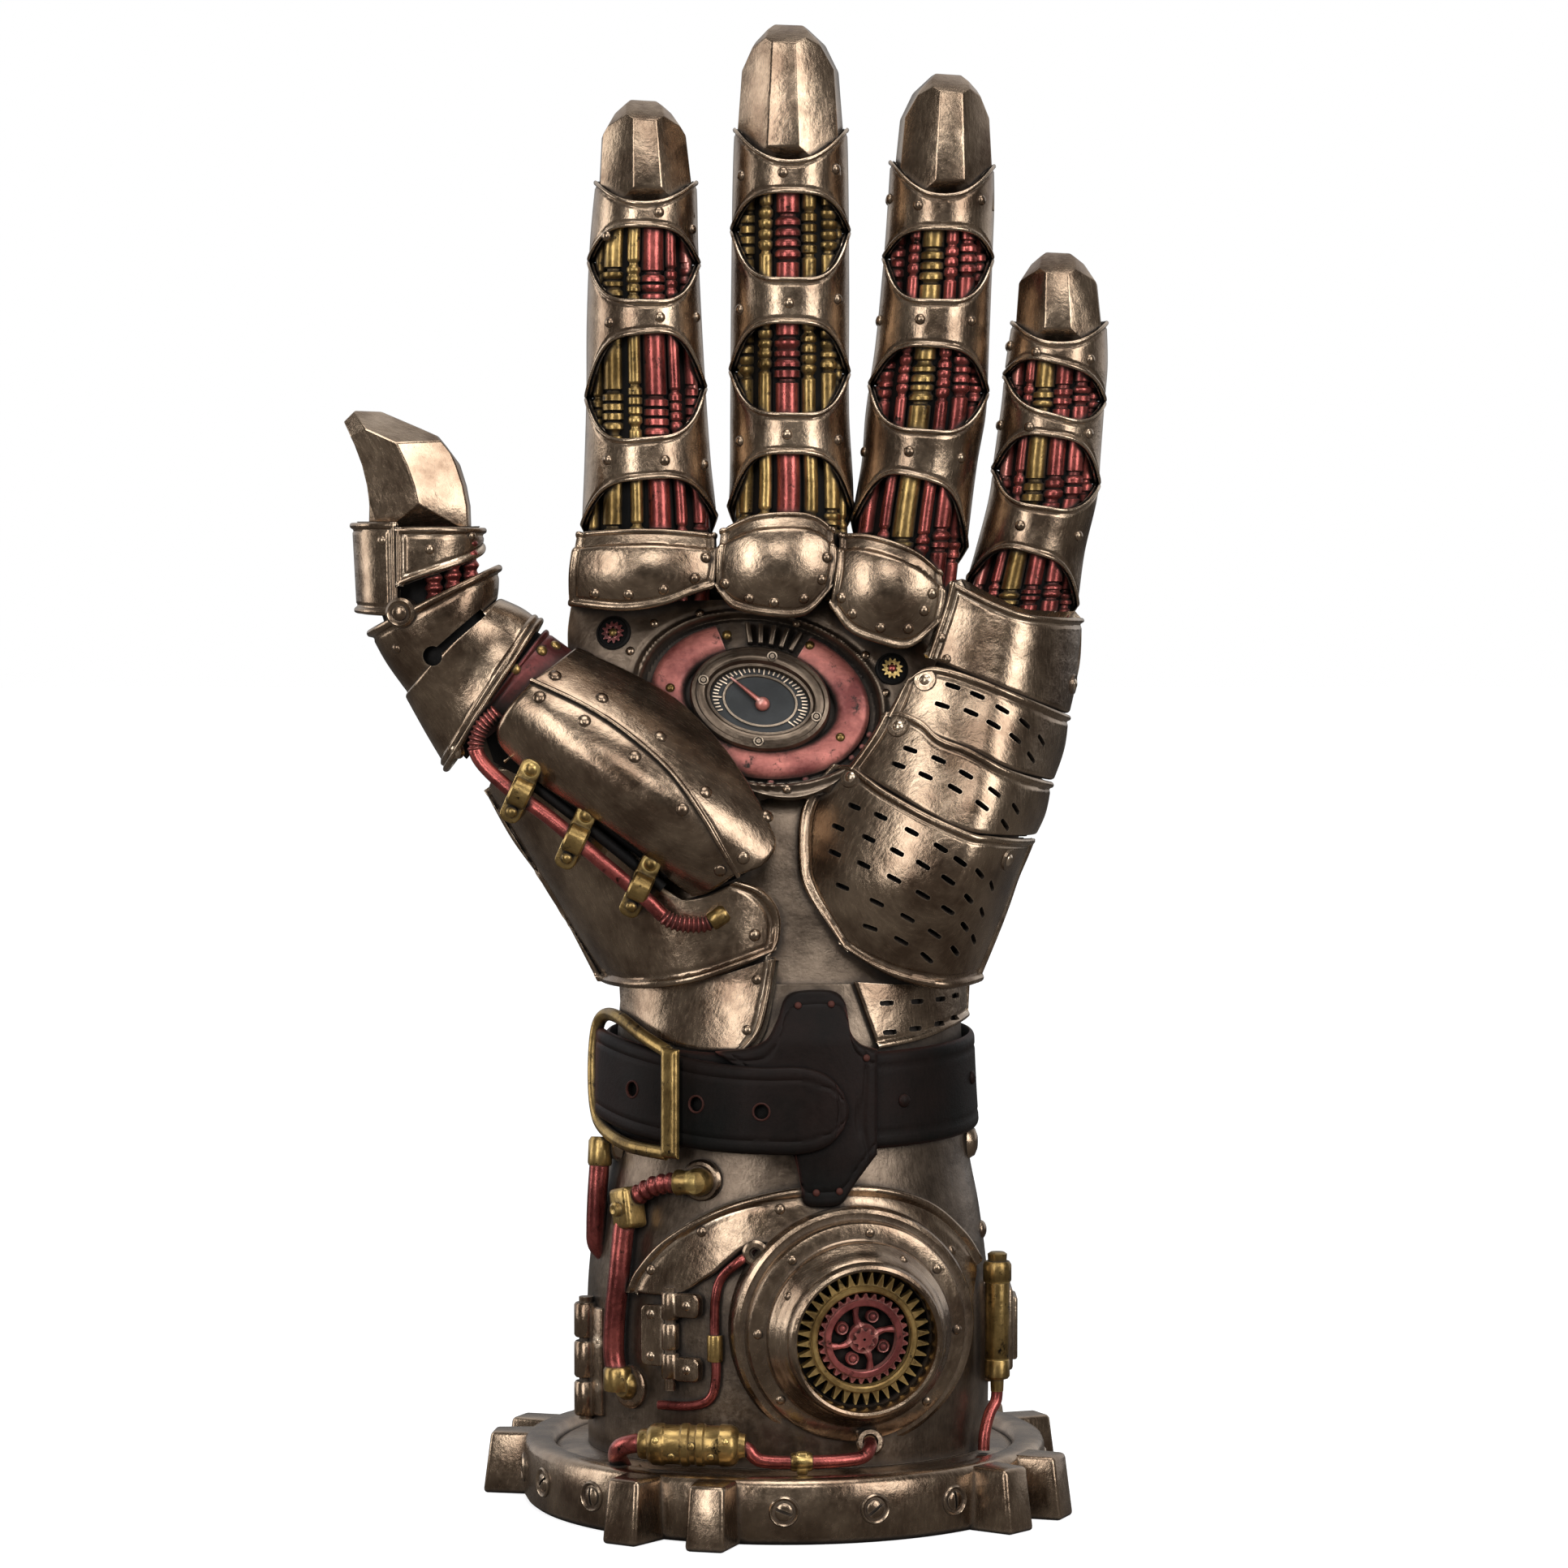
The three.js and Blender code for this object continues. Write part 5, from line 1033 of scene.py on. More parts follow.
# outline: height, left x, right x. rods: place across, radius, and g for gold or r for red.
# A rim or an opening's edge is (left, middle, right) height.
fingers = {
    "index": {
        "outline": [[184, -41.4, -13.4], [200, -40.9, -13.6], [212, -40.4, -14.8], [226, -40, -15.8],
                    [240, -39.9, -16.6], [255, -39.3, -17.3], [267, -38.2, -17.6], [276, -37, -18.3]],
        "depth": -7, "tipRim": (268.7, 263.8, 268.7),
        "openings": [((253.7, 259.8, 256.9), (251.3, 242.9, 247)), ((228.5, 238.4, 234.5), (221.3, 215.4, 219.5)),
                     ((201.9, 209.4, 205.8), (196, 196, 196))],
        "collars": [(0.10, 0.42), (0.10, 0.44), (0.0, 0.16)],
        "rods": [(-0.80, 0.9, "g"), (-0.50, 1.95, "g"), (-0.16, 1.0, "g"), (0.17, 2.0, "r"), (0.49, 0.9, "r"),
                 (0.73, 1.3, "r"), (0.88, 0.9, "r")],
        "rivets": [(-35.6, 257), (-25, 261.6), (-18.4, 258.6), (-35, 239.6), (-24.8, 240.6), (-17.6, 241),
                   (-35.4, 212.2), (-23.8, 212), (-16, 211.4)],
        "top": (-28.6, 284.6), "shoulder": 277.5, "turn": 4,
    },
    "middle": {
        "outline": [[184, -12, 14.4], [200, -11.4, 14.2], [208, -11, 14], [222, -10.9, 13.2], [247, -10.7, 13.2],
                    [275, -10.2, 12.9], [286, -9.3, 12.3]],
        "depth": -7, "tipRim": (279.3, 272, 279.3),
        "openings": [((263.7, 266.5, 263.8), (253.7, 247.3, 252.9)), ((235.2, 240.5, 235.2), (225.6, 220.3, 224.7)),
                     ((208.4, 214.5, 207.7), (197, 197, 197))],
        "collars": [(0.30, 0.74), (0.44, 0.84), (0.05, 0.2)],
        "rods": [(-0.86, 0.8, "g"), (-0.69, 1.45, "g"), (-0.41, 1.05, "g"), (-0.04, 2.1, "r"), (0.31, 1.15, "g"),
                 (0.62, 1.6, "g"), (0.86, 0.8, "g")],
        "rivets": [(-8.6, 269.2), (-0.2, 269.4), (10.4, 270.4), (-8.9, 242.4), (1, 243.4), (10.8, 244.4),
                   (-8.9, 216), (0.6, 217.2), (10.9, 216.2)],
        "top": (1.3, 299.6), "shoulder": 290.5, "turn": -9,
    },
    "ring": {
        "outline": [[180, 11, 35.4], [202, 14, 37.9], [212, 15.7, 39.2], [222, 16.5, 40.9], [236, 18.5, 41.5],
                    [255, 20.3, 42.2], [265, 21, 42.5], [278, 21.8, 42.2]],
        "depth": -7, "tipRim": (272.8, 265.3, 272),
        "openings": [((258.3, 259.2, 254.8), (248.1, 243, 251)), ((232.7, 235.8, 229), (222.6, 217, 223)),
                     ((208.4, 209.6, 203), (192, 190, 186))],
        "collars": [(0.34, 0.72), (0.40, 0.80), (0.16, 0.34)],
        "rods": [(-0.88, 0.8, "r"), (-0.70, 1.35, "r"), (-0.44, 0.9, "r"), (-0.12, 1.95, "g"), (0.22, 1.0, "r"),
                 (0.50, 1.6, "r"), (0.80, 1.3, "r")],
        "rivets": [(20.8, 264.8), (26.8, 263), (39.6, 264.2), (19, 240.4), (27.2, 240.2), (37.6, 240),
                   (16, 214), (25, 213.8), (35.6, 212.6)],
        "top": (32.6, 289.8), "shoulder": 281, "turn": 8,
    },
    "little": {
        "outline": [[172, 32.5, 58.2], [186, 36.5, 60], [194, 38.8, 61.1], [205, 41.6, 63.6], [213, 42.6, 64.2],
                    [224, 44.1, 65], [232, 44.9, 65.6], [244, 46.8, 65.2]],
        "depth": -5, "tipRim": (240.6, 235.9, 240.6),
        "openings": [((233.2, 231.7, 225.9), (226, 221, 222.5)), ((217.2, 217.2, 210.2), (204, 202.5, 204.8)),
                     ((197.1, 193.8, 189.6), (180, 178, 176))],
        "collars": [(0.20, 0.52), (0.12, 0.40), (0.36, 0.52)],
        "rods": [(-0.88, 0.8, "r"), (-0.74, 1.25, "r"), (-0.50, 0.8, "r"), (-0.22, 1.75, "g"), (0.13, 1.5, "r"),
                 (0.47, 1.7, "r"), (0.78, 1.25, "r")],
        "rivets": [(45.4, 235.4), (50.6, 233.8), (61.6, 232.4), (43, 219.4), (49.2, 218.8), (61.4, 217.6),
                   (47.4, 199), (59.4, 197)],
        "top": (55.4, 254.2), "shoulder": 248, "turn": -5,
    },
}
bandWall = 1.1
shadowStrips = {"middle": 93, "spread": 13, "inset": 0.75, "half": 0.5}    # near-black strips behind the sides of the bands: painted shadow in the openings
bandArch = {"rim": 2.2, "opening": 4.2, "overlap": 0.12, "backGap": 0.3, "knuckleDrop": 9}


def fingerPlace(finger, angle, z, inset=0.0):
    left, right = rowAt(finger["outline"], z, 1), rowAt(finger["outline"], z, 2)
    half = (right - left) / 2 - inset
    return Vector(((left + right) / 2 + half * sin(angle), finger["depth"] - half * cos(angle), z))


def edgeHeight(edge, back, fullness, angle):
    # An arched edge round a finger; a fuller arch stays flat for longer before it drops to the sides.
    left, middle, right = edge
    side = left + (right - left) * (sin(angle) + 1) / 2
    target = middle if cos(angle) > 0 else back
    return side + (target - (left + right) / 2) * (1 - abs(sin(angle)) ** fullness)


def cutGem(cuts, bevel=0.3):
    # A block trimmed by one plane after another: each cut is (a point on it, its outward way).
    bm = bmesh.new()
    bmesh.ops.create_cube(bm, size=90)
    for spot, way in cuts:
        bmesh.ops.bisect_plane(bm, geom=allOf(bm), plane_co=spot, plane_no=Vector(way).normalized(),
                               clear_outer=True)
        fillHoles(bm)
    bmesh.ops.remove_doubles(bm, verts=bm.verts, dist=0.15)
    faceOut(bm)
    bmesh.ops.bevel(bm, geom=bm.edges[:], offset=bevel, segments=2, profile=0.5, affect="EDGES", material=-1,
                    clamp_overlap=True)
    return bm


def fingerGem(middle, foot, half, shoulder, top, turn):
    high, rise = top.z - foot, shoulder - foot
    outline = [(half, 0), (0.88 * half, rise), (0.60 * half, rise + 0.62 * (high - rise)), (0.27 * half, high)]
    cuts = [((0, 0, -3), (0, 0, -1)), ((0, -0.98 * half, 0), (0, -1, 0.07)), ((0, 0.9 * half, 0), (0, 1, 0.12)),
            ((0, 0, high), (0.05, 0, 1)), ((0, -0.92 * half, high - 4.8), (0.05, -0.60, 0.80)),
            ((0, 0.3 * half, high - 0.9), (0, 0.6, 0.8)), ((0, -0.96 * half, 2.8), (0, -0.80, -0.60))]
    for side in (-1, 1):
        for (x0, z0), (x1, z1) in zip(outline, outline[1:]):
            cuts.append(((side * x0, 0, z0), (side * (z1 - z0), 0, x0 - x1)))
        cuts += [((side * 0.31 * half, -0.98 * half, 0), (side * 0.62, -0.78, 0.08)),
                 ((side * 0.72 * half, 0.64 * half, 0), (side * 0.7, 0.7, 0.08)),
                 ((side * 0.36 * half, -0.8 * half, high - 3.6), (side * 0.66, -0.44, 0.61))]
    bm = cutGem(cuts)
    spun(bm, radians(turn))
    for vert in bm.verts:
        share = clamp(vert.co.z / high, 0, 1)
        vert.co += Vector((middle.x + (top.x - middle.x) * share, middle.y, foot))
    return bm


collars = {"pitch": 1.9, "crest": 1.06, "groove": 0.40, "grooveWidth": 0.18, "margin": 0.7, "neck": 0.66,
           "plain": 0.95}                    # pitch and margin in mm, the rest as parts of a radius or a pitch


def rodSize(finger, radius, shift):
    # A piston's radius at a height: smooth, with a few collars in each opening.
    spans = []
    for (above, below), (low, high) in zip(finger["openings"], finger["collars"]):
        foot, reach = below[1], above[1] - below[1]
        spans.append((foot + (low + shift) * reach, foot + (high + shift) * reach))

    def size(z):
        for low, high in spans:
            if low <= z <= high:
                rings = max(2, round((high - low) / collars["pitch"]))
                phase = (z - low) / (high - low) * rings % 1
                groove = max(0.0, 1 - min(phase, 1 - phase) / collars["grooveWidth"]) ** 0.7
                return radius * (collars["crest"] - collars["groove"] * groove)
            if low - collars["margin"] < z < high + collars["margin"]:
                return radius * collars["neck"]
        return radius * collars["plain"]
    return size


for name, finger in fingers.items():
    top = min(finger["tipRim"]) - 1
    low = finger["outline"][0][0]
    bm = gridMesh(32, 60, lambda s, t: fingerPlace(finger, 2 * pi * s, low + t * (top - low), bandWall + 2.2),
                  around=True, easeUp=0)
    for side in (1, -1):
        merge(bm, gridMesh(12, 40, lambda s, t, side=side: fingerPlace(
            finger, side * radians(shadowStrips["middle"] + shadowStrips["spread"] * cos(2 * pi * s)), low + t * (top - low),
            bandWall + shadowStrips["inset"] - shadowStrips["half"] * side * sin(2 * pi * s)), around=True, easeUp=0))
    fillHoles(bm)
    faceOut(bm)
    # The core and its strips are near-black: painted shadow between and behind the rods.
    finishPiece(bm, name + "Core", shadowBlack, "dark_bronze")
    for colour, material, slot in (("g", goldPaint, "gold_paint"), ("r", redPaint, "red_paint")):
        bm = bmesh.new()
        for number, (across, radius, paint) in enumerate(finger["rods"]):
            if paint != colour:
                continue
            radius = 0.25 + 1.12 * radius    # rods are cast a little fuller than their table says
            size = rodSize(finger, radius, 0.05 * (number % 3) - 0.04)
            inset = bandWall + 0.15 + radius

            def rodPlace(s, t):
                z = low + t * (top - low)
                half = (rowAt(finger["outline"], z, 2) - rowAt(finger["outline"], z, 1)) / 2
                angle = asin(clamp(across * half / (half - inset), -0.98, 0.98))
                spot = fingerPlace(finger, angle, z, inset)
                return spot + Vector((size(z) * sin(2 * pi * s), -size(z) * cos(2 * pi * s), 0))
            merge(bm, gridMesh(12, 206, rodPlace, around=True, easeUp=0))
        finishPiece(bm, name + ("GoldRods" if colour == "g" else "RedRods"), material, slot, smooth=50)

    overlap, backGap = bandArch["overlap"], bandArch["backGap"]
    edges = [(finger["tipRim"], sum(finger["tipRim"][::2]) / 2, bandArch["rim"])]
    trim = 0.5 if name == "little" else 1.3      # how far the bands' edges reach over the openings
    for above, below in finger["openings"]:
        left, right = (above[0] + below[0]) / 2, (above[2] + below[2]) / 2
        back = (left + right) / 2
        if below is finger["openings"][-1][1]:
            back -= bandArch["knuckleDrop"]
        edges += [((left - overlap, above[1] - trim, right - overlap), back + backGap, bandArch["opening"]),
                  ((left + overlap, below[1] + trim, right + overlap), back - backGap, bandArch["opening"])]
    for step, level in enumerate(("upper", "middle", "lower")):
        upperEdge, lowerEdge = edges[2 * step], edges[2 * step + 1]

        def bandPlace(s, t):
            angle = 2 * pi * s
            bottom, topHere = edgeHeight(*lowerEdge, angle), edgeHeight(*upperEdge, angle)
            return fingerPlace(finger, angle, bottom + t * (topHere - bottom))
        bandPlace.closed = True
        rims = {"top": lip(0.95, 0.4), "bottom": lip(0.95, 0.4)}
        bm = gridMesh(88, 40, dressed(bandPlace, rims), around=True, wall=bandWall, easeUp=0.75)
        finishPiece(bm, f"{name}Band{level.capitalize()}", bronze, replaced=f"{name}_band_{level}")
        bm = bmesh.new()
        for x, z in finger["rivets"][3 * step:3 * step + 3]:
            left, right = rowAt(finger["outline"], z, 1), rowAt(finger["outline"], z, 2)
            angle = asin(clamp((2 * x - left - right) / (right - left), -0.97, 0.97))
            for turn in (angle, pi - angle):
                way = Vector((sin(turn), -cos(turn), 0))
                addRivets(bm, [(fingerPlace(finger, turn, z), way)], radius=1.1, height=0.7)
        finishPiece(bm, f"{name}Rivets{level.capitalize()}", bronze)

    rim = sum(finger["tipRim"][::2]) / 2
    half = (rowAt(finger["outline"], rim, 2) - rowAt(finger["outline"], rim, 1)) / 2
    middle = Vector(((rowAt(finger["outline"], rim, 2) + rowAt(finger["outline"], rim, 1)) / 2, finger["depth"], 0))
    tip = fingerGem(middle, min(finger["tipRim"]), half - 0.65, finger["shoulder"],
                    Vector((finger["top"][0], 0, finger["top"][1])), finger["turn"])
    finishPiece(tip, name + "Tip", bronze, replaced=name + "_tip", smooth=20)
print("fingers made")


def dome(x, z, halfX, halfZ, crest, drop):
    return lambda px, pz: crest + drop * (((px - x) / halfX) ** 2 + ((pz - z) / halfZ) ** 2)


pads = {
    "Index": {
        "outline": {"top": [(-41.8, 198), (-34.5, 198.6), (-25, 198.8), (-13.4, 197.8)],
                    "right": [(-13.4, 197.8), (-13.2, 191), (-14.2, 186.6)],
                    "bottom": [(-43, 183), (-32.5, 182), (-24.5, 183), (-18.5, 185.2), (-14.2, 186.6)],
                    "left": [(-41.8, 198), (-43, 190), (-43, 183)]},
        "front": dome(-28, 189.5, 15, 10, -24.6, 3.6),
        "rivets": [(-37.8, 185.4), (-31, 185.2), (-24, 186.2), (-17.8, 188.4), (-15.6, 192.6)],
    },
    "Middle": {
        "outline": {"top": [(-13.1, 198.4), (-6.5, 201.4), (1, 202.2), (6.5, 201.4), (10.5, 198.4)],
                    "right": [(10.5, 198.4), (10.6, 191.5), (9.2, 186.4)],
                    "bottom": [(-13.4, 186.4), (-10, 182.5), (-2, 180.8), (4.5, 181.3), (9.2, 186.4)],
                    "left": [(-13.1, 198.4), (-13.7, 192), (-13.4, 186.4)]},
        "front": dome(-2, 190.5, 12, 11, -25.2, 3.6),
        "rivets": [(-11.8, 187.4), (-7, 184.4), (-2, 183.6), (4, 184.4), (7.6, 188.2), (8.6, 192.6)],
    },
    "Ring": {
        "outline": {"top": [(10.6, 197.8), (16, 197.8), (21.5, 196.4), (27, 194), (32, 189.8)],
                    "right": [(32, 189.8), (32.4, 185), (31, 179.6)],
                    "bottom": [(9.2, 183), (13, 178), (18.5, 175.6), (25, 174.6), (31, 179.6)],
                    "left": [(10.6, 197.8), (10.4, 191), (9.2, 183)]},
        "front": dome(20.5, 186, 11.5, 11.5, -25.2, 3.6),
        "rivets": [(11.4, 184.6), (13.6, 181.4), (19.2, 178.6), (24.8, 178.4), (28, 182), (29.6, 185.4)],
    },
}


def padRim(distance):
    # The collar over a pad: a lip, a flat strip, then the crease where the dome starts.
    if distance < 1.0:
        return 0.5 * bulge(distance) - 0.9
    if distance < 3.2:
        return -1.1
    if distance < 4.4:
        return -1.1 + 1.1 * sin(pi / 2 * (distance - 3.2) / 1.2)
    return 0.0


for name, pad in pads.items():
    place = between(pad["outline"], pad["front"])
    rims = {"bottom": lip(1.3, 0.55), "left": lip(1.1, 0.4), "right": lip(1.1, 0.4)}
    body = dressed(place, rims)

    def padPlace(s, t):
        across, upward, normal = normalOf(place, s, t)
        return body(s, t) + normal * padRim((1 - t) * upward.length)
    finishPiece(thick(gridMesh(58, 54, padPlace), 18), "pad" + name, bronze, replaced="pad_" + name.lower())
    rivets(f"pad{name}Rivets", place, pad["rivets"], radius=1.15, height=0.75)

heelRows = [[104, 29, 40, -25], [115, 30, 44, -29], [128, 33, 48, -33], [141, 36, 54, -32], [154, 38, 57.5, -28.5],
            [165, 40, 59.5, -25.5], [182, 44, 61, -23]]


def heelFront(x, z):
    crestX, edgeX, crest = (rowAt(heelRows, z, column) for column in (1, 2, 3))
    if x < crestX:
        return crest + 9 * ((crestX - x) / 26) ** 2
    return crest * sqrt(1 - min((x - crestX) / (edgeX - crestX), 0.99) ** 2)


littleBase = between({
    "top": [(33.4, 188), (42, 183.6), (49.5, 181.2), (60.6, 180.4)],
    "right": [(60.6, 180.4), (60.2, 171), (57.8, 161)],
    "bottom": [(28.6, 172.8), (34, 170.4), (44, 166.4), (57.8, 161)],
    "left": [(33.4, 188), (31.8, 182), (28.6, 172.8)],
}, heelFront)
basePlace = dressed(littleBase, {"top": lip(1.2, 0.5), "left": lip(1.4, 0.6), "bottom": softEdge(1, 1)})
finishPiece(gridMesh(80, 50, basePlace, wall=3.0), "littleBasePlate", bronze, replaced="little_base_plate")
rivets("littleBaseRivets", littleBase, [(31.4, 176.6), (32.4, 172.4)], radius=0.95)
bm = bmesh.new()
for x, z in ((58.6, 167), (56, 155.2), (51.6, 141.6)):
    spot, normal = touch(littleBase, 58.6, z) if z > 162 else (Vector((x, -5, z)), Vector((0.95, -0.3, 0)))
    addRivets(bm, [(spot, normal)], radius=1.3, disc=2.3)
finishPiece(bm, "sideRivets", bronze)

lames = {
    "1": {
        "outline": {"top": [(24.6, 167.8), (28, 170.6), (32, 170.6), (38.5, 168.6), (47, 165.2), (57.6, 160.8)],
                    "right": [(57.6, 160.8), (57, 154), (54.4, 147.6)],
                    "bottom": [(20.6, 161), (27.5, 158), (37, 154.4), (45, 150.6), (54.4, 147.6)],
                    "left": [(24.6, 167.8), (22.8, 165), (20.6, 161)]},
        "rows": [[(33.6, 167), (38.5, 165.2), (43.5, 162.4), (48.1, 159.5), (51.6, 156)],
                 [(31.5, 163.2), (37.2, 161.8), (41.7, 159.4), (46.1, 156.6), (49.4, 152.7)]],
        "discs": [(28.2, 168.2)], "grid": (90, 40),
    },
    "2": {
        "outline": {"top": [(20, 161.4), (23.4, 161.8), (27.6, 160), (31, 157), (37, 154.6), (44.5, 150.6),
                            (54, 147.4)],
                    "right": [(54, 147.4), (53, 141), (50.8, 136.4)],
                    "bottom": [(13, 150.6), (21, 146.2), (29, 141.6), (37, 138.2), (50.8, 136.4)],
                    "left": [(20, 161.4), (17.6, 157), (13, 150.6)]},
        "rows": [[(25.1, 154.4), (30.7, 152.5), (36.1, 149.6), (41.8, 146.1), (46.2, 142.6)],
                 [(22.8, 151.3), (28.1, 149.3), (33.9, 146.8), (39.3, 143.5), (44, 139.5)]],
        "discs": [(22.8, 159)], "grid": (90, 40),
    },
    "3": {
        "outline": {"top": [(9.6, 150.8), (13.4, 151), (17, 148.6), (20.5, 146.2), (29, 141.6), (37.4, 138),
                            (41, 137.4), (50.4, 136)],
                    "right": [(50.4, 136), (46, 124), (39, 107.2)],
                    "bottom": [(12, 115), (19, 110.4), (25.5, 107.8), (32.5, 106.6), (39, 107.2)],
                    "left": [(9.6, 150.8), (4, 143), (3, 133.5), (4.4, 126.4), (12, 115)]},
        "rows": [[(14, 143), (19.2, 141.2), (25.3, 138.3), (31, 135.2), (34.9, 132.5), (38.9, 129.9), (41.4, 127.2)],
                 [(10.8, 138.8), (16.8, 136.8), (22.4, 134.3), (27.5, 131.8), (32.5, 128.8), (36.7, 124.9),
                  (39.5, 121.9)],
                 [(10.1, 133.7), (15.8, 131.6), (21.8, 129), (27.5, 125.8), (32.5, 122.7), (36, 119.2),
                  (37.9, 116.4)],
                 [(11.6, 127.1), (18.4, 124.1), (24.5, 121.1), (29.9, 117.9), (34.1, 114.3)],
                 [(17.1, 119), (23.3, 116.4), (28.4, 113)]],
        "discs": [(13.3, 148.8), (44.7, 132.4)], "grid": (100, 90),
    },
}


def cutSlots(piece, place, rows, size, turns):
    # Rounded slots pressed through a plate, leaning more from the first of a row to the last.
    cutter = bmesh.new()
    for row in rows:
        for index, (x, z) in enumerate(row):
            turn = turns[0] + (turns[1] - turns[0]) * index / (len(row) - 1)
            spot, normal = touch(place, x, z)
            pin = bmesh.new()
            bmesh.ops.create_cone(pin, cap_ends=True, segments=12, radius1=size[1] / 2, radius2=size[1] / 2,
                                  depth=5.6)
            for vert in pin.verts:
                vert.co.x += (size[0] - size[1]) / 2 * (1 if vert.co.x > 1e-5 else -1 if vert.co.x < -1e-5 else 0)
            spun(pin, radians(-turn))
            placed(pin, facing(spot, normal))
            merge(cutter, pin)
    cutAway(piece, cutter)


slotSize = (3.3, 1.1)
for name, lame in lames.items():
    place = between(lame["outline"], heelFront)
    rims = {"top": lip(1.3, 0.55), "bottom": softEdge(1.0, 1.0), "left": lip(1.5, 0.6)}
    if name == "3":
        rims = {"top": lip(1.3, 0.55), "bottom": lip(1.9, 1.0), "left": lip(1.9, 1.0), "right": lip(1.3, 0.5)}
    piece = finishPiece(plate(lame["grid"], place, rims, 1.8), f"lame{name}", bronze, replaced=f"lame_{name}")
    cutSlots(piece, place, lame["rows"], slotSize, (18, 44))
    bm = bmesh.new()
    addRivets(bm, [touch(place, x, z) for x, z in lame["discs"]], radius=1.3, disc=2.5)
    finishPiece(bm, f"lame{name}Rivets", bronze)
    # A near-black backing under each lame: painted shadow seen through its slots.
    under = between(lame["outline"], lambda x, z: heelFront(x, z) + 2.4)
    bm = gridMesh(40, 30, lambda s, t, under=under: under(0.02 + 0.93 * s, t))
    finishPiece(thick(bm, 2.6), f"lame{name}Backing", shadowBlack)

wristRight = between({
    "top": [(14, 108), (26, 107), (38, 107)],
    "right": [(38, 107), (37.6, 99)],
    "bottom": [(19, 94.6), (28, 96), (37.6, 99)],
    "left": [(14, 108), (16.6, 101), (19, 94.6)],
}, lambda x, z: armFront(x, z, 1.5))
wristRims = {"bottom": lip(1.2, 0.4), "left": softEdge(0.8, 0.6)}
piece = finishPiece(plate((60, 34), wristRight, wristRims, 1.4), "wristPlateRight", bronze,
                    replaced="wrist_plate_right")
cutSlots(piece, wristRight, [[(20.6, 103.6), (26.8, 103.6), (31.6, 103.7), (34.8, 104)],
                             [(21.2, 97.8), (26.4, 98.2), (31.4, 98.8), (34.6, 99.6)]], slotSize, (0, 0))
print("lames made")

thenarStart, thenarAlong = Vector((-52, 163)), Vector((0.826, -0.562))


def thenarFront(x, z):
    away = Vector((x, z)) - thenarStart
    along, across = away.dot(thenarAlong), away.x * thenarAlong.y - away.y * thenarAlong.x
    return -38 + 0.055 * across ** 2 + 0.006 * (along - 32) ** 2


def thenarBaseFront(x, z):
    edge = -37 - (z - 107) * 0.63
    across = clamp((x + 12) / (edge + 12), 0, 0.985)
    return -27.5 * sqrt(1 - across ** 2.4) + 0.035 * max(x + 12, 0) ** 2


seam = [(-50.4, 168.2), (-39.5, 163.2), (-31, 157.7), (-22.5, 150.2), (-16.5, 141.7), (-12, 133.7), (-9.4, 129.4)]
upperPlate = between({
    "top": [(-41.5, 175), (-37.5, 173.4), (-29, 169.4), (-20.5, 164.2), (-12, 155.7), (-5.5, 146), (-1.4, 137)],
    "right": [(-1.4, 137), (-1.6, 134.4), (-4.4, 131.4), (-9.4, 129.4)],
    "bottom": seam,
    "left": [(-41.5, 175), (-46, 171.6), (-50.4, 168.2)],
}, lambda x, z: thenarFront(x, z) - 0.9)
lowerPlate = between({
    "top": [(x + 0.8, z + 1.0) for x, z in seam],
    "right": [(-8.6, 130.4), (-14.5, 126), (-18.6, 124.6)],
    "bottom": [(-54, 152.5), (-47, 146), (-36, 139), (-28.5, 133.4), (-23.5, 128.4), (-18.6, 124.6)],
    "left": [(-49.6, 169.2), (-55.5, 162.5), (-57.8, 157), (-54, 152.5)],
}, thenarFront)
upperRims = {"bottom": lip(0.9, 0.3, 0.1), "top": softEdge(1.6, 1.6), "right": softEdge(1.2, 1.2),
             "left": softEdge(0.9, 0.8)}
finishPiece(plate((110, 46), upperPlate, upperRims, 9), "thenarPlateUpper", bronze,
            replaced="thenar_plate_upper")
lowerRims = {"bottom": softEdge(1.6, 1.6), "right": softEdge(1.0, 1.0), "left": softEdge(1.6, 1.6)}
finishPiece(plate((110, 50), lowerPlate, lowerRims, 7), "thenarPlateLower", bronze,
            replaced="thenar_plate_lower")
rivets("thenarRivets", upperPlate, [(-45.4, 169.2), (-36, 164.8), (-24.4, 157.2), (-15.4, 146.4), (-8, 133.4),
                                    (-3.2, 142)], radius=1.35, height=0.5)
rivets("thenarLowerRivets", lowerPlate, [(-48.4, 165), (-39.4, 160.4), (-29.4, 153.4), (-20, 143), (-12.6, 130.8)],
       radius=1.35, height=0.5)
# the rounded body under both plates closes their ends; it is near-black, painted shadow in the gaps round the plates
bodyOutline = {
    "top": [(-44, 173.4), (-30, 168), (-20, 162), (-12, 154), (-6, 145), (-3, 137)],
    "right": [(-3, 137), (-6, 131), (-12, 127.6), (-18, 126)],
    "bottom": [(-58.5, 151.5), (-48, 146), (-37, 138.5), (-28.5, 133), (-23, 129), (-18, 126)],
    "left": [(-44, 173.4), (-54, 168), (-60, 160.5), (-58.5, 151.5)],
}
body = between(bodyOutline, lambda x, z: thenarFront(x, z) + 8)
finishPiece(thick(gridMesh(60, 40, body), 16), "thenarBody", shadowBlack, "dark_bronze")

bm = tubeMesh([(-26, 4, 128), (-42, 1, 144), (-54, -5, 156), (-64, -11, 165)],
              lambda t: 15 - 6.5 * min(t / 0.75, 1) ** 1.4, sides=40, steps=40)
finishPiece(bm, "thumbRoot", greyBronze)

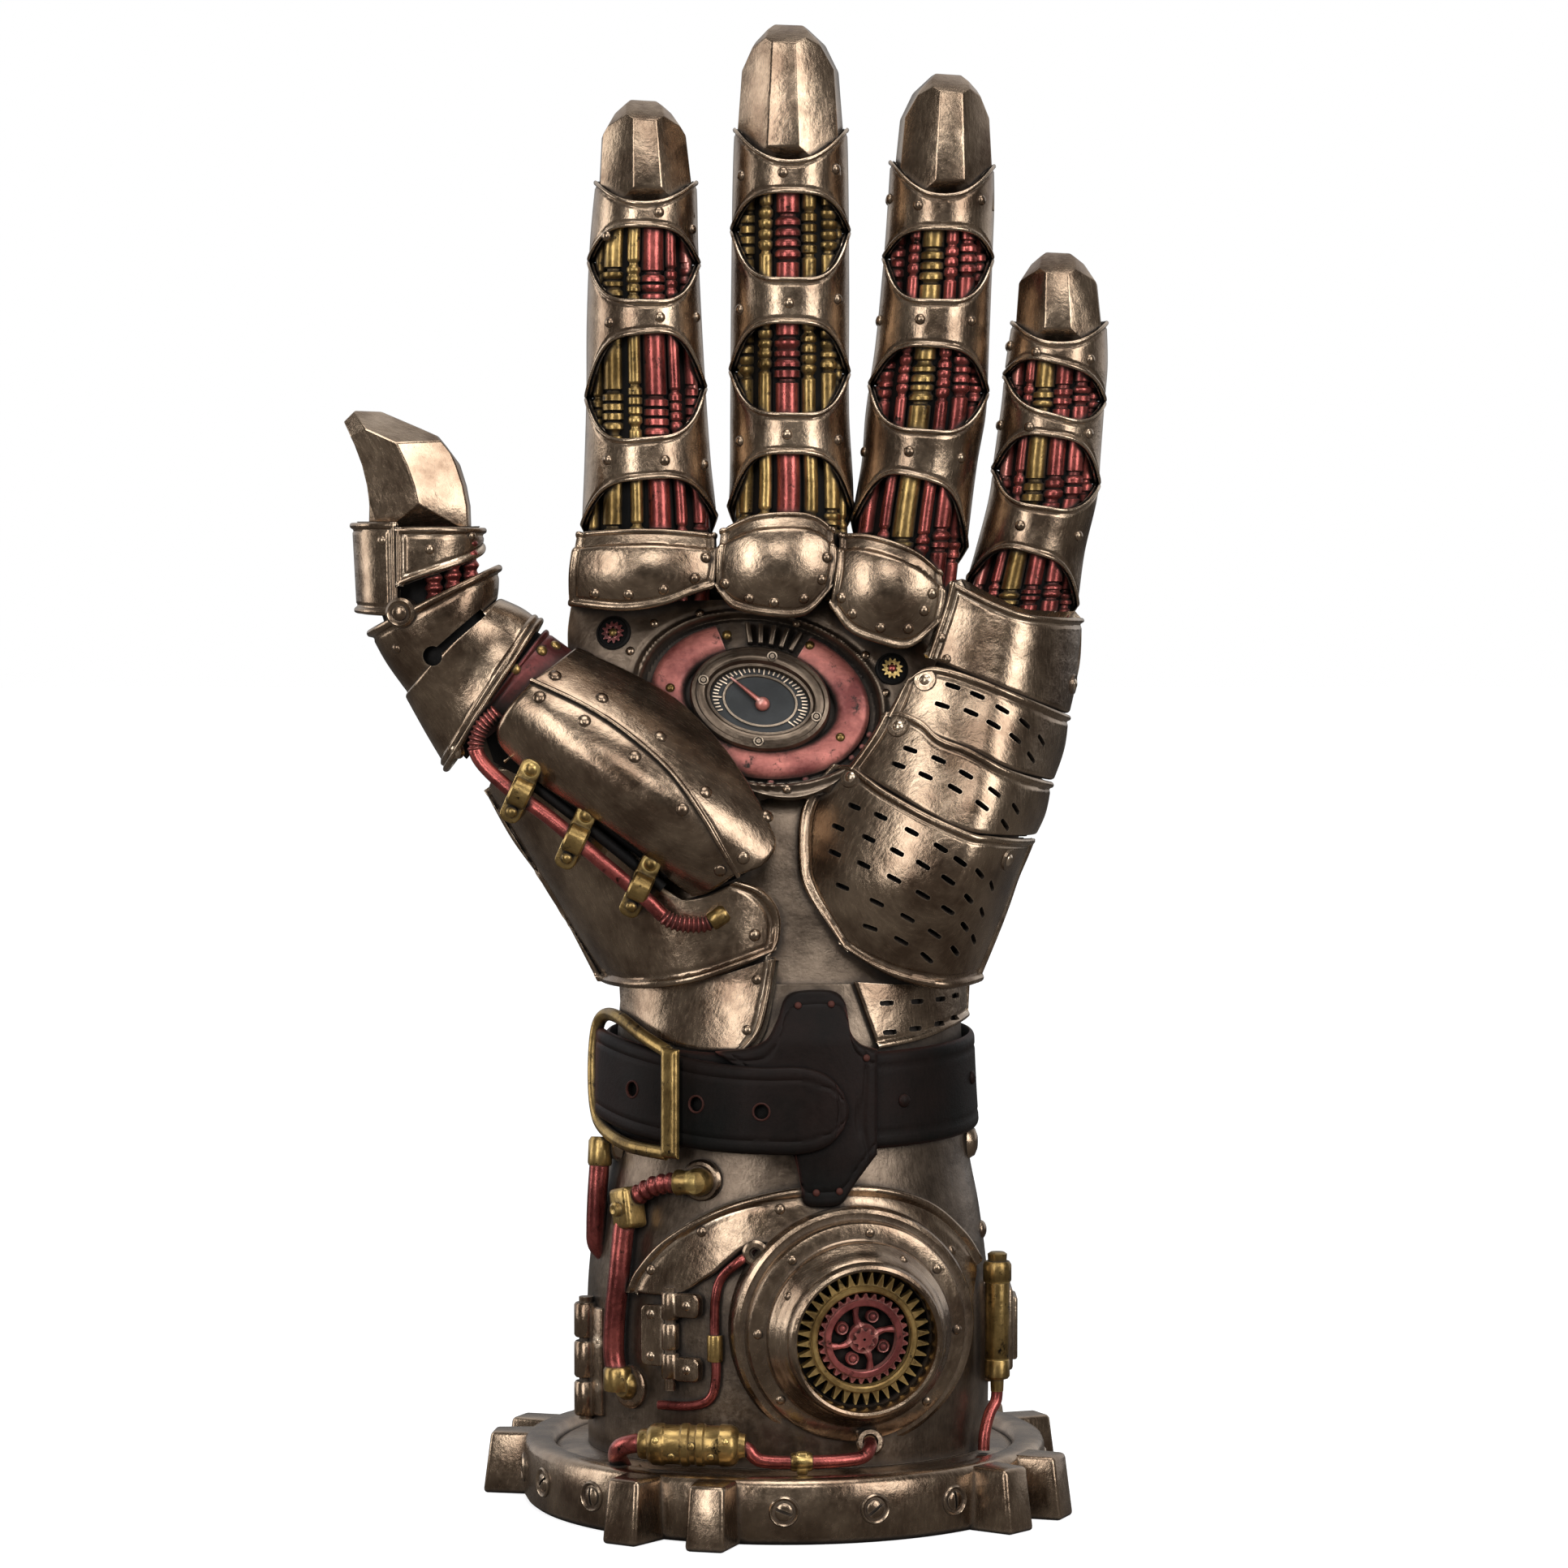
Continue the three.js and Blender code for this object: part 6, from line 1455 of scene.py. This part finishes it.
thenarBase = between({
    "top": [(-60.8, 145.2), (-57, 150.6), (-50, 146.4), (-40, 139.4), (-30, 131), (-22, 125), (-16, 125.4),
            (-9.2, 128.4)],
    "right": [(-9.2, 128.4), (-4.4, 126.4), (-1.2, 122), (-1, 117), (-2.6, 113.6)],
    "bottom": [(-38, 106.4), (-27.5, 106.4), (-16, 108.4), (-2.6, 113.6)],
    "left": [(-60.8, 145.2), (-55.4, 135.4), (-47, 123.4), (-38, 106.4)],
}, thenarBaseFront)
baseRims = {"bottom": lip(1.8, 0.9), "right": lip(1.8, 0.9), "left": lip(1.4, 0.6), "top": softEdge(1, 1)}
finishPiece(plate((96, 60), thenarBase, baseRims, 3), "thenarBase", bronze,
            replaced="thenar_base")
rivets("thenarBaseRivets", thenarBase, [(-5.8, 117.4)], radius=1.3)

hoseRoute = [(-57, -27, 162), (-60.4, -26.6, 158.4), (-61, -26.8, 153.4), (-55.5, -28.2, 147.4),
             (-46.5, -30.2, 141), (-37, -31.2, 133), (-27.5, -31.2, 125), (-22.5, -31, 120.6), (-16.4, -30.6, 119.8),
             (-12.8, -30.4, 121.4)]


def hoseSize(t):
    if t < 0.13 or t > 0.83:
        return 1.5 * (1 + 0.15 * sin(2 * pi * t * 74))
    return 1.5


finishPiece(tubeMesh(hoseRoute, hoseSize, sides=16, steps=520), "thenarHose", redPaint, "red_paint",
            "thenar_hose")
bm = turnedMesh([(0.01, 0), (1.7, 0), (1.95, 0.4), (1.95, 3.2), (1.5, 3.9), (0.01, 4)], (-14.6, -30.6, 120.2),
                (0.8, 0.05, 0.55), steps=24)
finishPiece(bm, "thenarHoseEnd", goldPaint, "gold_paint")
# The rails under the clamps are near-black: painted shadow.
bm = tubeMesh([(-50, -27.6, 147.6), (-38, -29.2, 138.4), (-24, -29.4, 127)], 1.1, sides=12, steps=40)
merge(bm, tubeMesh([(-48.5, -27.4, 149.6), (-37, -29, 140.8), (-23, -29.2, 129.6)], 0.9, sides=12, steps=40))
finishPiece(bm, "clampRails", shadowBlack, "gold_paint")
bm = bmesh.new()
clampWay = Vector((-0.10, -1, -0.10)).normalized()
clampUp = Vector((0.42, 0, 0.907))
for x, z in ((-52.3, 145.8), (-41.4, 136.6), (-28.6, 127.0)):
    spot = Vector((x, -30.6, z))
    merge(bm, blockMesh((4.2, 13.6, 8.0), spot + clampUp * 1.0 + Vector((0, 3.6, 0)), clampWay, bevel=0.4,
                        up=clampUp, corner=1.6))
    merge(bm, turnedMesh([(0.01, -2.1), (2.6, -2.1), (3.0, -1.7), (3.0, 1.7), (2.6, 2.1), (0.01, 2.1)],
                         spot + clampUp * 0.2, (0.907, 0, -0.42), steps=24))
    addRivets(bm, [(spot + clampUp * 5.4 + clampWay * 0.4, clampWay)], radius=1.6, height=0.8, disc=1.95)
    addRivets(bm, [(spot - clampUp * 3.9 + clampWay * 0.4, clampWay)], radius=1.2, height=0.8)
finishPiece(bm, "hoseClamps", goldPaint, "gold_paint", "hose_clamps")
print("thumb ball made")


def loftPlace(stations):
    # A tilted oval tube: each station is (left, right, half depth) in the front view.
    rows = [[index, *left, *right, half] for index, (left, right, half) in enumerate(stations)]
    last = len(rows) - 1

    def place(s, t):
        at = t * last
        leftX, leftZ, rightX, rightZ, half = (rowAt(rows, at, column) for column in (1, 2, 3, 4, 5))
        angle = 2 * pi * s
        across, ahead = signedPower(sin(angle), 0.9), signedPower(cos(angle), 0.9)
        return Vector(((leftX + rightX) / 2 + across * (rightX - leftX) / 2, thumbDepth - ahead * half,
                       (leftZ + rightZ) / 2 + across * (rightZ - leftZ) / 2))
    place.closed = True
    return place


thumbDepth = -14
cuff = loftPlace([((-67.6, 149.6), (-48.6, 179.4), 12.2), ((-72, 157), (-52.6, 182.4), 11.4),
                  ((-76.4, 165), (-57.4, 184.6), 12.2)])


def doubleLip(distance):
    if distance < 1.3:
        return 0.8 * bulge(distance / 1.3)
    if distance < 2.6:
        return 0.55 * bulge((distance - 1.3) / 1.3)
    return 0.0


cuffPiece = finishPiece(gridMesh(90, 44, dressed(cuff, {"bottom": doubleLip, "top": softEdge(0.9, 0.7)}), around=True,
                                 wall=1.4, easeUp=0.8), "thumbCuff", bronze, replaced="thumb_housing")
midBand = loftPlace([((-75.0, 164.4), (-57.8, 183.8), 10.4), ((-80, 171.4), (-57.4, 187), 11.4),
                     ((-83.6, 178), (-57.4, 191.2), 11.6)])
midPiece = finishPiece(gridMesh(90, 40, dressed(midBand, {"top": lip(1.5, 0.7), "bottom": softEdge(0.8, 0.8)}),
                                around=True, wall=1.4, easeUp=0.8), "thumbMidBand", bronze)
inner = loftPlace([((-64, 152), (-47, 176), 9.2), ((-75.6, 165), (-58.4, 183.4), 9.2),
                   ((-80.6, 180), (-62, 190), 5.6), ((-82, 186), (-64.6, 195.6), 5.0),
                   ((-83, 196), (-65, 198), 5.0)])
bm = gridMesh(48, 50, inner, around=True, easeUp=0)
fillHoles(bm)
# The core is near-black: painted shadow seen through the thumb's openings.
finishPiece(bm, "thumbCore", shadowBlack, "dark_bronze", "thumb_core")
keyhole = {"foot": (-70, 173), "head": (-60, 181.7), "radius": 2.0, "slit": 1.7, "front": -26}


def keyholeCutter():
    # A round hole with a slit running up from it.
    (footX, footZ), (headX, headZ), front = keyhole["foot"], keyhole["head"], keyhole["front"]
    hole = bmesh.new()
    bmesh.ops.create_cone(hole, cap_ends=True, segments=24, radius1=keyhole["radius"], radius2=keyhole["radius"],
                          depth=12, matrix=Matrix.Translation((footX, front, footZ))
                          @ Matrix.Rotation(pi / 2, 4, "X"))
    runX, runZ = headX - footX, headZ - footZ
    slit = spun(cuboid((hypot(runX, runZ), 11.6, keyhole["slit"])), -atan2(runZ, runX), "Y")
    shifted(slit, (footX + runX / 2, front, footZ + runZ / 2))
    return merge(hole, slit)


cutAway(cuffPiece, keyholeCutter())
cutAway(midPiece, keyholeCutter())

shell = {"middle": -73.8, "half": 12.6, "deep": 10.2, "top": 199.6, "seam": -15}


def shellSpot(angle, z, lift=0.0):
    flare = 0.05 * (z - 190)
    return Vector((shell["middle"] + (shell["half"] + flare + lift) * sin(angle),
                   thumbDepth - (shell["deep"] + lift) * cos(angle), z))


def shellFront(s, t):
    angle = radians(shell["seam"] + (115 - shell["seam"]) * s)
    low = 186.6 + 8.4 * s ** 0.8
    return shellSpot(angle, low + t * (shell["top"] - 1 - low), 0.5)


def shellSide(s, t):
    angle = radians(-230 + (shell["seam"] + 230) * s)
    low = 181 + 1.5 * (1 - s)
    return shellSpot(angle, low + t * (shell["top"] - low))


shellRims = dict.fromkeys(sides, lip(1.2, 0.5))
bm = gridMesh(60, 34, dressed(shellFront, shellRims), wall=1.8)
merge(bm, gridMesh(90, 40, dressed(shellSide, shellRims), wall=1.8))
finishPiece(bm, "thumbShell", bronze, replaced="thumb_shell")
bm = bmesh.new()
for x, low, high in ((-70.2, 180, 192), (-66.6, 182, 195), (-63.2, 184, 197)):
    y = thumbDepth - 7.2 * sqrt(1 - ((x - shell["middle"]) / shell["half"]) ** 2)
    merge(bm, tubeMesh([(x + 0.6, y, low), (x, y, high)], ribbed(1.6, 6, 0.16), sides=16, steps=70))
finishPiece(bm, "thumbPistons", redPaint, "red_paint")

# The claw leans to the left: planes trim it upright, then it is bent over.
clawCuts = [((0, 0, -2), (0, 0, -1)), ((-9.4, 0, 0), (-1, 0, 0.09)), ((-6, 0, 21.7), (-0.5, 0, 0.87)),
            ((1.4, 0, 22.9), (0.03, 0, 1)), ((5.5, 0, 20.4), (0.52, 0, 0.86)), ((10.3, 0, 15), (0.96, 0, 0.27)),
            ((10.9, 0, 5), (1, 0, -0.02)), ((1, -7.45, 8), (0.42, -0.9, 0.0)), ((1, -6.2, 17.5), (0.25, -0.62, 0.74)),
            ((-2.4, -6.5, 20), (-0.32, -0.946, -0.016)), ((-5.4, -7.6, 8), (-0.66, -0.74, -0.12)),
            ((5, -5.9, 2.6), (0.1, -0.86, -0.5)), ((10.3, -3.4, 8), (0.93, -0.37, 0)),
            ((-4.5, -4.5, 20.2), (-0.45, -0.6, 0.66)), ((0, 8.8, 0), (0, 1, 0.1)), ((-7, 6, 0), (-0.7, 0.7, 0.08)),
            ((8, 6, 0), (0.7, 0.7, 0.08)), ((0, 3, 21.5), (0, 0.6, 0.8))]
claw = {"foot": 199, "lean": 8.2, "height": 22.5}
bm = cutGem(clawCuts)
for level in (4, 8, 12, 16, 19):
    bmesh.ops.bisect_plane(bm, geom=allOf(bm), plane_co=(0, 0, level),
                           plane_no=(0, 0, 1))
for vert in bm.verts:
    bend = claw["lean"] * (max(vert.co.z, 0) / claw["height"]) ** 2
    vert.co += Vector((shell["middle"] - bend, thumbDepth, claw["foot"]))
finishPiece(bm, "thumbTip", bronze, replaced="thumb_tip", smooth=11)
collarPlace = loftPlace([((-60, 156), (-40.5, 172.4), 10), ((-66, 155), (-48.2, 178), 10.4)])
finishPiece(gridMesh(72, 20, dressed(collarPlace, {"top": lip(1.0, 0.4)}), around=True, wall=2), "thumbCollar",
            shadedRed, "red_paint", "thumb_collar")
bm = bmesh.new()
addRivets(bm, [touch(collarPlace, x, z, (-0.25, 0.25)) for x, z in ((-53.6, 170.4), (-48.4, 174), (-45.8, 175))],
          radius=1.15)
finishPiece(bm, "collarRivets", goldPaint, "gold_paint")
bm = bmesh.new()
addRivets(bm, [touch(midBand, x, z, (-0.25, 0.25)) for x, z in ((-77.4, 174.4),)], radius=1.0)
addRivets(bm, [touch(shellFront, x, z) for x, z in ((-70.5, 194.2), (-62.4, 196.9))], radius=1.0)
addRivets(bm, [touch(shellSide, x, z) for x, z in ((-80.2, 196), (-79.2, 187.6))], radius=1.0)
spot, normal = touch(cuff, -65.6, 154.2, (-0.25, 0.25))
addRivets(bm, [(spot, normal)], radius=1.2, disc=2.0)
merge(bm, turnedMesh([(0.01, -3), (2.9, -3), (3.0, 1.0), (2.5, 1.6), (2.0, 1.2), (1.6, 1.1), (1.4, 1.7), (0.9, 2.0),
                      (0.01, 2.0)], (-76.2, -24.6, 181.6), (-0.2, -1, 0), steps=36))
finishPiece(bm, "thumbRivets", bronze)
print("thumb made")

gaugeSpot = Vector((-4.8, -14.2, 163.5))
gaugeTilt, gaugeRoll = radians(18), radians(-12)
gaugeFrame = Matrix.Translation(gaugeSpot) @ Matrix.Rotation(pi / 2 - gaugeTilt, 4, "X") \
    @ Matrix.Rotation(gaugeRoll, 4, "Z")
gaugeOvals = {"well": (24.4, 17.4), "bezel": (13.9, 10.4), "dial": (10.6, 7.3), "dialRing": (7.6, 5.4),
              "arc": (21.9, 15.8), "floor": (24.2, 17.2), "ticks": (9.7, 6.6), "arcEdge": (23.2, 16.6)}


def palmFace(x, z):
    return (gaugeSpot.y - 2.6 + (z - gaugeSpot.z) * tan(gaugeTilt)
            + 6 * clamp((abs(x + 5) - 22) / 20, 0, 1) ** 2)


palmFlat = between({
    "top": [(-43, 184), (-20, 184), (4, 184), (34, 182)],
    "right": [(34, 182), (30, 170), (20, 157)],
    "bottom": [(-43.6, 172), (-30, 164), (-16, 151), (-2, 145), (9, 147), (20, 157)],
    "left": [(-43, 184), (-43.8, 178), (-43.6, 172)],
}, palmFace)


def palmStep(spot):
    # The stepped oval round the gauge: a raised lip, then a well.
    local = gaugeFrame.inverted() @ spot
    ring = hypot(local.x / gaugeOvals["well"][0], local.y / gaugeOvals["well"][1])
    away = (ring - 1) * 20
    if away < 0:
        return -2.6 * min(-away / 0.8, 1)
    if away < 1.2:
        return 0.5 * sin(pi * away / 1.2)
    if away < 2.2:
        return -0.25 * sin(pi * (away - 1.2))
    return 0.0


def palmPlatePlace(s, t):
    spot = palmFlat(s, t)
    return spot + Vector((0, -cos(gaugeTilt), sin(gaugeTilt))) * palmStep(spot)


finishPiece(gridMesh(170, 116, palmPlatePlace, wall=2.2, easeAcross=0, easeUp=0), "palmPlate", greyBronze,
            replaced="gauge_plate")
rivets("palmRivets", palmFlat, [(-17, 181.4), (-26.2, 179.4), (-31, 173.8), (2.6, 179.4), (16.4, 173), (20.4, 165.4),
                                (0.6, 146.4)], radius=0.95)


def ovalBand(profile, halfX, halfY, columns=120, fromAngle=0.0, toAngle=2 * pi):
    # A profile of (distance from the oval, height) carried round an oval in the gauge's own plane.
    whole = toAngle - fromAngle > 2 * pi - 1e-6

    def place(s, t):
        angle = fromAngle + (toAngle - fromAngle) * s
        at = t * (len(profile) - 1)
        index = min(int(at), len(profile) - 2)
        (d0, h0), (d1, h1) = profile[index], profile[index + 1]
        out, high = d0 + (d1 - d0) * (at - index), h0 + (h1 - h0) * (at - index)
        return gaugeFrame @ Vector(((halfX + out) * cos(angle), (halfY + out) * sin(angle), high))
    return gridMesh(columns, (len(profile) - 1) * 2, place, around=whole, easeAcross=0, easeUp=0)


bezelProfile = [(0.4, -1), (0.4, 2.6), (0, 3.3), (-0.7, 3.5), (-1.0, 3.2), (-2.0, 3.5), (-2.6, 3.3), (-3.1, 2.4),
                (-3.6, 2.3), (-4.0, 0.2)]
bm = ovalBand(bezelProfile, *gaugeOvals["bezel"])
faceOut(bm)
finishPiece(bm, "gaugeBezel", greyBronze, replaced="gauge_bezel")
bm = turnedMesh([(0.01, -1), (1, -1), (1, 0), (0.01, 0)], steps=96)
for vert in bm.verts:
    vert.co = gaugeFrame @ Vector((vert.co.x * gaugeOvals["dial"][0], vert.co.y * gaugeOvals["dial"][1],
                                   0.9 + vert.co.z))
finishPiece(bm, "gaugeDial", charcoal, "dial", "gauge_dial")
bm = bmesh.new()
merge(bm, ovalBand([(0, 0.6), (0, 1.25), (-0.4, 1.3), (-0.5, 0.9)], *gaugeOvals["dialRing"]))
for tick in range(40):
    angle = radians(-35 + 250 * tick / 39)
    length = 1.9 if tick % 5 == 0 else 1.2
    outer = Vector((gaugeOvals["ticks"][0] * cos(angle), gaugeOvals["ticks"][1] * sin(angle), 1.0))
    innerSpot = outer * (1 - length / 10)
    way = Vector((outer.x - innerSpot.x, outer.y - innerSpot.y, 0))
    bar = cuboid((way.length, 0.26, 0.3))
    spun(bar, atan2(way.y, way.x))
    shifted(bar, ((outer.x + innerSpot.x) / 2, (outer.y + innerSpot.y) / 2, 1.0))
    placed(bar, gaugeFrame)
    merge(bm, bar)
finishPiece(bm, "gaugeTicks", greyBronze)
needleWay = Vector((-7.4, 4.0, 0))
hub = Vector((0.6, -0.6, 1.2))
bm = bmesh.new()
bmesh.ops.create_cone(bm, cap_ends=True, segments=10, radius1=0.6, radius2=0.22, depth=needleWay.length)
placed(bm, facing(hub + needleWay / 2 + Vector((0, 0, 0.5)), needleWay.normalized()))
bmesh.ops.create_uvsphere(bm, u_segments=20, v_segments=12, radius=1.5,
                          matrix=Matrix.Translation(hub) @ Matrix.Diagonal((1, 1, 0.8, 1)))
placed(bm, gaugeFrame)
finishPiece(bm, "gaugeNeedle", salmonPaint, "red_paint")
bm = bmesh.new()
for x, y in ((0.6, 8.9), (-11.9, 1.2), (11.9, -1.6), (1.6, -9.0)):
    merge(bm, turnedMesh([(0.01, 0.4), (0.45, 0.4), (0.5, 0.05), (0.62, 0.0), (0.75, 0.25), (1.0, 0.3), (1.1, 0.0),
                          (1.1, -0.4)], gaugeFrame @ Vector((x, y, 3.4)), (gaugeFrame @ Vector((0, 0, 1)))
                         - gaugeSpot, steps=20))
finishPiece(bm, "bezelScrews", greyBronze)
arcFrom, arcTo = radians(-237), radians(71)
arcProfile = [(0.6, -0.6), (0.3, 1.2), (-0.4, 1.8), (-1.6, 2.1), (-3.4, 2.2), (-5.0, 2.0), (-6.0, 1.5), (-6.6, 0.6)]
bm = ovalBand(arcProfile, *gaugeOvals["arc"], 150, arcFrom, arcTo)
faceOut(bm)
walled(bm, 0.8)
finishPiece(bm, "gaugeArc", salmonPaint, "red_paint", "gauge_arc")
# A near-black floor in the well round the gauge: painted shadow.
bm = ovalBand([(-10.5, -0.4), (-5, -0.5), (0, -0.4), (2.4, -0.4)], *gaugeOvals["floor"], 96)
faceOut(bm)
finishPiece(bm, "gaugeWellFloor", shadowBlack)
gaugeOut = ((gaugeFrame @ Vector((0, 0, 1))) - gaugeSpot).normalized()


def onGauge(x, y, height):
    return gaugeFrame @ Vector((x, y, height))


bm = bmesh.new()
addRivets(bm, [(onGauge(x, y, 2.0), gaugeOut) for x, y in ((-9.4, 11.9), (7.4, 13.2), (-18.2, -1.4), (17.4, -4.4))],
          radius=1.0)
finishPiece(bm, "arcRivets", goldPaint, "gold_paint")
bm = bmesh.new()
for turn in (-8, -18, -28, -42, -58, -76, -92):
    x, y = gaugeOvals["arcEdge"][0] * cos(radians(turn)), gaugeOvals["arcEdge"][1] * sin(radians(turn))
    addRivets(bm, [(onGauge(x, y, 0.6), gaugeOut)], radius=0.75)
finishPiece(bm, "arcEdgeRivets", salmonPaint, "red_paint")
bm = bmesh.new()
for step in range(5):
    angle = radians(106 - 7.4 * step)
    low = onGauge(16.0 * cos(angle), 11.6 * sin(angle), 1.4)
    high = onGauge(21.6 * cos(angle), 16.0 * sin(angle), 1.4)
    merge(bm, blockMesh((1.1, (high - low).length, 2.0), (low + high) / 2, gaugeOut, bevel=0.35, up=(high - low)))
finishPiece(bm, "gaugeVents", greyBronze)

for name, x, z, size, ringPaint, midPaint in (("Left", -34.4, 177.4, 3.0, shadedRed, goldPaint),
                                              ("Right", 21.7, 170.2, 2.8, goldPaint, redPaint)):
    spot, normal = touch(palmFlat, x, z)
    # A near-black seat round each wheel: painted shadow of its hole.
    bm = turnedMesh([(0.01, 0.12), (size, 0.12), (size + 0.1, 0.5), (size + 0.5, 0.3), (size + 0.6, -0.3)], spot,
                    normal, steps=36)
    finishPiece(bm, f"wheelSeat{name}", shadowBlack)
    bm = gearMesh(12, size * 0.58, size * 0.76, size * 0.4, 0.5, 0.2)
    for quarter in range(3):
        merge(bm, shifted(spun(cuboid((size * 0.9, 0.45, 0.4)), pi / 3 * quarter), (0, 0, 0.45)))
    placed(bm, facing(spot, normal))
    finishPiece(bm, f"palmWheel{name}", ringPaint, "red_paint" if name == "Left" else "gold_paint")
    bm = bmesh.new()
    addRivets(bm, [(spot + normal * 0.5, normal)], radius=0.9)
    finishPiece(bm, f"palmWheelHub{name}", midPaint, "gold_paint" if name == "Left" else "red_paint")
print("gauge made")


def palmBack(x, z):
    left, right, front, back = (rowAt(palmRows, z, column) for column in (1, 2, 3, 4))
    across = min(abs((2 * x - left - right) / (right - left)), 0.97)
    return (front + back) / 2 + (back - front) / 2 * (1 - across ** 2.5) ** 0.4


backPlate = between({
    "top": [(48, 172), (20, 184), (-10, 188), (-34, 184)],
    "right": [(-34, 184), (-38, 160), (-36, 138), (-27, 111)],
    "bottom": [(30, 111), (0, 109), (-27, 111)],
    "left": [(48, 172), (46, 150), (30, 111)],
}, lambda x, z: palmBack(x, z) + 2.2)
backRims = dict.fromkeys(sides, lip(1.8, 0.7))
finishPiece(plate((60, 54), backPlate, backRims, -6), "backPlate", bronze,
            replaced="back_plate")
rivets("backPlateRivets", backPlate, [(41, 166), (18, 178.6), (-8, 182.4), (-29.6, 179), (-33, 158), (-31, 138),
                                      (-23, 115.6), (1, 113.4), (26.4, 115.6), (41, 148)], radius=1.2)

for node in list(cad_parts.values()):
    if not node.hide_render and not node.data.materials:
        node.data.materials.append(bronze)
print("back made")

low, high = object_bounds()
{"cad": [list(cadLow), list(cadHigh)], "visual": [list(low), list(high)]}
